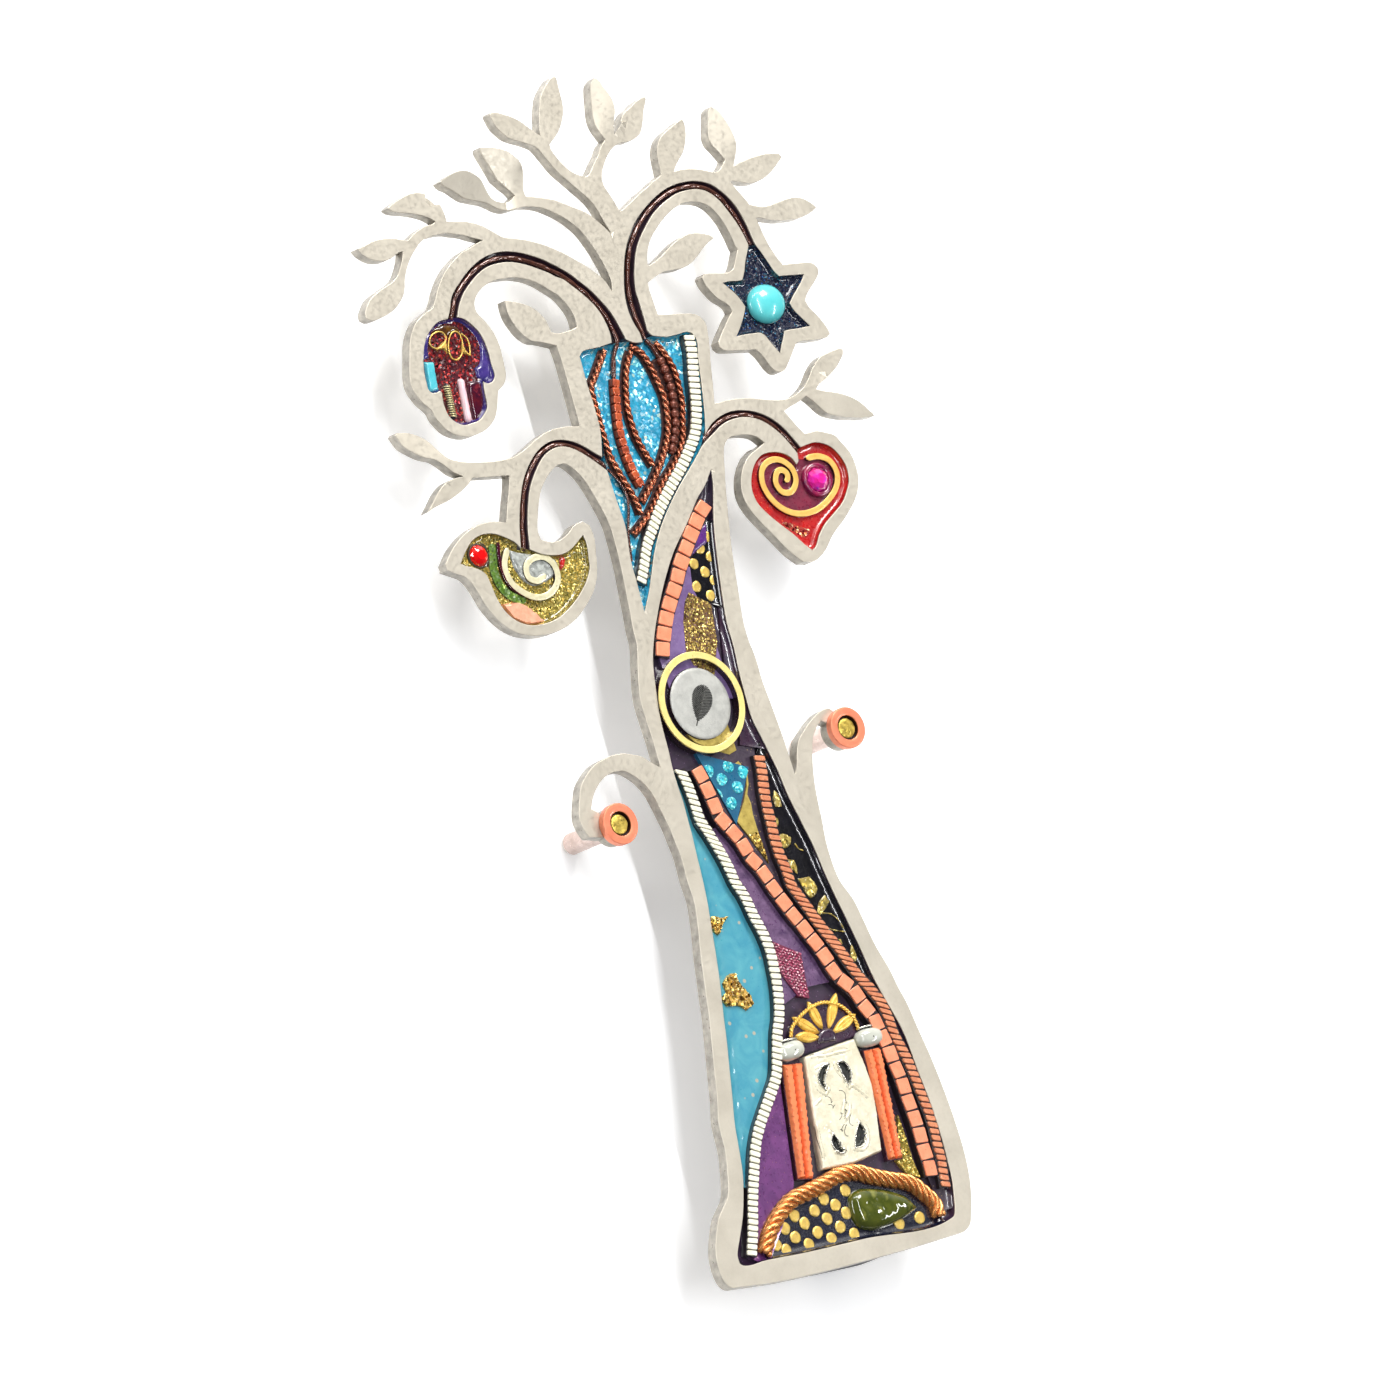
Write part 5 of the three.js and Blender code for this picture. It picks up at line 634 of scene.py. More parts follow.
UPPER_POCKET = [(-5.55,70.5),(-4.96,70.97),(-3.94,71.08),(-2.77,71.09),(-1.67,71.17),(-0.12,71.2),(1.54,71.17),(3.14,70.9),
 (4.77,71.26),(5.71,71.05),(6.77,70.84),(8.52,70.91),(9.6,70.98),(10.26,70.7),(10.57,70.05),(10.07,67.7),(9.44,64.33),
 (8.53,60.49),(7.92,59.35),(7.44,58.58),(6.43,57.53),(4.9,56.22),(2.79,54.48),(0.89,52.7),(-1.19,50.45),(-2.84,48.11),
 (-5.11,43.87),(-6.52,41.63),(-6.43,44.6),(-6.38,47.5),(-5.85,51.2),(-6.04,54.35),(-6.13,57.14),(-5.94,59.54),
 (-5.58,62.09),(-5.49,64.85),(-5.59,67.29)]
HAND_POCKET = [(-20.28,77.2),(-19.43,76.83),(-18.69,76.15),(-18.02,75.24),(-17.66,74.28),(-17.52,73.46),(-17.46,72.43),
 (-17.53,71.42),(-17.47,70.39),(-17.66,69.86),(-18.21,69.49),(-18.77,69.47),(-19.23,69.77),(-19.4,68.89),(-19.5,67.77),
 (-19.67,66.89),(-20.33,66.21),(-21.22,65.67),(-22.26,65.5),(-23.26,65.44),(-24.11,65.8),(-24.76,66.36),(-25.1,66.98),
 (-25.23,67.8),(-25.2,68.7),(-25.07,69.47),(-25.3,69.62),(-25.9,69.49),(-26.43,69.58),(-26.72,69.97),(-26.72,70.76),
 (-26.65,71.77),(-26.41,72.86),(-26.04,73.94),(-25.57,74.88),(-25,75.7),(-24.21,76.36),(-23.15,76.98),(-22.25,77.18),
 (-21.55,77.18)]
STAR_POCKET = [(22.07,79.05),(22.57,78.06),(23.12,76.83),(23.58,75.74),(24.07,75.15),(25.43,75.04),(27.46,74.83),(26.78,74.09),
 (25.78,73.23),(24.99,72.56),(24.44,71.97),(24.77,71.12),(25.53,70.09),(26.31,69.12),(24.76,69.09),(23.38,69.14),
 (22.66,69.09),(22.27,68.36),(21.7,67.54),(21.29,66.76),(20.93,67.33),(20.4,68.21),(19.86,69.09),(19.41,69.39),
 (18.59,69.46),(17.21,69.52),(16.08,69.48),(16.74,70.16),(17.47,71.06),(18.04,71.88),(18.39,72.5),(18.09,73.23),
 (17.46,74.24),(16.75,75.03),(16.24,75.57),(17.23,75.58),(18.3,75.46),(19,75.46),(19.6,76.39),(20.11,77.44),
 (20.75,78.47),(21.11,79.09)]
HEART_POCKET = [(20.46,56.12),(21.39,56.27),(22.36,56.37),(23.51,56.1),(24.55,55.51),(25.41,54.35),(25.87,53.01),(25.67,51.52),
 (24.95,50.38),(23.95,49.28),(22.36,48.28),(20.74,47.27),(19.58,46.19),(18.73,45.07),(18.15,44.76),(17.33,45.54),
 (16.23,46.86),(14.84,48.23),(13.48,49.72),(12.56,51.13),(12.38,52.67),(12.88,54.11),(13.68,55.24),(14.91,56.06),
 (16.35,56.2),(17.8,55.84),(18.81,55.17),(19.3,54.33),(19.61,54.62),(19.81,55.55)]
BIRD_POCKET = [(-28.92,50.66),(-27.81,51.87),(-26.51,52.92),(-25.11,53.32),(-23.6,53.2),(-22.24,52.61),(-20.98,51.77),
 (-20.37,51.25),(-19.33,50.68),(-17.85,49.99),(-16.4,49.63),(-15.18,49.56),(-13.8,49.97),(-12.62,50.66),(-11.81,51.16),
 (-11.65,50.25),(-11.86,48.77),(-12.13,47.54),(-13.07,46.18),(-14.46,44.89),(-16.3,43.67),(-18.16,42.83),
 (-20.13,42.51),(-21.97,42.62),(-23.59,43.34),(-24.74,44.53),(-25.42,46.16),(-25.73,47.98),(-25.99,49.03),
 (-26.71,49.66),(-27.51,50.04),(-28.21,50.29)]
STEM_HAMSA = [(-20.91,77.19),(-20.28,78.28),(-19.59,79.34),(-18.68,80.21),(-17.66,80.97),(-16.59,81.65),(-15.45,82.2),
 (-14.25,82.58),(-12.99,82.75),(-11.73,82.72),(-10.48,82.5),(-9.28,82.12),(-8.11,81.62),(-6.98,81.05),(-4.82,79.72),
 (-3.85,78.91),(-2.95,78.02),(-2.09,77.09),(-1.33,76.08),(-0.67,74.99),(-0.2,73.82),(0.08,72.59),(0.21,71.34)]
STEM_STAR = [(4.09,71.03),(3.78,72.4),(3.56,73.82),(3.51,75.26),(3.63,76.69),(4,78.09),(4.5,79.45),(5.12,80.76),(5.93,81.96),
 (6.89,83.04),(7.97,84),(9.14,84.85),(10.39,85.58),(11.71,86.17),(13.09,86.6),(14.52,86.79),(15.96,86.75),
 (17.36,86.42),(18.59,85.68),(19.57,84.62),(20.3,83.37),(20.86,82.04),(21.26,80.65),(21.58,79.24)]
STEM_HEART = [(7.81,58.94),(8.89,59.67),(9.45,60),(10.64,60.56),(11.25,60.76),(12.53,60.98),(13.18,60.98),(14.47,60.84),
 (15.72,60.45),(16.32,60.2),(17.39,59.46),(17.87,59.02),(18.76,58.06),(20.13,55.84)]
STEM_BIRD = [(-19.88,50.89),(-19.21,53.52),(-18.9,54.38),(-18.23,56.06),(-17.39,57.67),(-16.27,59.1),(-15.64,59.74),
 (-14.23,60.87),(-13.39,61.21),(-12.53,61.48),(-11.63,61.49),(-10.74,61.36),(-9.89,61.05),(-9.1,60.63),(-8.35,60.12),
 (-6.26,58.39)]
L_LOWER_SILVER = [(-7.77,23.92),(-7.42,22.5),(-7.16,20.42),(-6.98,18.12),(-6.32,16.43),(-5.74,14.86),(-5.09,12.71),(-4.66,10.72),
 (-4,9.02),(-3.46,6.55),(-2.9,4.54),(-2.64,2.45),(-2.79,0.44),(-3.03,-1.45),(-3.46,-3.31),(-4.02,-4.92),(-4.67,-6.17),
 (-5.52,-8.42),(-6.55,-10.97),(-7.91,-12.68),(-9.59,-14.67),(-10.85,-16.28),(-11.88,-18.04),(-12.98,-20.58),
 (-14.11,-23.35),(-15.23,-26.57),(-16.41,-29.44)]
L_LOWER_TILES = [(-5.53,23.9),(-5.02,21.94),(-4.66,20.13),(-4.22,18.02),(-3.25,16.38),(-2.38,14.88),(-1.65,12.95),(-0.71,11.44),
 (0.01,9.67),(0.89,7.77),(1.78,5.93),(2.66,4.43),(3.59,2.69),(4.43,0.85),(5.1,-1.03),(5.99,-2.29),(7.03,-3.54),
 (7.79,-5.36),(8.65,-6.92),(9.03,-8.63),(9.38,-10.27),(9.65,-12.07),(9.98,-14.22),(10.12,-16.34),(10.3,-18.24),
 (10.4,-19.96),(10.39,-22),(10.48,-24.17),(10.41,-25.18)]
L_UPPER_TILES = [(5.69,52.12),(4.15,50.72),(2.68,49.21),(1.33,47.61),(-0.02,45.96),(-1.17,44.27),(-2.41,42.66),(-3.64,40.98),
 (-4.76,38.96),(-5.57,37.17),(-5.86,36.42)]
L_COPPER_RIBBED = [(3.26,23.83),(3.06,22.05),(2.65,20.07),(2.41,18.18),(2.35,16.61),(2.24,14.58),(2.3,12.65),(2.58,11.02),(2.73,9.23),
 (3.51,7.46),(4.31,5.75),(5.11,4.03),(5.97,2.47),(6.81,0.92),(7.56,-0.79),(8.42,-2.36),(9.24,-3.62),(10.02,-4.99),
 (10.54,-6.72),(10.79,-8.97),(11.26,-10.88),(11.62,-12.45),(11.93,-14.37),(12.16,-16.28),(12.41,-18.21),(12.47,-20.07),
 (12.36,-21.98),(12.34,-23.45),(12.03,-25.33),(11.92,-26.67)]
L_UPPER_SILVER = [(9.7,70.62),(9.44,68.67),(8.8,66.17),(8.25,63.66),(7.65,61.66),(6.78,59.76),(5.48,58.21),(4,56.7),(2.15,55.07),
 (0.57,53.63),(-1.08,51.97),(-2.51,50.27),(-3.73,48.77),(-5.03,46.38),(-5.94,44.82)]
L_BEADS_LEFT = [(-1.51,67.35),(-1.81,66.49),(-2.1,65.34),(-2.58,63.32),(-2.88,61.67),(-2.92,59.92),(-2.79,58.14),(-2.49,56.55),
 (-2.06,55.3)]
L_BEADS_RIGHT = [(5.13,68.87),(5.42,67.58),(5.55,66.42),(5.59,65.28),(5.46,64.11),(5.22,62.96),(4.99,61.75),(4.66,60.79),(4.06,59.64),
 (3.25,58.23)]
L_TW1 = [(-1.85,70.69),(-3.11,69.19),(-4.21,67.9),(-4.9,67.1),(-5.07,65.12),(-5.09,63.22),(-5.09,61.35),(-4.99,59.21),
 (-4.43,57.22),(-3.87,55.6),(-3.35,54.08),(-3.1,52.3)]
L_TW2 = [(1.4,70.16),(0.58,69.05),(-0.13,67.62),(-0.71,65.97),(-1.13,64.14),(-1.19,62.08),(-0.97,60.3),(-0.46,58.67),
 (0.09,57.18)]
L_TW3 = [(1.76,70.56),(2.97,69.72),(3.67,68.09),(4.09,66.21),(4.34,64.47),(4.12,62.58),(3.54,60.63),(2.64,59.02),(1.48,57.45),
 (-0.2,55.68),(-1.49,54.48),(-2.44,53.6)]
L_TW4 = [(5.39,70.53),(6.19,69.2),(6.84,67.35),(6.9,65.64),(6.71,63.56),(6.12,61.57),(5.44,59.64),(4.36,58.05),(2.87,56.54),
 (1.09,55.13),(-0.61,53.3),(-1.87,52.1),(-3.38,50.98),(-4.71,50.18)]
L_BIRD_WIRE = [(-6.46,58.63),(-4.78,56.2),(-4.28,54.42),(-5.52,50.31),(-6.08,47.45)]
L_ROPE = [(-14.34,-29.37),(-12.69,-27.2),(-11.07,-25.77),(-8.79,-24.44),(-6.43,-23.91),(-4.11,-23.44),(-1.5,-22.79),
 (0.88,-22.95),(2.76,-23.71),(5.18,-24.52),(7.55,-25.34),(8.92,-26.63),(10.07,-28.14),(10.13,-29.44)]
L_HEART_SPIRAL = [(20.92,54.86),(22.72,54.79),(24.01,54.07),(24.51,52.69),(24.02,51.29),(22.61,50.05),(20.45,49.08),(17.9,49),
 (16,49.81),(14.66,51.34),(14.16,53.12),(14.68,54.62),(16.06,55.36),(17.52,55.13),(18.66,53.98),(18.72,52.65),
 (17.67,51.53),(16.47,51.73),(15.96,52.83),(16.56,53.98)]
L_BIRD_SPIRAL = [(-22.09,51.7),(-23.08,49.88),(-22.88,48.03),(-21.57,46.57),(-19.93,45.78),(-17.99,45.99),(-16.62,47.24),
 (-16.53,48.81),(-17.54,49.94),(-19.09,50.07),(-20.23,49.41),(-20.37,48.12),(-19.31,47.56),(-18.05,48.04)]
TRUNK_DOTS = [(5.16, 48.47), (3.66, 47.36), (4.74, 46.26), (2.25, 45.86), (3.43, 44.74), (1.76, 43.34), (3.29, 42.08), (4.36, 43.64)]
BIRD_MAROON = [(-23.06, 52.21), (-23.47, 50.56), (-23.49, 48.77), (-22.98, 47.22), (-21.91, 46.23), (-20.72, 45.63)]
BIRD_GREEN = [(-23.63, 52.3), (-24.13, 50.67), (-24.49, 49.26), (-24.12, 47.41), (-23.14, 46.19), (-21.39, 45.42)]
BIRD_RED = [(-15.42, 49.75), (-14.62, 49.54), (-14.77, 48.83), (-15.51, 47.97), (-15.84, 47.94), (-15.49, 48.94)]
BIRD_GLASS = [(-21.77, 51.27), (-20.36, 50.71), (-18.31, 50.22), (-16.08, 49.69), (-15.83, 48.67), (-16.59, 47.65), (-18.24, 46.94), (-19.88, 46.88), (-21.13, 47.9), (-21.79, 49.48)]
LOTUS_LEFT = [(-22.27, 75.25), (-22.48, 75.85), (-23.34, 76.06), (-24.31, 75.59), (-24.6, 74.84), (-24.2, 74.39), (-23.39, 74.3), (-22.65, 74.75)]
LOTUS_MID = [(-21.22, 75.72), (-21.95, 74.97), (-22.33, 73.9), (-22.25, 72.98), (-21.8, 72.68), (-21.08, 72.91), (-20.52, 73.61), (-20.26, 74.7), (-20.39, 75.45), (-20.79, 75.74)]
LOTUS_RIGHT = [(-20.12, 75.4), (-19.57, 74.81), (-19.45, 74.12), (-19.71, 72.89), (-20.12, 73.23), (-20.34, 73.81)]
LOTUS_FILL_A = [(-23.86, 74.15), (-22.71, 74.87), (-22.24, 75.02), (-22.58, 73.49), (-22.88, 74.08)]
LOTUS_FILL_B = [(-20.26, 74.36), (-20.06, 73.65), (-19.67, 72.84), (-20.72, 73.37)]
HAND_THUMB = [(-17.98, 73.76), (-17.43, 73.33), (-17.33, 72.18), (-17.51, 70.85), (-18, 69.91), (-18.7, 69.68), (-19.57, 70.39), (-19.5, 71.4), (-18.77, 71.74)]
HAND_RIM = [(-26.13, 73.27), (-25.77, 74.46), (-25.08, 75.48), (-24.12, 76.23), (-23.61, 76.49), (-24.42, 75.38), (-24.92, 74.32), (-25.09, 73.44)]
HAND_DOME = [(-24.19, 76.02), (-23.32, 76.51), (-21.58, 76.68), (-20.35, 76.19), (-19.74, 75.52), (-20.12, 75.4), (-20.77, 75.8), (-21.66, 75.49), (-22.18, 75.51), (-22.67, 75.95), (-23.48, 76.04)]
HAND_FINGER = [(-21.05, 70.02), (-19.68, 70.07), (-19.17, 69.53), (-19.38, 68.21), (-20.06, 66.73), (-20.88, 65.84), (-21.59, 65.8), (-21.55, 66.97), (-21.34, 68.53)]
HEART_GLITTER = [(15.06, 48.47), (16.34, 48.47), (17.87, 47.7), (19.22, 47.17), (18.89, 46.6), (17.89, 46.14), (16.95, 46.91), (15.82, 47.72)]
ROSETTE_ARC = [(-2.91, -7.01), (-2.49, -6.15), (-1.5, -5.41), (-0.43, -4.79), (0.85, -4.31), (2.4, -4.06), (3.78, -4.33), (5.02, -4.98), (5.8, -5.91), (6.23, -6.77), (6.32, -7.72)]
ROSETTE_C = (1.99, -7.92)
PETALS = [(-0.59, -7.39), (-0.39, -6.09), (1.25, -5.26), (3.76, -5.08), (4.89, -6.75)]
SEMI = [(0.55, -8.33), (0.73, -7.6), (1.37, -7.03), (2.28, -6.86), (3.03, -7.18), (3.26, -7.77), (3.08, -8.44)]
ALMONDS = [[(0.89, -10.86), (-0.02, -11.01), (-0.71, -11.59), (-0.94, -12.25), (-0.71, -12.98), (-0.34, -13.34), (-0.31, -12.55), (0.07, -11.82)], [(2.23, -10.88), (2.94, -10.94), (3.34, -11.56), (3.47, -12.37), (2.95, -13.38), (2.65, -12.83), (2.4, -11.8)], [(-1.11, -18.37), (-0.73, -19.03), (-0.48, -20.06), (-0.23, -20.4), (-0.76, -20.51), (-1.32, -20.03), (-1.52, -19.2)], [(2.76, -17.81), (3.14, -18.47), (3.04, -19.45), (2.43, -20.14), (1.41, -20.27), (1.81, -19.25)]]
PLAQUE_RIDGES = [[(-0.98, -10.95), (-0.3, -10.77), (0.34, -10.67), (1.09, -10.99)], [(-1.42, -12.57), (-1.22, -13.4), (-0.57, -14), (0.12, -13.42)], [(1.77, -10.81), (1.79, -11.31), (2.37, -12.59), (2.79, -13.85)], [(2.79, -13.85), (3.27, -13.53), (4.2, -14.37), (4.9, -15.18)], [(1.75, -15.07), (2.32, -15.56), (1.87, -16.48), (1, -17.23), (1.13, -16.16), (1.75, -15.07)], [(-2.32, -14.8), (-1.43, -14.35)], [(-1.45, -17.92), (-0.68, -19.24), (0.02, -20.05), (-0.44, -20.66), (-1.54, -20.29)], [(2.67, -17.5), (3.55, -18.34), (3.44, -19.71), (2.5, -20.65), (1.11, -20.42)], [(-1.13, -9.64), (1.13, -9.81), (2.62, -9.75), (4.08, -9.79)], [(-2.87, -17.1), (-3.05, -18.65), (-3.12, -20.63)]]
BASE_DOTS = [(-4.26, -25), (-2.95, -25.9), (-5.94, -26.02), (-4.56, -27.17), (-1.11, -24.58), (-7.71, -27.13), (-6.31, -28.39), (-3.13, -28.35), (-9.45, -28.4), (-4.72, -29.38), (-7.91, -29.47), (-11.11, -29.55), (-10.48, -27.22), (-12.22, -28.77), (7.71, -29.21), (4.8, -29.38), (-1.82, -27.01), (-1.54, -29.43), (-8.76, -26.1)]
BLOBS = [[(4.42, 19.6), (4.72, 19.23), (4.81, 18.67), (4.76, 18.03), (4.1, 18.06), (4.03, 18.8)], [(3.48, 16.79), (3.8, 16.59), (3.73, 16.17), (3.29, 15.73), (3.19, 16.18)], [(3.11, 14.6), (3.94, 14.79), (4.72, 14.31), (4.42, 13.74), (3.71, 13.46), (3.24, 13.79)], [(3.58, 11.95), (4.37, 11.77), (4.48, 11.05), (4.3, 10.43), (4, 10.84), (3.67, 11.45)], [(4.45, 9.58), (5.75, 9.57), (6.28, 8.52), (5.9, 7.86), (5.25, 7.63), (4.91, 8.09), (4.7, 8.77)], [(7.09, 7.27), (7.4, 6.6), (6.79, 6.05), (6.03, 5.56), (5.68, 5.77), (6.26, 6.71)], [(6.96, 2.43), (7.63, 2.29), (7.67, 1.85), (7.35, 1.5)], [(8.8, 1.41), (9.5, 1.01), (9.47, 0.4), (8.81, -0.21), (8.35, 0.01)]]
VEINS = [[(6.01, 5.6), (7.31, 5.24), (8.15, 4.31), (8.43, 3.32)], [(6.22, 3.9), (7.06, 3.47), (8.84, 2.96)], [(5.14, 13.62), (5.52, 12.91), (5.98, 12.69)]]
TEAL_DOTS = [(-3.66, 23.23), (-2.19, 22.05), (-0.86, 23.32), (-0.4, 20.89), (0.87, 22.38), (-3.38, 20.43), (-1.81, 19.31)]
FOIL = [(0.7, 23.68), (1.47, 22.32), (1.19, 20.99), (0.64, 19.93), (0.81, 18.88), (0.64, 17.61), (0.73, 15.57), (0.91, 13.51), (0.94, 12.06), (0.11, 13.79), (-0.84, 15.68), (-1.71, 17.27), (-0.2, 19.05), (0.84, 20.76), (1.34, 22.2), (-0.73, 23.19)]
FLAKE_A = [(-9.3, 7.29), (-8.46, 7.66), (-7.5, 7.33), (-6.4, 7.29), (-7.62, 6.36), (-8, 5.77), (-8.5, 5.49), (-9.05, 5.94), (-9.31, 6.64)]
FLAKE_B = [(-9.74, 0.24), (-8.52, 1.09), (-7.55, 1.1), (-7.57, 0.33), (-6.94, -0.82), (-6.41, -1.77), (-6.34, -2.69), (-7.54, -3.15), (-8.49, -2.51), (-10, -2.23), (-10.64, -1.29), (-9.55, -0.83)]
OLIVE_STRIP = [(8.65, -17.73), (8.88, -20.13), (8.96, -22.95), (9.33, -24.94), (7.71, -24.25), (6.69, -22.58), (7.87, -19.97)]

# ------------------------------------------------------------------ materials in use
def facets(m, size, k=1.0):
    """a height that tilts every small cell its own way, for glitter and foil"""
    c = m.coord()
    v = m.n("ShaderNodeTexVoronoi"); m.put(v.inputs["Vector"], c); v.inputs["Scale"].default_value = 1 / size
    d = m.n("ShaderNodeVectorMath", operation="SUBTRACT"); m.put(d.inputs[0], c); m.put(d.inputs[1], v.outputs["Position"])
    r = m.n("ShaderNodeVectorMath", operation="SUBTRACT"); m.put(r.inputs[0], v.outputs["Color"]); r.inputs[1].default_value = (0.5, 0.5, 0.5)
    o = m.n("ShaderNodeVectorMath", operation="DOT_PRODUCT"); m.put(o.inputs[0], d.outputs[0]); m.put(o.inputs[1], r.outputs[0])
    return v.outputs["Color"], m.math("MULTIPLY", o.outputs["Value"], k)

def glitter(name, base, base2, flakes, size=0.2, share=0.2, rough=0.35, coat=1.0, metal_flakes=1.0, tilt=1.6, big=0.5, cluster=None):
    """clay or resin with glitter: flakes are colours of single cells"""
    m = Mat(name, base, rough, 0.0, coat, 0.03)
    cell, h = facets(m, size, tilt)
    body = m.mix(m.noise(big, 4, 0.6), base, base2)
    on = m.ramp(m.sep(cell, 0), (0.0, 0.0), (1 - share, 1.0), mode="CONSTANT")
    if cluster:
        on = m.math("MULTIPLY", on, m.ramp(m.noise(cluster, 5, 0.62, 0.6), (0.44, 0.0), (0.56, 1.0)))
    n = len(flakes)
    f = m.ramp(m.sep(cell, 1), *[(i / n, c) for i, c in enumerate(flakes)], mode="CONSTANT")
    m.col(m.mix(on, body, f))
    m.metal(m.math("MULTIPLY", on, metal_flakes))
    m.rough(m.ramp(m.noise(3, 2), (0.3, rough * 0.8), (0.7, rough * 1.3)))
    m.bump(h, 1.0, 1.0)
    m.b.inputs["Coat Weight"].default_value = coat
    return m

def clay(name, c1, c2, rough=0.35, coat=0.8, scale=0.6, speck=None, metal=0.0, bump=0.03, stretch=(1, 1, 1)):
    m = Mat(name, c1, rough, metal, coat, 0.05)
    n = m.noise(scale, 6, 0.62, 0.8, stretch=stretch)
    c = m.mix(m.ramp(n, (0.35, 0.0), (0.65, 1.0)), c1, c2)
    if speck:
        v = m.voro(speck[1])
        c = m.mix(m.ramp(v, (0.0, 1.0), (speck[2], 1.0), (speck[2] + 0.04, 0.0)), c, speck[0])
    m.col(c)
    m.rough(m.ramp(m.noise(2.3, 3), (0.3, rough * 0.8), (0.75, min(1, rough * 1.35))))
    m.bump(m.noise(4.0, 4, 0.6), 0.6, bump)
    return m

def metal(name, c1, c2, rough=0.3, scale=1.2, metallic=1.0, bump=0.02, coat=0.0, brush=None, pits=None):
    m = Mat(name, c1, rough, metallic, coat, 0.06)
    n = m.noise(scale, 5, 0.6)
    c = m.mix(m.ramp(n, (0.35, 0.0), (0.7, 1.0)), c1, c2)
    if pits:
        v = m.voro(pits[1])
        c = m.mix(m.ramp(v, (0.0, 0.85), (pits[2], 0.0)), c, pits[0])
    m.col(c)
    m.rough(m.ramp(m.noise(2.0, 4, 0.6), (0.3, rough * 0.75), (0.7, min(1, rough * 1.4))))
    h = m.noise(brush[0], 3, 0.6, stretch=brush[1]) if brush else m.noise(5.0, 4, 0.6)
    m.bump(h, 0.6, bump)
    return m

S = srgb
M_PLATE = metal("brushed_plate_face", S(204, 197, 182), S(190, 183, 168), 0.42, 0.25, 0.6, 0.006, brush=(14, (1, 1, 0.12)))
# the plate's cut side walls get a darker copy of the plate steel: painted shade on the edges
M_PLATE_EDGE_SHADE = metal("brushed_plate_edge_painted_shade", S(142, 137, 128), S(186, 180, 168), 0.34, 1.1, 0.5, 0.015, brush=(9, (0.3, 3, 0.3)))
# the copper standoff tube is coloured pale pinkish white: painted light that washes it out against the wall
M_TUBE_PALE_LIGHT = metal("standoff_tube_painted_pale_light", S(226, 206, 198), S(206, 184, 174), 0.3, 1.0, 0.8, 0.015)
# dark brown for the eyelet's inner seat round the nail head: painted shade in that gap
M_EYE_SEAT_SHADE = clay("eyelet_seat_dark", S(60, 26, 18), S(36, 16, 12), 0.35, 0.4, 1.0)
M_SHEET = metal("steel_sheet", S(170, 165, 155), S(140, 136, 128), 0.45, 0.4, 0.9, 0.012, brush=(10, (1, 1, 0.1)))
M_TRAY = metal("folded_steel", S(178, 173, 163), S(150, 146, 138), 0.4, 0.5, 0.9, 0.012, brush=(10, (1, 1, 0.1)))
M_RUBBER = clay("dark_rubber", S(38, 38, 41), S(52, 52, 55), 0.62, 0.0, 1.2, bump=0.03)
M_COPPER = metal("eyelet_copper", S(240, 146, 112), S(232, 132, 98), 0.4, 1.0, 0.5, 0.012, coat=0.2)
M_BRASS = metal("nail_brass", S(214, 190, 92), S(186, 158, 66), 0.34, 1.6, 0.7, 0.03, pits=(S(96, 72, 30), 1.8, 0.28))

M_UBED = clay("dark_bed_upper", S(30, 20, 30), S(52, 30, 44), 0.4, 1.0, 0.5, bump=0.03)
M_LBED = clay("plum_bed", S(58, 34, 62), S(34, 24, 42), 0.42, 1.0, 0.35, speck=(S(150, 120, 160), 2.4, 0.06), bump=0.04)
M_RESIN_DARK = clay("dark_resin_rim", S(14, 12, 22), S(20, 22, 52), 0.2, 1.0, 0.5, bump=0.01)

M_BRANCH = glitter("branch_turquoise", S(22, 138, 182), S(58, 170, 200), [S(196, 236, 226), S(236, 244, 226), S(120, 214, 226), S(40, 150, 190)], 0.3, 0.42, 0.3, 1.0, 0.25, 1.0, 0.35, cluster=0.42)
M_MAROON = glitter("maroon_glitter_resin", S(92, 16, 28), S(58, 10, 26), [S(160, 30, 40), S(210, 70, 60), S(50, 8, 20)], 0.22, 0.35, 0.3, 1.0, 0.5, 2.0, 0.9)
M_NAVY = glitter("navy_glitter_resin", S(8, 18, 56), S(5, 12, 34), [S(60, 140, 170), S(30, 80, 150), S(90, 150, 180), S(20, 44, 84)], 0.14, 0.09, 0.3, 1.0, 0.7, 1.6, 0.8)
M_NAVYP = clay("navy_purple_resin", S(38, 30, 100), S(70, 52, 130), 0.25, 1.0, 0.5, bump=0.01)
M_RED = clay("red_clay_face", S(190, 26, 24), S(156, 16, 22), 0.28, 1.0, 0.8, speck=(S(220, 96, 50), 2.2, 0.12), bump=0.02)
M_PLUMRED = clay("plum_inside_heart", S(128, 38, 62), S(96, 26, 50), 0.3, 1.0, 1.0, bump=0.02)
M_REDGOLD = glitter("red_gold_glitter", S(190, 60, 50), S(150, 40, 40), [S(235, 190, 150), S(200, 130, 80), S(120, 30, 30)], 0.22, 0.5, 0.3, 0.8, 0.8, 2.0, 1.2)
M_OLIVE = glitter("olive_glitter_resin", S(150, 132, 46), S(118, 108, 40), [S(200, 176, 84), S(180, 146, 56), S(92, 86, 28), S(214, 194, 112)], 0.16, 0.55, 0.3, 0.9, 0.5, 1.4, 0.6)
M_GREEN = glitter("green_clay_glitter", S(92, 128, 34), S(70, 104, 28), [S(120, 150, 50), S(60, 90, 20)], 0.25, 0.3, 0.35, 0.8, 0.3, 1.0, 0.8)
M_GREYGLASS = clay("grey_glass_chips", S(120, 122, 118), S(188, 192, 186), 0.12, 1.0, 1.6, bump=0.03)
M_DKEYE = clay("dark_eye_setting", S(44, 38, 22), S(66, 56, 30), 0.35, 1.0, 1.0)

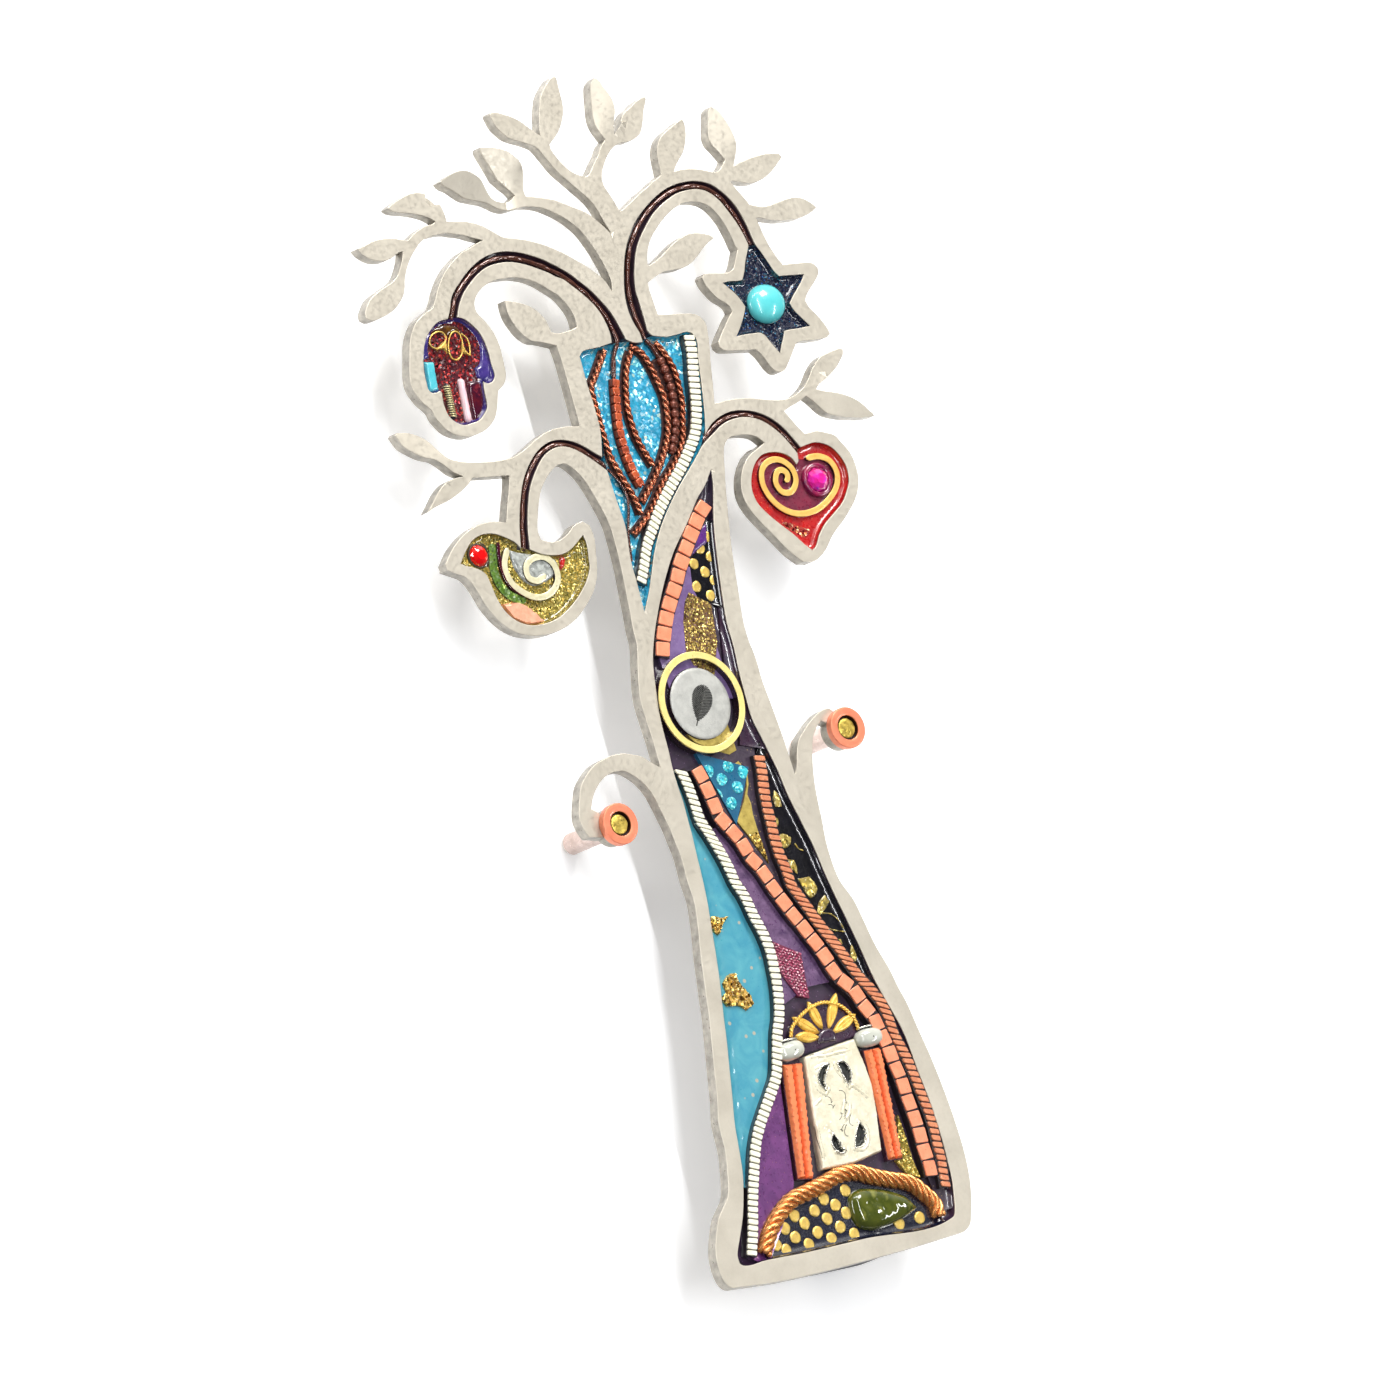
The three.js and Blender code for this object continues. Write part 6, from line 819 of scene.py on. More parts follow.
M_DWIRE = metal("dark_copper_wire", S(104, 60, 46), S(66, 36, 30), 0.16, 1.2, 0.4, 0.02, coat=1.0)
M_BROWNBED = clay("brown_bed", S(64, 34, 28), S(38, 22, 24), 0.35, 0.9, 1.1)
M_CWIRE = metal("twisted_copper", S(208, 128, 94), S(152, 84, 60), 0.24, 0.8, 0.8, 0.004)
M_CBOX = metal("box_chain_copper", S(214, 100, 58), S(150, 62, 38), 0.32, 0.8, 0.55, 0.03, coat=0.3)
M_CBEAD = metal("copper_bead", S(120, 62, 44), S(84, 42, 34), 0.3, 0.7, 0.5, 0.03, coat=0.3)
M_RIB = metal("silver_rib_face", S(250, 248, 228), S(238, 234, 206), 0.36, 1.6, 0.25, 0.03, coat=0.3)
M_RIBBED = metal("copper_rib_face", S(226, 150, 108), S(204, 120, 84), 0.34, 1.2, 0.2, 0.05, coat=0.3, pits=(S(122, 60, 40), 2.2, 0.24))
M_TILE = metal("copper_tile_face", S(250, 158, 120), S(240, 140, 102), 0.36, 0.9, 0.3, 0.04, coat=0.3, pits=(S(176, 92, 58), 1.7, 0.16))
M_COLUMN = metal("copper_column_face", S(248, 136, 84), S(240, 124, 74), 0.36, 0.7, 0.1, 0.008, coat=0.3, brush=(8, (1, 1, 0.15)))
M_BLACKGAP = clay("black_setting", S(20, 15, 18), S(32, 22, 26), 0.35, 0.9, 1.2)
M_PLUMSIDE = clay("plum_wall", S(70, 30, 44), S(48, 22, 40), 0.3, 1.0, 0.8)

M_GOLD = metal("gold_wire_face", S(252, 218, 120), S(232, 184, 84), 0.26, 1.2, 0.6, 0.02)
M_GOLDRING = metal("pale_gold_ring", S(246, 228, 148), S(238, 216, 128), 0.36, 0.8, 0.35, 0.012, coat=0.2)
M_SPIRALGOLD = metal("pale_gold_strip", S(240, 194, 104), S(226, 176, 86), 0.36, 1.2, 0.3, 0.015, coat=0.2, pits=(S(150, 110, 40), 2.6, 0.12))
M_SPIRALCREAM = metal("cream_strip", S(232, 226, 190), S(212, 204, 164), 0.34, 1.4, 0.35, 0.02, coat=0.2, pits=(S(140, 130, 96), 2.6, 0.12))
M_FOIL = glitter("crumpled_gold_foil", S(206, 172, 84), S(176, 140, 62), [S(236, 210, 126), S(150, 116, 48), S(220, 186, 96)], 0.22, 0.7, 0.3, 0.3, 0.9, 2.4, 1.4)
M_FOILFLAT = metal("flat_gold_foil", S(206, 184, 96), S(176, 152, 76), 0.36, 1.4, 0.6, 0.03, coat=0.4, pits=(S(120, 96, 40), 1.3, 0.2))
M_FLAKEGOLD = glitter("raised_gold_flake", S(222, 180, 84), S(196, 146, 60), [S(250, 222, 140), S(160, 116, 46), S(232, 196, 104)], 0.26, 0.7, 0.28, 0.2, 0.9, 3.0, 1.4)
M_BLOBGOLD = glitter("gold_leaf_piece", S(190, 168, 84), S(150, 130, 60), [S(220, 200, 118), S(160, 136, 60)], 0.3, 0.5, 0.34, 0.8, 0.8, 1.2, 1.2)
M_DOTGOLD = metal("gold_dot_face", S(232, 200, 100), S(206, 172, 92), 0.36, 2.4, 0.6, 0.04, coat=0.5, pits=(S(150, 130, 70), 3.0, 0.16))
M_TURQ = clay("turquoise_clay_face", S(58, 144, 168), S(84, 164, 178), 0.34, 0.9, 0.35, speck=(S(170, 168, 150), 0.55, 0.10), bump=0.03)
M_PURPLE = clay("purple_pearl_clay", S(122, 92, 128), S(76, 50, 88), 0.3, 0.55, 0.7, speck=(S(190, 170, 196), 3.0, 0.05), metal=0.15, bump=0.03)
M_MAGENTA = clay("magenta_pearl_clay", S(122, 66, 128), S(92, 46, 104), 0.3, 0.9, 0.5, speck=(S(206, 150, 110), 2.4, 0.06), metal=0.3, bump=0.04)
M_CHARCOAL = clay("charcoal_clay", S(70, 58, 72), S(46, 34, 50), 0.36, 0.8, 0.8, speck=(S(184, 160, 104), 2.6, 0.10), bump=0.05)
M_LILAC = clay("lilac_clay", S(128, 104, 152), S(104, 78, 128), 0.34, 0.8, 0.6, speck=(S(196, 178, 214), 3.0, 0.07), bump=0.03)
M_BLACK = clay("black_clay", S(8, 7, 10), S(14, 13, 22), 0.2, 0.8, 0.5, bump=0.008)
M_NAVYBASE = clay("navy_clay", S(10, 13, 30), S(16, 20, 44), 0.25, 1.0, 0.6, bump=0.015)
M_TEAL = clay("teal_clay", S(16, 100, 132), S(10, 84, 120), 0.34, 0.8, 0.7, bump=0.03)
M_TEALDOT = glitter("teal_dot_face", S(70, 206, 214), S(50, 184, 202), [S(140, 236, 234), S(36, 156, 182)], 0.2, 0.5, 0.34, 0.4, 0.1, 1.4, 1.5)
M_PINKBED = clay("pink_weave_bed", S(122, 34, 66), S(92, 24, 54), 0.4, 1.2, 0.6)
M_PINK = glitter("pink_weave_face", S(206, 96, 128), S(176, 66, 100), [S(250, 206, 214), S(240, 180, 196), S(160, 50, 84)], 0.16, 0.45, 0.35, 0.5, 0.4, 1.4, 1.2)
M_DISC = metal("frosted_silver", S(190, 190, 184), S(168, 168, 163), 0.5, 0.9, 0.5, 0.05, brush=(6, (1, 1, 1)))
M_HATCH = metal("dark_hatch", S(46, 46, 44), S(74, 74, 70), 0.4, 2.0, 0.6, 0.03)
# dark maroon used as painted shade: on side walls of the ring, disc and strips, and in the gap between disc and ring
M_RECESS_SHADE = clay("maroon_recess_painted_shade", S(46, 24, 30), S(26, 14, 22), 0.25, 1.0, 0.6)
M_PETAL = metal("petal_gold", S(250, 206, 96), S(232, 178, 70), 0.3, 1.4, 0.35, 0.02, coat=0.3)
M_PEARL = clay("pearl_bead", S(186, 188, 176), S(206, 208, 196), 0.14, 1.0, 0.7, bump=0.01)
M_SILVER = metal("bright_silver", S(232, 230, 220), S(200, 198, 188), 0.24, 1.2, 0.9, 0.02)
M_IVORY = metal("ivory_plaque", S(238, 232, 208), S(214, 206, 178), 0.38, 0.9, 0.3, 0.08, coat=0.3, pits=(S(150, 140, 112), 1.6, 0.10))
M_GROOVE = metal("plaque_groove", S(72, 74, 70), S(46, 46, 44), 0.32, 1.4, 0.7, 0.04)
M_ROPE = metal("rope_gold", S(232, 164, 98), S(212, 136, 78), 0.26, 0.7, 0.75, 0.006)
M_TURQGEM = clay("cabochon_turquoise", S(84, 196, 200), S(98, 206, 208), 0.22, 0.6, 0.35, bump=0.004)
M_CHIP = clay("turquoise_chip_face", S(92, 196, 206), S(70, 178, 196), 0.25, 0.9, 0.8, bump=0.02)
M_PEACH = metal("peach_chip", S(244, 178, 146), S(232, 156, 124), 0.4, 1.6, 0.25, 0.04, coat=0.3, pits=(S(170, 96, 70), 2.2, 0.14))
M_COILBLK = clay("coil_core", S(16, 16, 18), S(30, 30, 32), 0.4, 0.6, 1.2)
M_CREAM = metal("cream_wire", S(236, 226, 176), S(200, 184, 130), 0.3, 1.4, 0.6, 0.02)

def glass(name, c1, c2, c3=None, rough=0.05, trans=0.35, scale=0.8):
    m = Mat(name, c1, rough, 0.0, 1.0, 0.02, 1.5)
    m.b.inputs["Transmission Weight"].default_value = trans
    n = m.noise(scale, 3, 0.6)
    stops = [(0.36, c1), (0.6, c2)] + ([(0.72, c3)] if c3 else [])
    m.col(m.ramp(n, *stops))
    m.bump(m.noise(2.5, 3), 0.4, 0.01)
    return m

M_PINKGLASS = glass("pink_glass_tube", S(246, 196, 206), S(252, 222, 226), None, 0.12, 0.1)
M_MAROONGLASS = glass("maroon_glass_finger", S(96, 20, 34), S(60, 12, 40), S(130, 40, 52), 0.08, 0.2)
M_GEM = glass("magenta_facets", S(244, 36, 140), S(232, 50, 190), S(130, 70, 220), 0.03, 0.12, 1.1)
M_GEMSET = clay("magenta_setting", S(150, 16, 70), S(96, 10, 60), 0.25, 1.0, 0.9, bump=0.03)
M_REDGEM = glass("red_facets", S(250, 20, 20), S(232, 8, 14), None, 0.06, 0.1)
M_STONE = glass("olive_stone", S(96, 102, 32), S(70, 80, 26), S(132, 134, 60), 0.1, 0.12, 0.5)
M_BROWNRESIN = glass("amber_brown_resin", S(110, 74, 22), S(70, 40, 20), None, 0.1, 0.1)
M_BRONZEGLIT = glitter("bronze_glitter", S(146, 112, 56), S(112, 84, 60), [S(206, 176, 90), S(120, 92, 40), S(230, 206, 120), S(92, 66, 70)], 0.16, 0.6, 0.32, 0.8, 0.6, 1.8, 0.9)
M_DKPLUM = clay("dark_plum_clay", S(58, 30, 52), S(38, 22, 48), 0.3, 1.0, 0.6, speck=(S(150, 110, 150), 3.0, 0.06), bump=0.03)
M_PURPLETIP = clay("purple_tip", S(96, 40, 130), S(70, 30, 104), 0.3, 0.9, 0.7)

# ------------------------------------------------------------------ outlines
A_ = lambda p: np.array(p, float)
OUT = ccw(smooth(OUTLINE, step=0.35))
for ec in ((-18.232, 19.385), (15.473, 24.735)):
    v = OUT - np.array(ec); r = np.linalg.norm(v, axis=1)
    k = r < 2.34
    OUT[k] = np.array(ec) + v[k] / r[k][:, None] * 2.08
UPW = ccw(smooth(UPPER_WINDOW, step=0.3, corner=40))
LOW = ccw(smooth(LOWER_WINDOW, step=0.3, corner=40))
EYES = {"left": (-18.232, 19.385), "right": (15.473, 24.735)}
EYE_HOLES = [disc_loop(EYES[s], 1.55, 40) for s in EYES]
LEAVES = {"N": ((6.12, 93.54), (6.81, 100.34), 12), "I": ((20.88, 88.08), (21.3, 94.93), 12), "Q": ((-7.07, 89.0), (-11.01, 94.97), 21),
          "R": ((-9.76, 88.53), (-17.66, 91.96), 21), "D": ((-25.03, 60.74), (-32.77, 65.85), -9), "G": ((24.24, 61.57), (31.54, 58.01), -9)}

def leaf_bend(p):
    out = np.zeros(len(p))
    for a, b, deg in LEAVES.values():
        a, b = A_(a), A_(b); L = np.linalg.norm(b - a); u = (b - a) / L
        t = (p - a) @ u; s = (p - a) @ np.array([-u[1], u[0]])
        w = np.clip((t + 0.05 * L) / (0.5 * L), 0, 1); w = w * w * (3 - 2 * w)
        w *= (np.abs(s) < 2.4) & (t < L + 1.5)
        out += math.tan(math.radians(deg)) * s * w
    return out

# ------------------------------------------------------------------ steel plate
b = 0.07
acc = Acc()
loops = [OUT, UPW, LOW] + EYE_HOLES
p, t = fill(loops, 0.9, 0.35, (0.03, 0.075))
d = np.minimum(edge_dist(p, loops) / b, 1)
rise = b * (1 - np.sqrt(np.maximum(0, 1 - (1 - d) ** 2)))
bend = leaf_bend(p)
ripple = 0.003 * N2(p, 0.22, 3.3) * d
n = len(p)
e = np.concatenate([t[:, [0, 1]], t[:, [1, 2]], t[:, [2, 0]]])
keys = {(x, y) for x, y in e.tolist()}
rim = [(x, y) for x, y in keys if (y, x) not in keys]
# front and back faces take material 0; the side walls take material 1, the darker steel with painted shade
acc.add(np.r_[np.c_[p[:, 0], -8.5 + rise + bend + ripple, p[:, 1]], np.c_[p[:, 0], -7.0 - rise + bend, p[:, 1]]],
        t.tolist() + (t[:, ::-1] + n).tolist() + [(y, x, x + n, y + n) for x, y in rim],
        [0] * (2 * len(t)) + [1] * len(rim))
make("tree_plate", acc, [M_PLATE, M_PLATE_EDGE_SHADE], "front_plate", angle=11)
frame["nodes"]["backing_sheet"].data.materials.clear()
frame["nodes"]["backing_sheet"].data.materials.append(M_SHEET.m)

# ------------------------------------------------------------------ scroll tray: a folded box with round bends, and its stopper
def bent(cor, r):
    """a section polyline with each corner rounded to radius r"""
    out = []
    for i, c in enumerate(cor):
        if i in (0, len(cor) - 1): out.append(A_(c)); continue
        c = A_(c); u = A_(cor[i - 1]) - c; v = A_(cor[i + 1]) - c
        lu, lv = np.linalg.norm(u), np.linalg.norm(v); k = min(r, lu / 2, lv / 2)
        p0, p1 = c + u / lu * k, c + v / lv * k
        for s in np.linspace(0, 1, 8): out.append((1 - s) ** 2 * p0 + 2 * s * (1 - s) * c + s * s * p1)
    return np.array(out)

outer = bent([(4, -6.45), (4, 0), (-4, 0), (-4, -6.45)], 0.9)
inner = bent([(3.5, -6.45), (3.5, -0.5), (-3.5, -0.5), (-3.5, -6.45)], 0.5)
sec = np.r_[outer, inner[::-1]]
acc = Acc(); zs = [-31, -30.9] + list(np.linspace(-30, 30.6, 30)) + [30.9, 31]; m = len(sec); V = []
for z in zs:
    k = 0.06 if z in (-31, 31) else 0.0
    V += [(x * (1 - k * 0.1), y if abs(y) > 0.01 else -k, z) for x, y in sec]
F = []
for i in range(len(zs) - 1):
    for j in range(m):
        l = (j + 1) % m
        F.append((i * m + j, (i + 1) * m + j, (i + 1) * m + l, i * m + l))
cap = [tuple(range(m)), tuple((len(zs) - 1) * m + j for j in range(m))[::-1]]
acc.add(V, F + cap)
lid = bent([(3.45, -6.4), (3.45, -0.55), (-3.45, -0.55), (-3.45, -6.4)], 0.5); k = len(lid)
V = [(x, y, z) for z in (30.35, 30.5, 30.85, 30.97) for x, y in (lid * (1 if z in (30.5, 30.85) else 0.985) + (0 if z in (30.5, 30.85) else A_([0, -0.03])))]
F = [(i * k + j, (i + 1) * k + j, (i + 1) * k + (j + 1) % k, i * k + (j + 1) % k) for i in range(3) for j in range(k)]
acc.add(V, F + [tuple(range(k)), tuple(3 * k + j for j in range(k))[::-1]])
make("folded_tray", acc, M_TRAY, "scroll_tray", angle=35)

acc = Acc()
superquad(acc, (0, -3.5, -29.3), (3.15, 2.65, 2.4), (0.18, 0.18), 48, 24)
superquad(acc, (0, -3.25, -31.75), (3.95, 2.9, 0.48), (0.25, 0.2), 56, 20)
for k in range(9): superquad(acc, (-2.4 + 0.6 * k, -6.12, -31.75), (0.14, 0.09, 0.34), (0.6, 0.6), 10, 8)
make("tray_stopper_plug", acc, M_RUBBER, "tray_stopper", body="stopper", angle=50)

# ------------------------------------------------------------------ eyelets and nails
for side, c in EYES.items():
    acc = Acc()
    prof = [(0.85, 0), (1.14, 0), (1.2, 0.07), (1.2, 8.3), (1.24, 8.42), (1.4, 8.5), (2.24, 8.5), (2.3, 8.56), (2.31, 9.2)]
    prof += [(2.21 + 0.1 * math.cos(a), 9.32 + 0.1 * math.sin(a)) for a in np.linspace(0, math.pi / 2, 5)]
    prof += [(1.9, 9.44), (1.46, 9.43), (1.4, 9.41), (1.36, 9.34), (1.34, 9.1), (1.33, 8.8), (1.28, 8.74), (0.92, 8.74), (0.85, 8.66)]
    lathe(acc, prof, c, 0.0, 72, mat=0, closed=True)
    cen = [sum(-acc.v[0][i][1] for i in f) / len(f) for f in acc.f]
    rad = [sum(math.hypot(acc.v[0][i][0] - c[0], acc.v[0][i][2] - c[1]) for i in f) / len(f) for f in acc.f]
    # tube faces behind the flange (material 1) take the pale colour: painted light on the copper tube
    acc.m = [1 if h_ < 8.45 else (2 if r_ < 1.37 else 0) for h_, r_ in zip(cen, rad)]
    # seat faces inside the flange lip (material 2) take the dark brown: painted shade round the nail head
    make("eyelet_tube_" + side, acc, [M_COPPER, M_TUBE_PALE_LIGHT, M_EYE_SEAT_SHADE], "eyelet_" + side, angle=30)
    acc = Acc()
    prof = [(0, -12.0), (0.1, -11.8), (0.62, -10.1), (0.67, -9.8), (0.67, 8.72)]
    prof += [(1.08, 8.76), (1.12, 8.84), (1.12, 9.06)] + [(1.12 * math.cos(a), 9.06 + 0.2 * math.sin(a)) for a in np.linspace(0.2, math.pi / 2 - 0.1, 8)] + [(0, 9.26)]
    lathe(acc, prof, c, 0.0, 48)
    v = acc.v[-1]
    for i in range(len(v)):
        if v[i][1] < -8.95: v[i][1] += 0.03 * noise.noise(Vector((v[i][0] * 2.2, v[i][2] * 2.2, 5))) * 2
    make("nail_brass_" + side, acc, M_BRASS, "nail_" + side, body="nail_" + side, angle=40)

# ------------------------------------------------------------------ beds of the two windows
def rimmed(loop, base, lift, reach, wob=0.02, f=0.5):
    return lambda p: base - lift * np.maximum(0, 1 - edge_dist(p, [loop]) / reach) ** 2.2 - wob * N2(p, f, 1.7)

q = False
acc = Acc()
slab(acc, [UPW], -7.0, rimmed(UPW, -7.45, 0.85, 0.55), 0.6 if not q else 1.0, rings=(0.1, 0.22, 0.4), side=0)
make("upper_bed_resin", acc, M_UBED, "upper_clay_bed", angle=60)
acc = Acc()
slab(acc, [LOW], -7.0, rimmed(LOW, -7.5, 0.86, 0.7), 0.8 if not q else 1.2, rings=(0.1, 0.22, 0.4))
make("lower_bed_resin", acc, M_LBED, "lower_clay_bed", angle=60)

# ------------------------------------------------------------------ charm and branch pockets
POCKET = {k: ccw(smooth(v, step=0.25, corner=40)) for k, v in dict(branch=UPPER_POCKET, hand=HAND_POCKET, star=STAR_POCKET, heart=HEART_POCKET, bird=BIRD_POCKET).items()}
def pocket(name, key, mats, node, base=-7.9, lift=0.5, reach=0.42, mat=0, wob=0.03, f=0.6):
    lp = offset(POCKET[key], -0.03)
    acc = Acc()
    slab(acc, [lp], -7.1, rimmed(lp, base, lift, reach, wob, f), 0.4 if not q else 0.8, mat, rings=(0.08, 0.18, 0.32))
    return make(name, acc, mats, node, angle=60)
pocket("branch_inlay", "branch", M_BRANCH, "branch_turquoise_inlay", -7.7, 0.7, 0.5, f=0.4, wob=0.05)
pocket("hand_inlay_resin", "hand", [M_MAROON, M_NAVYP], "hand_inlay", f=0.9, wob=0.05, mat=lambda c: ((edge_dist(c, [POCKET["hand"]]) < 0.34)).astype(int).tolist())
pocket("star_inlay_resin", "star", M_NAVY, "star_inlay", lift=0.56, reach=0.5)
hs = smooth(L_HEART_SPIRAL, False, 0.15)
heart_in = inside
pl = np.r_[hs[:], hs[:1]]
pocket("heart_inlay_clay", "heart", [M_RED, M_PLUMRED], "heart_inlay", lift=0.5,
       mat=lambda c: np.any([inside(c, [hs[:int(len(hs) * k)]]) for k in (0.45, 0.5, 0.55, 0.6, 0.65, 0.7, 0.75, 0.8, 0.85, 0.9, 0.95, 1.0)], axis=0).astype(int).tolist())
bt = A_([(-19, 40), (-24.3, 44), (-23.4, 46.3), (-21.5, 45.2), (-18.8, 45.4), (-16.0, 46.6), (-15.3, 48.6), (-15.2, 50.6), (-10, 56), (-5, 40)])
pocket("bird_inlay_resin", "bird", M_OLIVE, "bird_inlay", lift=0.5, f=1.0, wob=0.06)

# stems: a dark groove with a copper wire in it
STEMS = dict(hand=STEM_HAMSA, star=STEM_STAR, heart=STEM_HEART, bird=STEM_BIRD)
for k, ln in STEMS.items():
    acc = Acc(); ln = list(ln)
    if k == "hand": ln += [(-0.55, 70.2), (-1.2, 68.8), (-1.51, 67.5)]
    if k == "star": ln = [(5.13, 68.9), (4.75, 70.0)] + ln
    c = smooth(ln, False, 0.25, 60)
    sweep(acc, np.c_[c[:, 0], np.full(len(c), -8.06) + 0.03 * np.sin(np.arange(len(c)) * 0.7), c[:, 1]], 0.27 + 0.03 * np.sin(np.arange(len(c)) * 0.43), 12)
    if k == "bird":
        c = smooth(L_BIRD_WIRE, False, 0.25, 60)
        sweep(acc, np.c_[c[:, 0], np.full(len(c), -8.1), c[:, 1]], 0.16, 10)
    make(k + "_stem_copper", acc, M_DWIRE, k + "_stem_wire", angle=60)

# ------------------------------------------------------------------ wires and chains of the branch
for k, ln, dx in (("a", L_TW1, 0.0), ("b", L_TW2, 0.25), ("c", L_TW3, 0.0), ("d", L_TW4, -0.14)):
    acc = Acc(); c = beside(smooth(ln, False, 0.2, 70), dx)
    twist(acc, c, -8.18, 0.18, 0.175, 1.75, 2, 9 if not q else 5, 18 if not q else 8)
    slab(acc, [ccw(ribbon(c, 1.15))], -7.3, -7.88, 0, 1)
    make("twist_" + k, acc, [M_CWIRE, M_BROWNBED], "twisted_wire_" + k, angle=70)
acc = Acc()
pts, pit = walk(smooth(L_BEADS_LEFT, False, 0.2, 60), 0.98)
slab(acc, [ccw(ribbon(smooth(L_BEADS_LEFT, False, 0.2, 60), 1.15))], -7.3, -7.86, 0, 1)
for i, (x, z, a) in enumerate(pts):
    superquad(acc, (x, -8.12, z), (pit * 0.47, 0.36, 0.48), (0.32, 0.3), 20, 12, a + (0.05 if i % 2 else -0.05))
    for s in (-1, 1): superquad(acc, (x + math.cos(a) * pit * 0.5 - math.sin(a) * 0.2 * s, -8.3, z + math.sin(a) * pit * 0.5 + math.cos(a) * 0.2 * s), (0.17, 0.22, 0.1), (0.8, 0.8), 10, 8, a + 0.5 * s)
make("box_chain", acc, [M_CBOX, M_BROWNBED], "bead_chain_left", angle=60)
acc = Acc()
pts, pit = walk(smooth(L_BEADS_RIGHT, False, 0.2, 60), 1.0)
for i, (x, z, a) in enumerate(pts):
    superquad(acc, (x, -8.12, z), (pit * 0.46, 0.42, 0.5), (0.75, 0.7), 20, 12, a)
    superquad(acc, (x + math.cos(a) * pit / 2, -8.1, z + math.sin(a) * pit / 2), (pit * 0.16, 0.26, 0.28), (0.8, 0.8), 12, 8, a)
slab(acc, [ccw(ribbon(smooth(L_BEADS_RIGHT, False, 0.2, 60), 1.9))], -7.3, -7.87, 0, 1)
make("round_bead_chain", acc, [M_CBEAD, M_BROWNBED], "bead_chain_right", angle=60)

# ------------------------------------------------------------------ ribbed and tiled strips
def bed_strip(acc, line, w, y0, y1, mat=1):
    lp = ribbon(line, w)
    return slab(acc, [ccw(lp)], y0, y1, 0, mat)

DIR_US = ((0.0, 0.99, -0.15), (0.26, 0.97, -0.23), (0.39, 0.93, -0.37), (0.5, 0.79, -0.62), (0.64, 0.69, -0.72), (0.83, 0.74, -0.67), (1.0, 0.83, -0.55))
DIR_LS = ((0.0, 0.94, -0.34), (0.16, 0.9, -0.44), (0.22, 0.97, -0.26), (0.28, 0.96, -0.28), (0.38, 0.98, -0.2), (0.48, 0.97, -0.23), (0.7, 0.83, -0.55), (0.78, 0.88, -0.48), (0.87, 0.96, -0.28))
DIR_CR = ((0.12, 0.97, -0.24), (0.22, 0.95, -0.33), (0.29, 0.86, -0.52), (0.34, 0.83, -0.55), (0.55, 0.88, -0.48), (0.72, 0.97, -0.26), (0.85, 0.96, -0.28))
def ribs(name, node, line, pitch, w, thick, top, mats, lean=0.0, rot=0.0, h=0.34, e=(0.5, 0.42), bed=0.2, jit=0.05, w2=None, slot=None, flank=0.0):
    acc = Acc(); c = smooth(line, False, 0.2, 60)
    if flank: slab(acc, [ccw(ribbon(beside(c, flank), 1.0))], -7.3, -7.89, 0, 1)
    bed_strip(acc, c, w + bed, -7.3, top + h * 0.75)
    pts, pit = walk(c, pitch)
    for i, (x, z, a) in enumerate(pts):
        ln_ = lean
        if not np.isscalar(lean):  # (t, x, z): the direction the ribs lie in along the strip
            tt_ = i / max(1, len(pts) - 1); rx, rz = (np.interp(tt_, [l_[0] for l_ in lean], [l_[k_] for l_ in lean]) for k_ in (1, 2))
            ln_ = float(np.clip((rx * math.cos(a) + rz * math.sin(a)) / (-rx * math.sin(a) + rz * math.cos(a)), -1.0, 1.0))
        s = 1 + jit * (RNG.rand() - 0.5) * 2; t = i / max(1, len(pts) - 1)
        ww = w * s * (1 if w2 is None else (1 - t) + t * w2 / w)
        superquad(acc, (x, top + h * (1 + 0.12 * (RNG.rand() - 0.5)), z), (pit * thick / 2, h, ww / 2), e, 20 if not q else 10, 12 if not q else 7,
                  a + rot + jit * (RNG.rand() - 0.5) * 2, 0, ln_)
    return make(name, acc, mats, node, angle=70)

ribs("ribbed_silver_upper", "silver_strip_upper", L_UPPER_SILVER, 0.68, 1.42, 0.80, -8.66, [M_RIB, M_BLACKGAP], lean=DIR_US, w2=1.2, flank=1.12, e=(0.2, 0.3), bed=0.14, h=0.26, jit=0.03)
ribs("ribbed_silver_lower", "silver_strip_lower", L_LOWER_SILVER, 0.70, 1.3, 0.80, -8.70, [M_RIB, M_BLACKGAP], lean=DIR_LS, e=(0.2, 0.3), bed=0.14, h=0.26, jit=0.03)
ribs("tiles_lower", "copper_tile_strip_lower", L_LOWER_TILES, 1.86, 1.6, 0.89, -8.66, [M_TILE, M_BLACKGAP], lean=0.05, h=0.28, e=(0.14, 0.16), jit=0.055, bed=0.26)
ribs("tiles_upper", "copper_tile_strip_upper", L_UPPER_TILES, 1.74, 1.72, 0.89, -8.64, [M_TILE, M_BLACKGAP], lean=-0.12, h=0.28, e=(0.14, 0.16), jit=0.055, bed=0.26)
ribs("ribbed_copper", "copper_ribbed_strip", L_COPPER_RIBBED, 0.74, 1.4, 0.78, -8.62, [M_RIBBED, M_BLACKGAP], lean=DIR_CR, e=(0.22, 0.34), jit=0.05, w2=1.15, bed=0.2, h=0.26)

# ------------------------------------------------------------------ coloured fields of the lower window
WIN = offset(LOW, -0.12)
sil, til, cop, ttl = (smooth(l, False, 0.5, 60) for l in (L_LOWER_SILVER, L_LOWER_TILES, L_COPPER_RIBBED, L_UPPER_TILES))
rope = smooth(L_ROPE, False, 0.3, 60)
def cut(line, z0, z1): return line[(line[:, 1] >= z0) & (line[:, 1] <= z1)]
def field_y(p, base=-7.86): return base - 0.42 * np.maximum(0, 1 - edge_dist(p, [WIN]) / 0.5) ** 1.8 - 0.03 * N2(p, 0.35, 8.1)
def field(name, region, mats, node=(), base=-7.86, grid=0.7, mat=0, height=None, slot=None):
    region = ccw(np.asarray(region, float))
    acc = Acc()
    slab(acc, [WIN, region], -7.2, height or (lambda p: field_y(p, base)), grid if not q else grid * 1.6, mat,
         mask=lambda v: inside(v, [WIN]) & inside(v, [region]), rings=(0.1, 0.25))
    return make(name, acc, mats, node, angle=60, slot=slot)

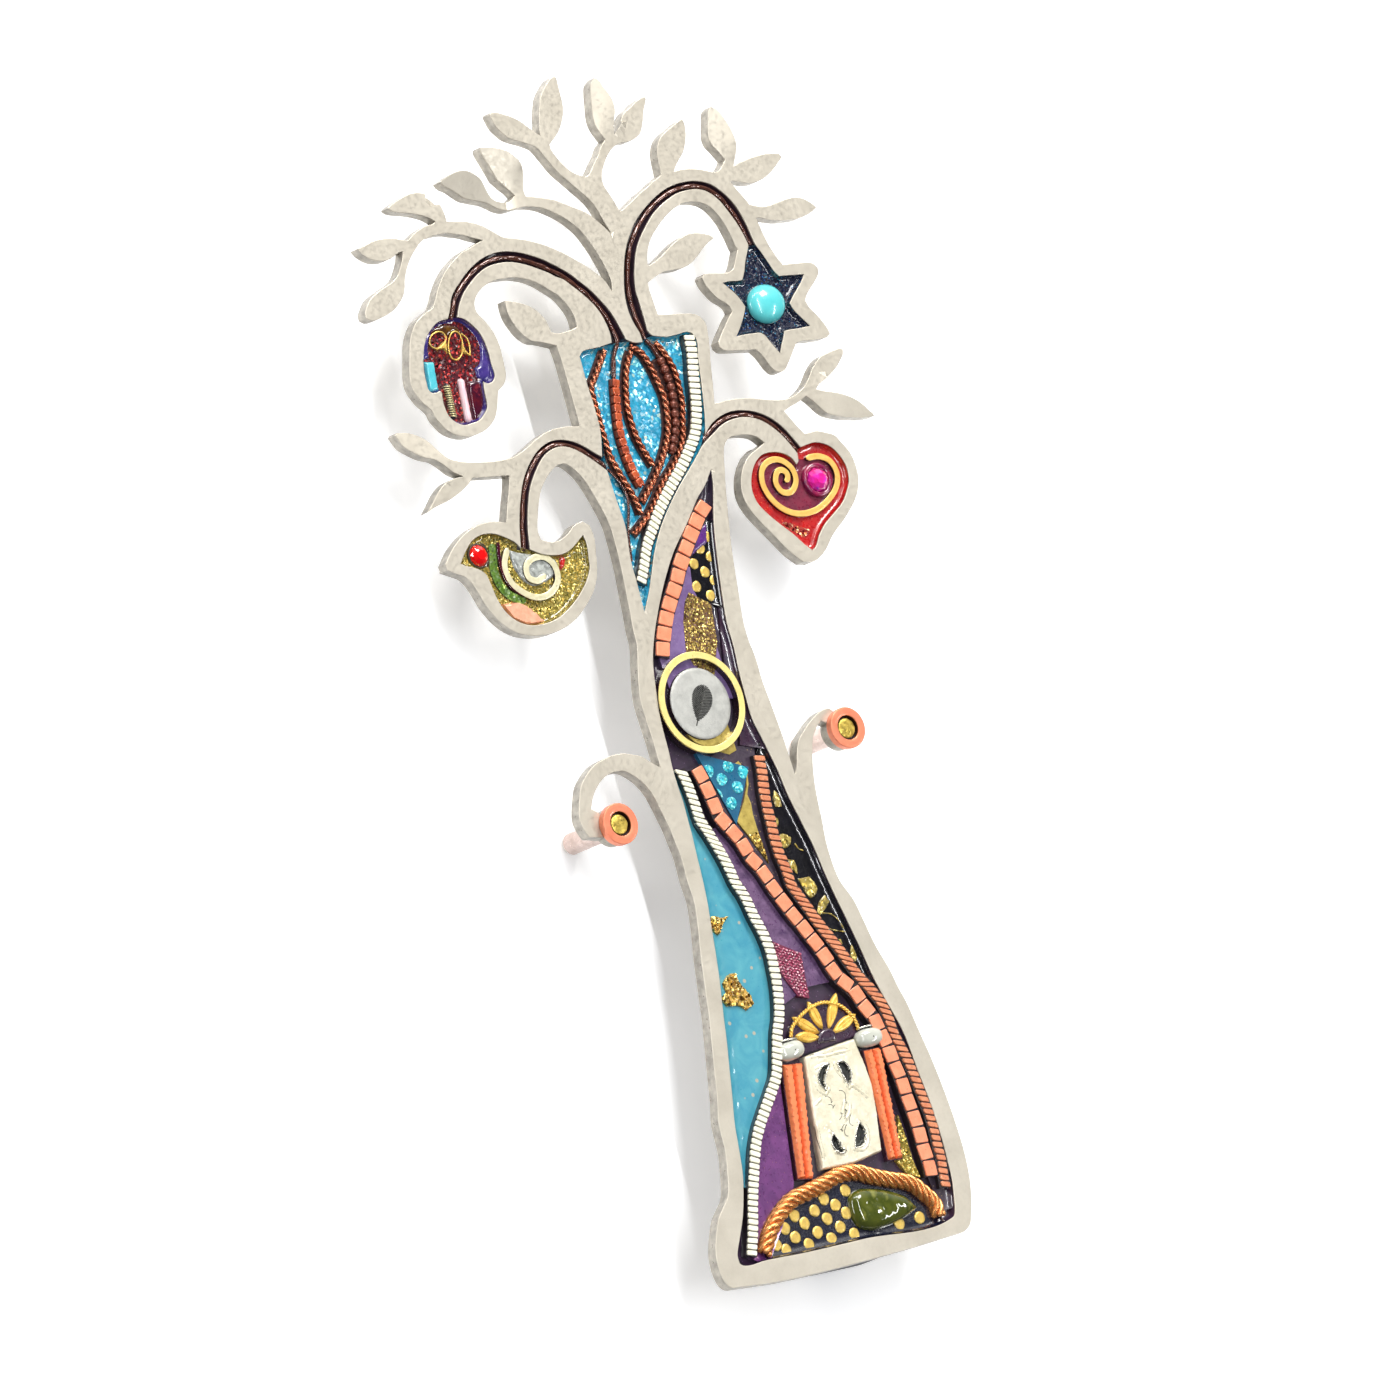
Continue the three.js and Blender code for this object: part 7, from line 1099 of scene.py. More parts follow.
far = lambda x, z: [(x, z)]
field("turquoise_clay_field", np.r_[cut(sil, -22, 24), [(-30, -22), (-30, 24)]], M_TURQ, "turquoise_field")
col_l = A_([(-5.6, -8.6), (-7.9, -22.6)])
field("purple_clay_field", np.r_[cut(sil, -30, 17), [(-14.5, -31), (-8.6, -24.5), (-7.6, -22.6), (-5.4, -9.9), (-4.9, -8.0), (-4.4, -6.0), (-2.9, -3.6), (1.5, -2.0)], cut(til, -2.0, 17.5)[::-1]],
      [M_PURPLE, M_MAGENTA], "purple_field", mat=lambda c: (c[:, 1] < -9.5).astype(int).tolist())
field("charcoal_clay_field", np.r_[[(-0.6, 25.4)], cut(til, 9, 24), cut(til, -27, 9), [(11.0, -29), (14, -29)], cut(cop, -27, 24)[::-1], [(3.4, 25.2)]],
      M_CHARCOAL, "charcoal_field", base=-7.82)
field("gold_foil_clay_field", FOIL, [M_FOILFLAT, M_FOIL], "gold_foil_field", base=-7.97, grid=0.3,
      mat=lambda c: ((c[:, 1] < 15.6)).astype(int).tolist(), height=lambda p: field_y(p, -7.97) - 0.05 * np.abs(N2(p, 1.6, 2.0)) - 0.03 * N2(p, 4.0, 1))
field("gold_foil_top", [(-5.06, 27.67), (-3.55, 28.3), (-1.73, 28.8), (0.6, 28.9), (0.9, 24.9), (-0.2, 24.6), (-2.52, 25.6), (-4.32, 26.7)], M_FOILFLAT, base=-7.93, grid=0.4, slot="gold_foil")
teal = ccw(smooth([(-4.6, 25.4), (1.75, 22.8), (-1.9, 17.0), (-3.0, 20.4)], True, 0.4, 30))
acc = Acc()
slab(acc, [offset(teal, 0.05)], -7.3, lambda p: np.full(len(p), -8.0) - 0.02 * N2(p, 0.8), 0.5, 0)
for i, c in enumerate(TEAL_DOTS):
    lp = disc_loop(c, 0.72, 26, wob=0.05, seed=i)
    lp = lp[inside(lp, [offset(teal, 0.1)])]
    if len(lp) > 5: pillow(acc, lp, -7.99, 0.09, 0.14, mat=1)
make("teal_dotted_patch", acc, [M_TEAL, M_TEALDOT], (), angle=50, slot="turquoise_resin")
field("black_gold_field", np.r_[cut(cop, -6, 24), [(20, -6), (20, 26), (4.5, 26)]], M_BLACK, "gold_blob_field")
acc = Acc()
for i, bl in enumerate(BLOBS):
    lp = ccw(smooth(bl, True, 0.25, 60)); lp = lp.mean(0) + (lp - lp.mean(0)) * 1.22
    lp = lp[inside(lp, [offset(LOW, -0.35)])]
    if len(lp) > 4: pillow(acc, lp, -7.86, 0.13, 0.16, 0.14, 0, 0.05, 2.5)
for vn in VEINS:
    c = smooth(vn, False, 0.15, 60)
    sweep(acc, np.c_[c[:, 0], np.full(len(c), -7.93), c[:, 1]], 0.06 + 0.03 * np.sin(np.arange(len(c)) * 0.9), 8)
make("gold_leaf_pieces", acc, M_BLOBGOLD, (), angle=50, slot="gold_foil")
acc = Acc()
for i, fl in enumerate((FLAKE_A, FLAKE_B)):
    lp = ccw(smooth(fl, True, 0.16, 50))
    lp = lp + 0.05 * np.c_[N2(lp, 3.1, 4), N2(lp, 3.3, 9)]
    pillow(acc, lp, -7.86, 0.3, 0.14, 0.1 if not q else 0.2, 0, 0.16, 3.2)
make("crumpled_flakes", acc, M_FLAKEGOLD, (), angle=30, slot="gold_foil")
acc = Acc()
lp = ccw(smooth([(-1.53, 3.63), (1.79, 1.73), (1.24, -3.28), (-0.18, -2.82), (-1.75, 0.61)], True, 0.3, 30))
lp = lp[inside(lp, [np.r_[cut(sil, -8, 12), cut(til, -8, 12)[::-1]]])] if False else lp
slab(acc, [lp], -7.3, lambda p: np.full(len(p), -8.0), 0.5, 0)
u, w = A_([0.42, -0.18]), A_([0.16, 0.40])
for i in range(-14, 15):
    for j in range(-14, 15):
        c = A_((0.1, 0.3)) + u * (i + 0.5 * (j % 2)) + w * j * 0.72
        if inside(c[None], [offset(lp, -0.12)])[0]:
            superquad(acc, (c[0], -8.03, c[1]), (0.2, 0.1, 0.11), (0.7, 0.7), 12, 8, math.atan2(u[1], u[0]) + (0.5 if (i + j) % 2 else -0.35), 1)
make("pink_weave", acc, [M_PINKBED, M_PINK], "pink_woven_patch", angle=60)

# trunk: dotted black, lilac band, olive glitter
field("black_dotted_clay", np.r_[cut(ttl, 42.5, 52)[::-1] if cut(ttl, 42.5, 52)[0, 1] < cut(ttl, 42.5, 52)[-1, 1] else cut(ttl, 42.5, 52), [(0.6, 42.6), (2.6, 41.4), (7.5, 38.5), (12, 38.5), (12, 49.6), (4.6, 50.2)]], M_BLACK, "dotted_trunk_field")
acc = Acc()
for i, c in enumerate(TRUNK_DOTS):
    lp = disc_loop(c, 0.62, 24, wob=0.04, seed=i)
    lp = lp[inside(lp, [offset(LOW, -0.3)])]
    if len(lp) > 5: pillow(acc, lp, -7.86, 0.13, 0.16, 0.14)
make("trunk_gold_dots", acc, M_DOTGOLD, (), angle=50, slot="gold_foil")
field("lilac_clay_band", np.r_[cut(ttl, 35.5, 46), [(-5.6, 32.5), (2.5, 30.5), (2.0, 40.0), (1.2, 43.2), (1.6, 45.6)]], M_LILAC, base=-7.9, slot="purple_clay")
field("olive_glitter_patch", [(0.5, 42.9), (1.52, 42.14), (3.0, 41.2), (2.4, 37.0), (0.6, 33.0), (-1.6, 35.0), (-2.1, 36.6), (-1.3, 39.91), (-0.4, 41.95)], M_BRONZEGLIT, base=-7.96, grid=0.4, slot="olive_glitter",
      height=lambda p: field_y(p, -7.96) - 0.05 * N2(p, 2.5, 4))
field("dark_plum_right", [(3.8, 40.6), (12, 38.6), (12, 24), (5.5, 24), (1.6, 25.4), (3.2, 30.5), (2.4, 33.5), (3.1, 37.0)], M_DKPLUM, base=-7.88, slot="purple_clay")
acc = Acc()
pillow(acc, ccw(smooth([(3.96, 49.56), (5.4, 50.0), (4.77, 47.85), (2.37, 46.8), (1.56, 46.5), (3.08, 48.23)], True, 0.2, 30)), -7.8, 0.28, 0.2, 0.2)
make("purple_tip_piece", acc, M_PURPLETIP, (), angle=60, slot="purple_clay")

# ------------------------------------------------------------------ ring and disc
ac = (-2.499, 30.682)
acc = Acc()
prof = [(4.9, 0.0), (5.68, 0.0), (5.70, 1.2)] + [(5.62 + 0.08 * math.cos(a), 1.32 + 0.08 * math.sin(a)) for a in np.linspace(0, math.pi / 2, 5)]
prof += [(5.0 + 0.08 * math.cos(a), 1.32 + 0.08 * math.sin(a)) for a in np.linspace(math.pi / 2, math.pi, 5)] + [(4.9, 1.1)]
lathe(acc, prof, ac, -7.4, 120, closed=True)
rr_ = [max(math.hypot(acc.v[0][i][0] - ac[0], acc.v[0][i][2] - ac[1]) for i in f) for f in acc.f]; yy_ = [max(acc.v[0][i][1] for i in f) for f in acc.f]
# lower parts of the ring's inner and outer walls take the dark maroon: painted shade
acc.m = [1 if y_ > -8.6 and (r_ < 4.95 or r_ > 5.69) else 0 for r_, y_ in zip(rr_, yy_)]
make("gold_ring_band", acc, [M_GOLDRING, M_RECESS_SHADE], "gold_ring", angle=35)
acc = Acc()
# maroon plate showing in the gap between disc and ring: painted shade in that gap
lathe(acc, [(0, 0.0), (4.84, 0.0), (4.84, 0.12), (4.3, 0.06), (0, 0.06)], ac, -7.35, 96, mat=1)
dc = (-2.3, 30.66)
dome = lambda r: 0.78 + 0.2 * math.sqrt(max(0, 1 - (r / 4.4) ** 2))
# the disc's rim wall takes the dark maroon: painted shade on its side
lathe(acc, [(3.9, 0.0), (4.02, 0.06), (4.06, 0.3), (4.06, 0.62), (4.0, 0.76), (3.9, 0.8)], dc, -7.35, 96, mat=1, closed=True)
prof = [(0, 0.1), (3.6, 0.1), (3.98, 0.4), (4.0, 0.78)] + [(r, dome(r)) for r in (3.9, 3.6, 3.2, 2.6, 2.0, 1.2, 0.6)] + [(0, dome(0))]
lathe(acc, prof, dc, -7.35, 96, mat=0)
# a generic slanted leaf, drawn with short dark strokes
ax_ = A_([math.cos(math.radians(58)), math.sin(math.radians(58))]); bx_ = A_([-ax_[1], ax_[0]])
for i in range(-11, 12):
    tt = i / 11.5; half = 1.3 * (1 - tt * tt) ** 0.8
    for sgn in (-1, 1):
        if half < 0.12: continue
        p0 = A_(dc) + ax_ * (tt * 2.15) + bx_ * (0.07 * sgn); p1 = A_(dc) + ax_ * (tt * 2.15 + 0.4 * half) + bx_ * (half * sgn)
        r_ = np.linalg.norm(p0 - dc); y_ = -7.35 - dome(r_) - 0.0
        pts_ = [p0 * (1 - s) + p1 * s for s in np.linspace(0, 1, 5)]
        sweep(acc, [(a[0], -7.35 - dome(np.linalg.norm(a - dc)) - 0.01, a[1]) for a in pts_], 0.075, 6, 2, squash=0.6)
pts_ = [A_(dc) + ax_ * s for s in np.linspace(-2.7, 1.9, 14)]
sweep(acc, [(a[0], -7.35 - dome(np.linalg.norm(a - dc)) - 0.01, a[1]) for a in pts_], 0.075, 8, 2, squash=0.6)
make("frosted_disc", acc, [M_DISC, M_RECESS_SHADE, M_HATCH], "silver_disc", angle=50)

# ------------------------------------------------------------------ half rosette
acc = Acc()
slab(acc, [ccw(smooth(np.r_[A_(ROSETTE_ARC), A_([(6.0, -8.3), (-2.4, -9.2)])], True, 0.3, 50))], -7.2, lambda p: np.full(len(p), -8.05) - 0.02 * N2(p, 1.2), 0.5, 1)
arc = smooth(ROSETTE_ARC, False, 0.15, 70)
twist(acc, arc, -8.32, 0.1, 0.13, 0.8, 2, 8, 10, mat=0)
rc = A_(ROSETTE_C)
for i, tp in enumerate(PETALS):
    tp = rc + (A_(tp) - rc) * 1.62; L = np.linalg.norm(tp - rc); u_ = (tp - rc) / L; v_ = A_([-u_[1], u_[0]])
    s0 = 1.05 / L; ts = np.linspace(s0, 1, 16); hw = 0.55 * np.maximum(np.sin(np.pi * (ts - s0) / (1 - s0)), 0) ** 0.75 * (1 + 0.25 * (ts - s0)) + 0.02
    lp = np.r_[[rc + u_ * L * a_ + v_ * h_ for a_, h_ in zip(ts, hw)], [rc + u_ * L * a_ - v_ * h_ for a_, h_ in list(zip(ts, hw))[::-1]]]
    pillow(acc, lp, -8.02, 0.34, 0.3, 0.14, 0)
    sweep(acc, [(*(rc + u_ * L * a_), ) and ((rc + u_ * L * a_)[0], -8.36, (rc + u_ * L * a_)[1]) for a_ in np.linspace(s0 + 0.05, 0.95, 8)], 0.05, 6, 0)
pillow(acc, ccw(smooth(SEMI, True, 0.15, 60)), -8.0, 0.38, 0.45, 0.16, 1)
make("sunburst_rosette", acc, [M_PETAL, M_DKPLUM], "half_rosette", angle=60)

# ------------------------------------------------------------------ columns, beads, plaque
COLS = {"left": [(-5.04, -9.82), (-2.38, -10.06), (-5.23, -22.58), (-7.14, -22.27)], "right": [(6.35, -10.18), (8.61, -10.15), (7.34, -22.46), (5.52, -22.34)]}
for side, quad in COLS.items():
    a_, b_, c_, d_ = map(A_, quad); acc = Acc()
    m0, m1 = (a_ + b_) / 2, (d_ + c_) / 2; g_ = A_([0.05, 0.0])
    def dense(pp): return smooth(pp, True, 0.35, 10)
    slab(acc, [ccw(A_([a_ + (-0.14, 0.1), b_ + (0.14, 0.1), c_ + (0.14, -0.12), d_ + (-0.14, -0.12)]))], -7.2, -8.15, 0, 1)
    for lp in ([a_, m0 - g_, m1 - g_, d_], [m0 + g_, b_, c_, m1 + g_]):
        pillow(acc, dense(lp), -8.0, 0.62, 0.16, 0.3, rough=0.004)
    make("copper_column_" + side, acc, [M_COLUMN, M_PLUMSIDE], "column_" + side, angle=40)
for side, c, r_ in (("left", (-3.4, -8.5), 0.12), ("right", (7.45, -8.85), 0.02)):
    acc = Acc()
    superquad(acc, (c[0], -8.12, c[1]), (1.86, 0.9, 1.06), (0.86, 0.82), 36, 22, r_, 0)
    x, z = c
    cap_ = [(x + 1.15 * math.cos(a), -8.3 - 0.28 * math.sin(a), z + 1.12 + 0.13 * math.sin(a)) for a in np.linspace(math.pi * 0.02, math.pi * 0.98, 18)]
    sweep(acc, cap_, 0.11, 8, 1)
    sweep(acc, [(px_, -8.1, pz_ - 0.12) for px_, _, pz_ in cap_], 0.15, 8, 2)
    lathe(acc, [(0, 0), (0.13, 0), (0.13, 0.06), (0.08, 0.09), (0, 0.09)], (x + 0.1, z - 0.05), -8.93, 14, 2)
    make("pearl_capital_" + side, acc, [M_PEARL, M_SILVER, M_BLACKGAP], "capital_bead_" + side, angle=60)

pq = ccw(smooth([(-2.0, -9.45), (1.5, -9.0), (5.35, -8.6), (6.0, -13.8), (4.85, -21.3), (0.8, -21.9), (-3.75, -21.9), (-2.9, -15.5)], True, 0.3, 30))
pq = pq + 0.05 * np.c_[N2(pq, 1.4, 2), N2(pq, 1.5, 6)]
alm = [ccw(smooth(a, True, 0.12, 60)) for a in ALMONDS]
rid = [smooth(r, False, 0.12, 70) for r in PLAQUE_RIDGES]
def plaque_y(p):
    d = np.minimum(edge_dist(p, [pq]) / 0.22, 1)
    y = -8.0 - 0.5 * np.sqrt(np.maximum(0, 1 - (1 - d) ** 2)) - 0.035 * N2(p, 1.3, 5) - 0.03 * N2(p, 3.0, 7)
    for r in rid:
        dd = np.abs(line_dist(p, r)); y -= 0.10 * np.exp(-(dd / 0.10) ** 2); y += 0.05 * np.exp(-((dd - 0.22) / 0.09) ** 2)
    for a in alm:
        ins = inside(p, [a]); dd = edge_dist(p, [a])
        y -= 0.09 * np.exp(-((dd - 0.06) / 0.08) ** 2) * ~ins
        y += np.where(ins, 0.34 * np.minimum(dd / 0.14, 1), 0)
    return y
acc = Acc()
slab(acc, [pq], -7.2, plaque_y, 0.14 if not q else 0.3, lambda c: np.any([inside(c, [a]) for a in alm], axis=0).astype(int).tolist(), rings=(0.06, 0.14))
def on_plaque(c, dy=0.0): return np.c_[c[:, 0], plaque_y(c) + dy, c[:, 1]]
for a in alm:
    c = offset(a, 0.1); sweep(acc, on_plaque(c, 0.02), 0.085, 7, 2, True, squash=0.8)
    c = offset(a, 0.24); sweep(acc, on_plaque(c, 0.03), 0.04, 5, 1, True, squash=0.7)
for r in rid:
    for d_ in (-0.2, 0.2): sweep(acc, on_plaque(beside(r, d_), 0.02), 0.05, 5, 1, squash=0.7)
for k_ in range(9):
    t_ = np.linspace(0, 1, 16); cx = -0.9 + 5.0 * RNG.rand(); cz = -12.0 - 8.2 * RNG.rand(); an = RNG.rand() * 6.28
    c = np.c_[cx + 0.9 * (t_ - 0.5) * math.cos(an) + 0.25 * np.sin(6 * t_ + an), cz + 1.1 * (t_ - 0.5) * math.sin(an) + 0.25 * np.cos(5 * t_ + an)]
    if inside(c, [offset(pq, -0.5)]).all() and not np.any([inside(c, [offset(a, 0.25)]).any() for a in alm]): sweep(acc, on_plaque(c, 0.01), 0.05, 5, 1, squash=0.7)
make("hammered_plaque", acc, [M_IVORY, M_GROOVE, M_SILVER], "cast_plaque", angle=70)
field("olive_strip_field", OLIVE_STRIP, M_OLIVE, base=-7.95, grid=0.4, slot="olive_glitter")

# ------------------------------------------------------------------ rope, base dots and stone
acc = Acc()
rr = smooth(L_ROPE, False, 0.2, 70)
d_ = np.r_[0, np.cumsum(np.linalg.norm(np.diff(rr, axis=0), axis=1))]
ns = int(d_[-1] / 0.14) if not q else int(d_[-1] / 0.3); s_ = np.linspace(0, d_[-1], ns)
C_ = np.c_[np.interp(s_, d_, rr[:, 0]), np.interp(s_, d_, rr[:, 1])]
T_ = np.gradient(C_, axis=0); T_ /= np.linalg.norm(T_, axis=1)[:, None]; Nn = np.c_[-T_[:, 1], T_[:, 0]]
R_ = 0.64 * (1 + 0.04 * np.sin(s_ * 0.8))
for k in range(5):
    ph = -2 * np.pi * (s_ / 5.2 + k / 5)
    P_ = C_ + Nn * (R_ * np.cos(ph))[:, None]
    sweep(acc, np.c_[P_[:, 0], -8.08 + R_ * 0.8 * np.sin(ph), P_[:, 1]], 0.31, 12 if not q else 6)
slab(acc, [ccw(ribbon(rr, 1.9))], -7.3, -7.9, 0, 1)
make("braided_rope", acc, [M_ROPE, M_BROWNBED], "rope_chain", angle=70)
field("navy_base_field", np.r_[rope[2:-1], [(12.5, -33), (-15, -33)]], M_NAVYBASE, "base_dotted_field")
acc = Acc()
for i, c in enumerate(BASE_DOTS):
    lp = disc_loop(c, 0.7, 26, wob=0.04, seed=i)
    lp = lp[inside(lp, [offset(LOW, -0.3)])]
    if len(lp) > 5: pillow(acc, lp, -7.86, 0.14, 0.18, 0.16)
make("base_gold_dots", acc, M_DOTGOLD, (), angle=50, slot="gold_foil")
st = ccw(smooth([(-1.07, -25.46), (0.25, -24.77), (2.31, -24.99), (4.75, -25.73), (6.52, -26.7), (7.63, -28.17), (5.47, -28.91), (3.2, -29.4), (0.76, -29.44), (-0.87, -28.74), (-1.38, -27.12)], True, 0.25, 70))
acc = Acc()
sd = lambda p: np.minimum(edge_dist(p, [st]) / 1.5, 1)
slab(acc, [st], -7.6, lambda p: -7.8 - 1.15 * np.sqrt(np.maximum(0, 1 - (1 - sd(p)) ** 2)) - 0.16 * N2(p, 0.55, 4) * sd(p) - 0.06 * N2(p, 1.7, 9) * sd(p), 0.25, 0, rings=(0.05, 0.15, 0.3))
make("tumbled_stone", acc, M_STONE, "green_stone", angle=70)

# ------------------------------------------------------------------ hand charm
HP = offset(POCKET["hand"], -0.15)
acc = Acc()
for lp_ in (LOTUS_LEFT, LOTUS_MID):
    c = smooth(lp_, True, 0.12, 80); sweep(acc, np.c_[c[:, 0], np.full(len(c), -8.12), c[:, 1]], 0.085, 8, 0, closed=True)
c = smooth(LOTUS_RIGHT, False, 0.12, 80); sweep(acc, np.c_[c[:, 0], np.full(len(c), -8.12), c[:, 1]], 0.085, 8, 0)
for lp_ in (LOTUS_FILL_A, LOTUS_FILL_B): pillow(acc, smooth(lp_, True, 0.12, 40), -7.8, 0.36, 0.12, 0.12, 0)
make("lotus_outline", acc, M_GOLD, "hand_lotus", angle=60)
def clip_to(lp, region): lp = lp[inside(lp, [region])]; return lp
def slip(name, lp, mats, node=(), y=-7.8, h=0.2, r=0.2, grid=0.2, slot=None, region=None, rough=0.0):
    lp = ccw(smooth(lp, True, 0.15, 50))
    if region is not None: lp = clip_to(lp, region)
    acc = Acc(); pillow(acc, lp, y, h, r, grid, 0, rough, 2.0)
    return make(name, acc, mats, node, angle=60, slot=slot)
slip("hand_thumb_resin", HAND_THUMB, M_NAVYP, y=-7.8, h=0.34, r=0.4, slot="navy_glitter")
slip("hand_left_rim", HAND_RIM, M_NAVYP, y=-7.8, h=0.26, r=0.25, slot="navy_glitter")
slip("hand_amber_dome", HAND_DOME, M_BROWNRESIN, y=-7.8, h=0.24, r=0.3, slot="maroon_glitter")
slip("hand_finger_resin", HAND_FINGER, M_MAROONGLASS, y=-7.8, h=0.42, r=0.5, slot="maroon_glitter")
slip("hand_turquoise_bar", [(-26.03, 73.14), (-24.71, 72.93), (-25.13, 69.71), (-26.53, 69.71)], M_CHIP, "hand_turquoise_chip", y=-7.7, h=0.6, r=0.3)
acc = Acc()
p0, p1 = A_((-23.85, 70.15)), A_((-24.1, 66.6)); ns = 15 * 14; s_ = np.linspace(0, 1, ns)
u_ = (p1 - p0) / np.linalg.norm(p1 - p0); v_ = A_([-u_[1], u_[0]])
P_ = p0 + (p1 - p0) * s_[:, None] + v_ * (0.38 * np.cos(2 * np.pi * s_ * 14))[:, None]
sweep(acc, np.c_[P_[:, 0], -7.95 + 0.3 * np.sin(2 * np.pi * s_ * 14), P_[:, 1]], 0.075, 7, 0)
sweep(acc, [(*(p0 + (p1 - p0) * a)[:1], -7.9, (p0 + (p1 - p0) * a)[1]) for a in np.linspace(-0.02, 1.02, 8)], 0.26, 12, 1)
make("spring_coil", acc, [M_CREAM, M_COILBLK], "hand_spring_coil", angle=70)
acc = Acc()
P_ = [A_((-21.86, 70.3)) * (1 - a) + A_((-22.3, 65.95)) * a for a in np.linspace(0, 1, 24)]
sweep(acc, [(a[0], -7.98, a[1]) for a in P_], 0.42 + 0.02 * np.sin(np.arange(24)), 16, 0)
make("pink_glass_rod", acc, M_PINKGLASS, "hand_pink_bead", angle=60)

# ------------------------------------------------------------------ star, heart and bird stones
acc = Acc(); R0 = 2.14
prof = [(0, 0), (1.9, 0), (2.06, 0.1), (R0, 0.3)] + [(R0 * math.cos(a), 0.35 + 1.2 * math.sin(a)) for a in np.linspace(0.05, math.pi / 2 - 0.06, 14)] + [(0, 1.55)]
lathe(acc, prof, (21.505, 72.438), -7.7, 80)
acc.v[0] = acc.v[0] * (1.17, 1, 1.03) - (21.505 * 0.17, 0, 72.438 * 0.03) if hasattr(acc.v[0], "shape") else acc.v[0]
make("turquoise_cabochon", acc, M_TURQGEM, "star_cabochon", angle=70)
def band(name, line, w, top, mats, node, wend=1.0):
    c = smooth(line, False, 0.15, 70); n_ = len(c)
    ww = w / 2 * np.minimum(1, 0.35 + np.minimum(np.arange(n_), np.arange(n_)[::-1]) * 0.25)
    t_ = np.gradient(c, axis=0); t_ /= np.linalg.norm(t_, axis=1)[:, None]; nn_ = np.c_[-t_[:, 1], t_[:, 0]]
    acc = Acc(); secs = [(-1, 0.0), (-1, 0.86), (-0.94, 0.97), (-0.8, 1.0), (0.8, 1.0), (0.94, 0.97), (1, 0.86), (1, 0.0)]
    V_ = np.stack([np.c_[c[:, 0] + nn_[:, 0] * ww * a_, np.full(n_, -7.75 - (-7.75 - top) * b_), c[:, 1] + nn_[:, 1] * ww * a_] for a_, b_ in secs], 1).reshape(-1, 3)
    k_ = len(secs); F_ = []
    for i in range(n_ - 1):
        for j in range(k_):
            l = (j + 1) % k_; F_.append((i * k_ + j, i * k_ + l, (i + 1) * k_ + l, (i + 1) * k_ + j)[::-1])
    F_ += [tuple(range(k_)), tuple((n_ - 1) * k_ + j for j in range(k_))[::-1]]
    # side walls and underside of each strip take the dark maroon: painted shade along the strip sides
    mt_ = [1 if j in (0, 6, 7) else 0 for i in range(n_ - 1) for j in range(k_)] + [1, 1]
    acc.add(V_, F_, mt_); return make(name, acc, [mats, M_RECESS_SHADE], node, angle=30)
band("gold_heart_spiral", list(map(tuple, L_HEART_SPIRAL)) + [(17.2, 54.1), (17.78, 53.6), (17.66, 53.0), (17.2, 52.8)], 0.7, -8.32, M_SPIRALGOLD, "heart_spiral")
slip("heart_glitter_patch", HEART_GLITTER, M_REDGOLD, y=-7.75, h=0.2, r=0.3, slot="red_clay", rough=0.03)
gc = (21.711, 52.292)
acc = Acc()
prof = [(1.2, 0.0), (1.95, 0.0), (1.98, 0.25)] + [(1.66 + 0.3 * math.cos(a), 0.42 + 0.26 * math.sin(a)) for a in np.linspace(0.1, math.pi * 0.72, 9)] + [(1.25, 0.35)]
lathe(acc, prof, gc, -7.75, 64, closed=True)
make("gem_bezel", acc, M_GEMSET, "heart_gem_setting", angle=60)
def gem(name, c, r, h, mats, node, y0, n_=9, turn=0.3):
    rings_ = [(r * 0.9, 0.0, 0), (r, h * 0.3, 0), (r * 0.82, h * 0.68, 0.5), (r * 0.46, h, 0)]
    V_, F_ = [], []
    for rr_, hh_, off in rings_:
        for i in range(n_):
            a = 2 * math.pi * (i + off) / n_ + turn; V_.append((c[0] + rr_ * math.cos(a), y0 - hh_, c[1] + rr_ * math.sin(a)))
    for k_ in range(3):
        for i in range(n_):
            j = (i + 1) % n_; a0, a1, b0, b1 = k_ * n_ + i, k_ * n_ + j, (k_ + 1) * n_ + i, (k_ + 1) * n_ + j
            if k_ == 0: F_.append((a0, a1, b1, b0)[::-1])
            elif k_ == 1: F_ += [(a0, a1, b0)[::-1], (a1, b1, b0)[::-1]]
            else: F_ += [(a0, b1, b0)[::-1], (a0, a1, b1)[::-1]]
    F_ += [tuple(range(n_)), tuple(3 * n_ + i for i in range(n_))[::-1]]
    acc = Acc().add(V_, F_); return acc
make("faceted_gem", gem("g", gc, 1.35, 1.15, None, None, -7.85, 9), M_GEM, "heart_gem", angle=8)
be = (-25.978, 51.197)
acc = Acc(); lathe(acc, [(1.0, 0), (1.44, 0), (1.46, 0.2), (1.38, 0.34), (1.26, 0.36), (1.14, 0.25)], be, -7.75, 48, 1, closed=True)
g_ = gem("e", be, 1.2, 0.85, None, None, -7.8, 12); acc.add(g_.v[0], g_.f, 0)
make("red_eye_stone", acc, [M_REDGEM, M_DKEYE], "bird_eye", angle=8)
slip("bird_eye_ground", [(-28.6, 50.6), (-27.6, 52.3), (-26.0, 53.0), (-24.6, 52.6), (-24.2, 51.2), (-24.5, 49.9), (-25.6, 49.5), (-27.2, 49.9)], M_DKEYE, y=-7.75, h=0.16, r=0.2, slot="dark_clay", region=offset(POCKET["bird"], -0.3))
bg_ = A_(BIRD_GREEN); bm_ = A_(BIRD_MAROON)
band("bird_green_slip", np.r_[bg_[:1] + (-0.1, -0.1), bg_[1:]], 1.05, -8.08, M_GREEN, ())
bpy.data.objects["bird_green_slip"]
band("bird_maroon_slip", bm_, 0.42, -8.28, M_MAROONGLASS, ())
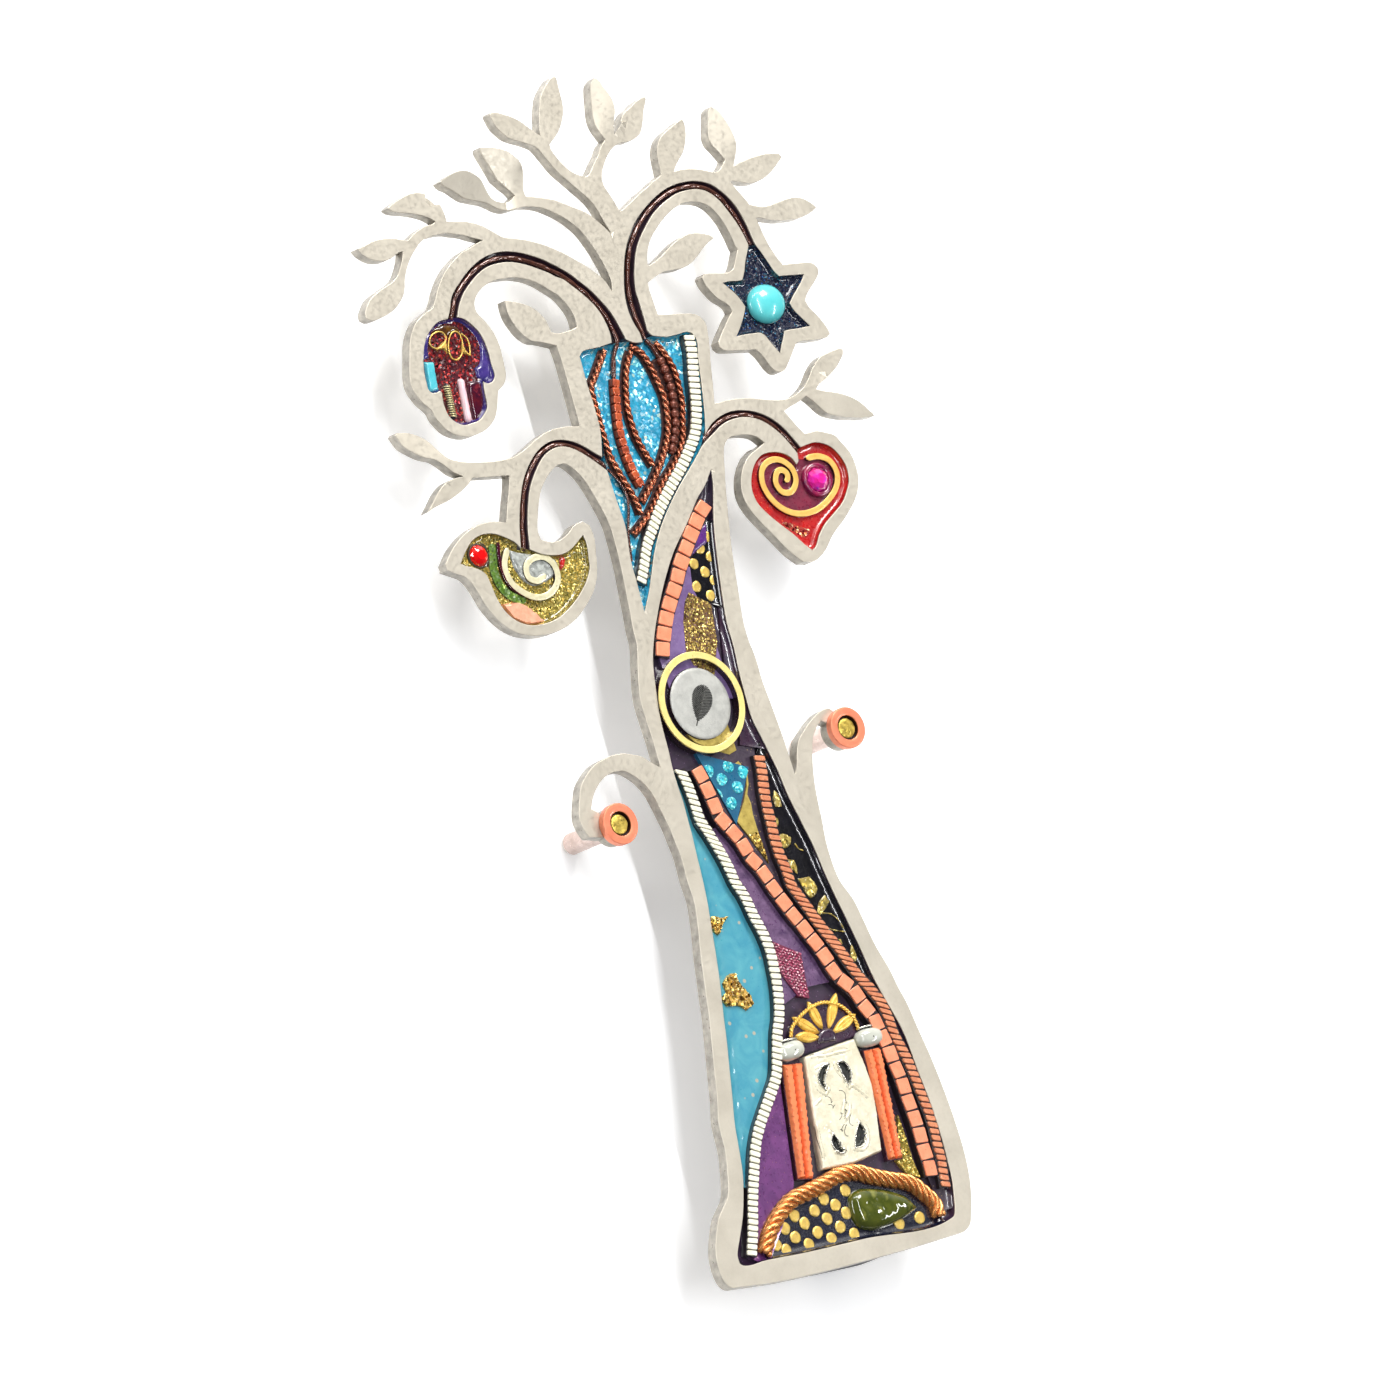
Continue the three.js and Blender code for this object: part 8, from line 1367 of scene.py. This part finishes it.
slip("bird_glass_chips", BIRD_GLASS, M_GREYGLASS, y=-7.75, h=0.36, r=0.3, slot="green_glass", region=offset(POCKET["bird"], -0.15), rough=0.06)
slip("bird_red_chip", BIRD_RED, M_RED, y=-7.75, h=0.44, r=0.15, slot="red_clay", region=offset(POCKET["bird"], -0.15))
band("cream_bird_spiral", [(x, z - 0.3) for x, z in L_BIRD_SPIRAL], 0.74, -8.34, M_SPIRALCREAM, "bird_spiral")
slip("peach_metal_chip", [(-24.86, 45.56), (-22.17, 45.25), (-19.6, 42.69), (-22.21, 42.85), (-23.81, 43.76)], M_PEACH, "bird_copper_chip", y=-7.7, h=0.62, r=0.12, rough=0.03)

# ------------------------------------------------------------------ the wall
wv, wf = [], []
nx = 24
for j in range(nx + 1):
    for i in range(nx + 1):
        x, z = -0.9 + 1.8 * i / nx, -0.85 + 1.8 * j / nx
        wv.append((x, 0.0004, z))
for j in range(nx):
    for i in range(nx):
        a = j * (nx + 1) + i; wf.append((a, a + 1, a + nx + 2, a + nx + 1))
wm = bpy.data.meshes.new("pale_wall"); wm.from_pydata(wv, [], wf); wm.update()
wall = bpy.data.objects.new("pale_wall", wm); bpy.context.scene.collection.objects.link(wall)
M_WALL = Mat("pale_wall_paint", (0.93, 0.93, 0.93), 0.9, 0.0)
M_WALL.col(M_WALL.mix(M_WALL.noise(0.05, 2), (0.92, 0.92, 0.925), (0.95, 0.95, 0.945)))
geo = M_WALL.n("ShaderNodeNewGeometry"); tr = M_WALL.n("ShaderNodeBsdfTransparent"); mx = M_WALL.n("ShaderNodeMixShader")
M_WALL.b.inputs["Emission Color"].default_value = (1, 1, 1, 1)
M_WALL.b.inputs["Emission Strength"].default_value = 0.34
out = M_WALL.t.nodes["Material Output"]
M_WALL.t.links.new(geo.outputs["Backfacing"], mx.inputs[0]); M_WALL.t.links.new(M_WALL.b.outputs[0], mx.inputs[1]); M_WALL.t.links.new(tr.outputs[0], mx.inputs[2])
M_WALL.t.links.new(mx.outputs[0], out.inputs[0])
wm.materials.append(M_WALL.m)
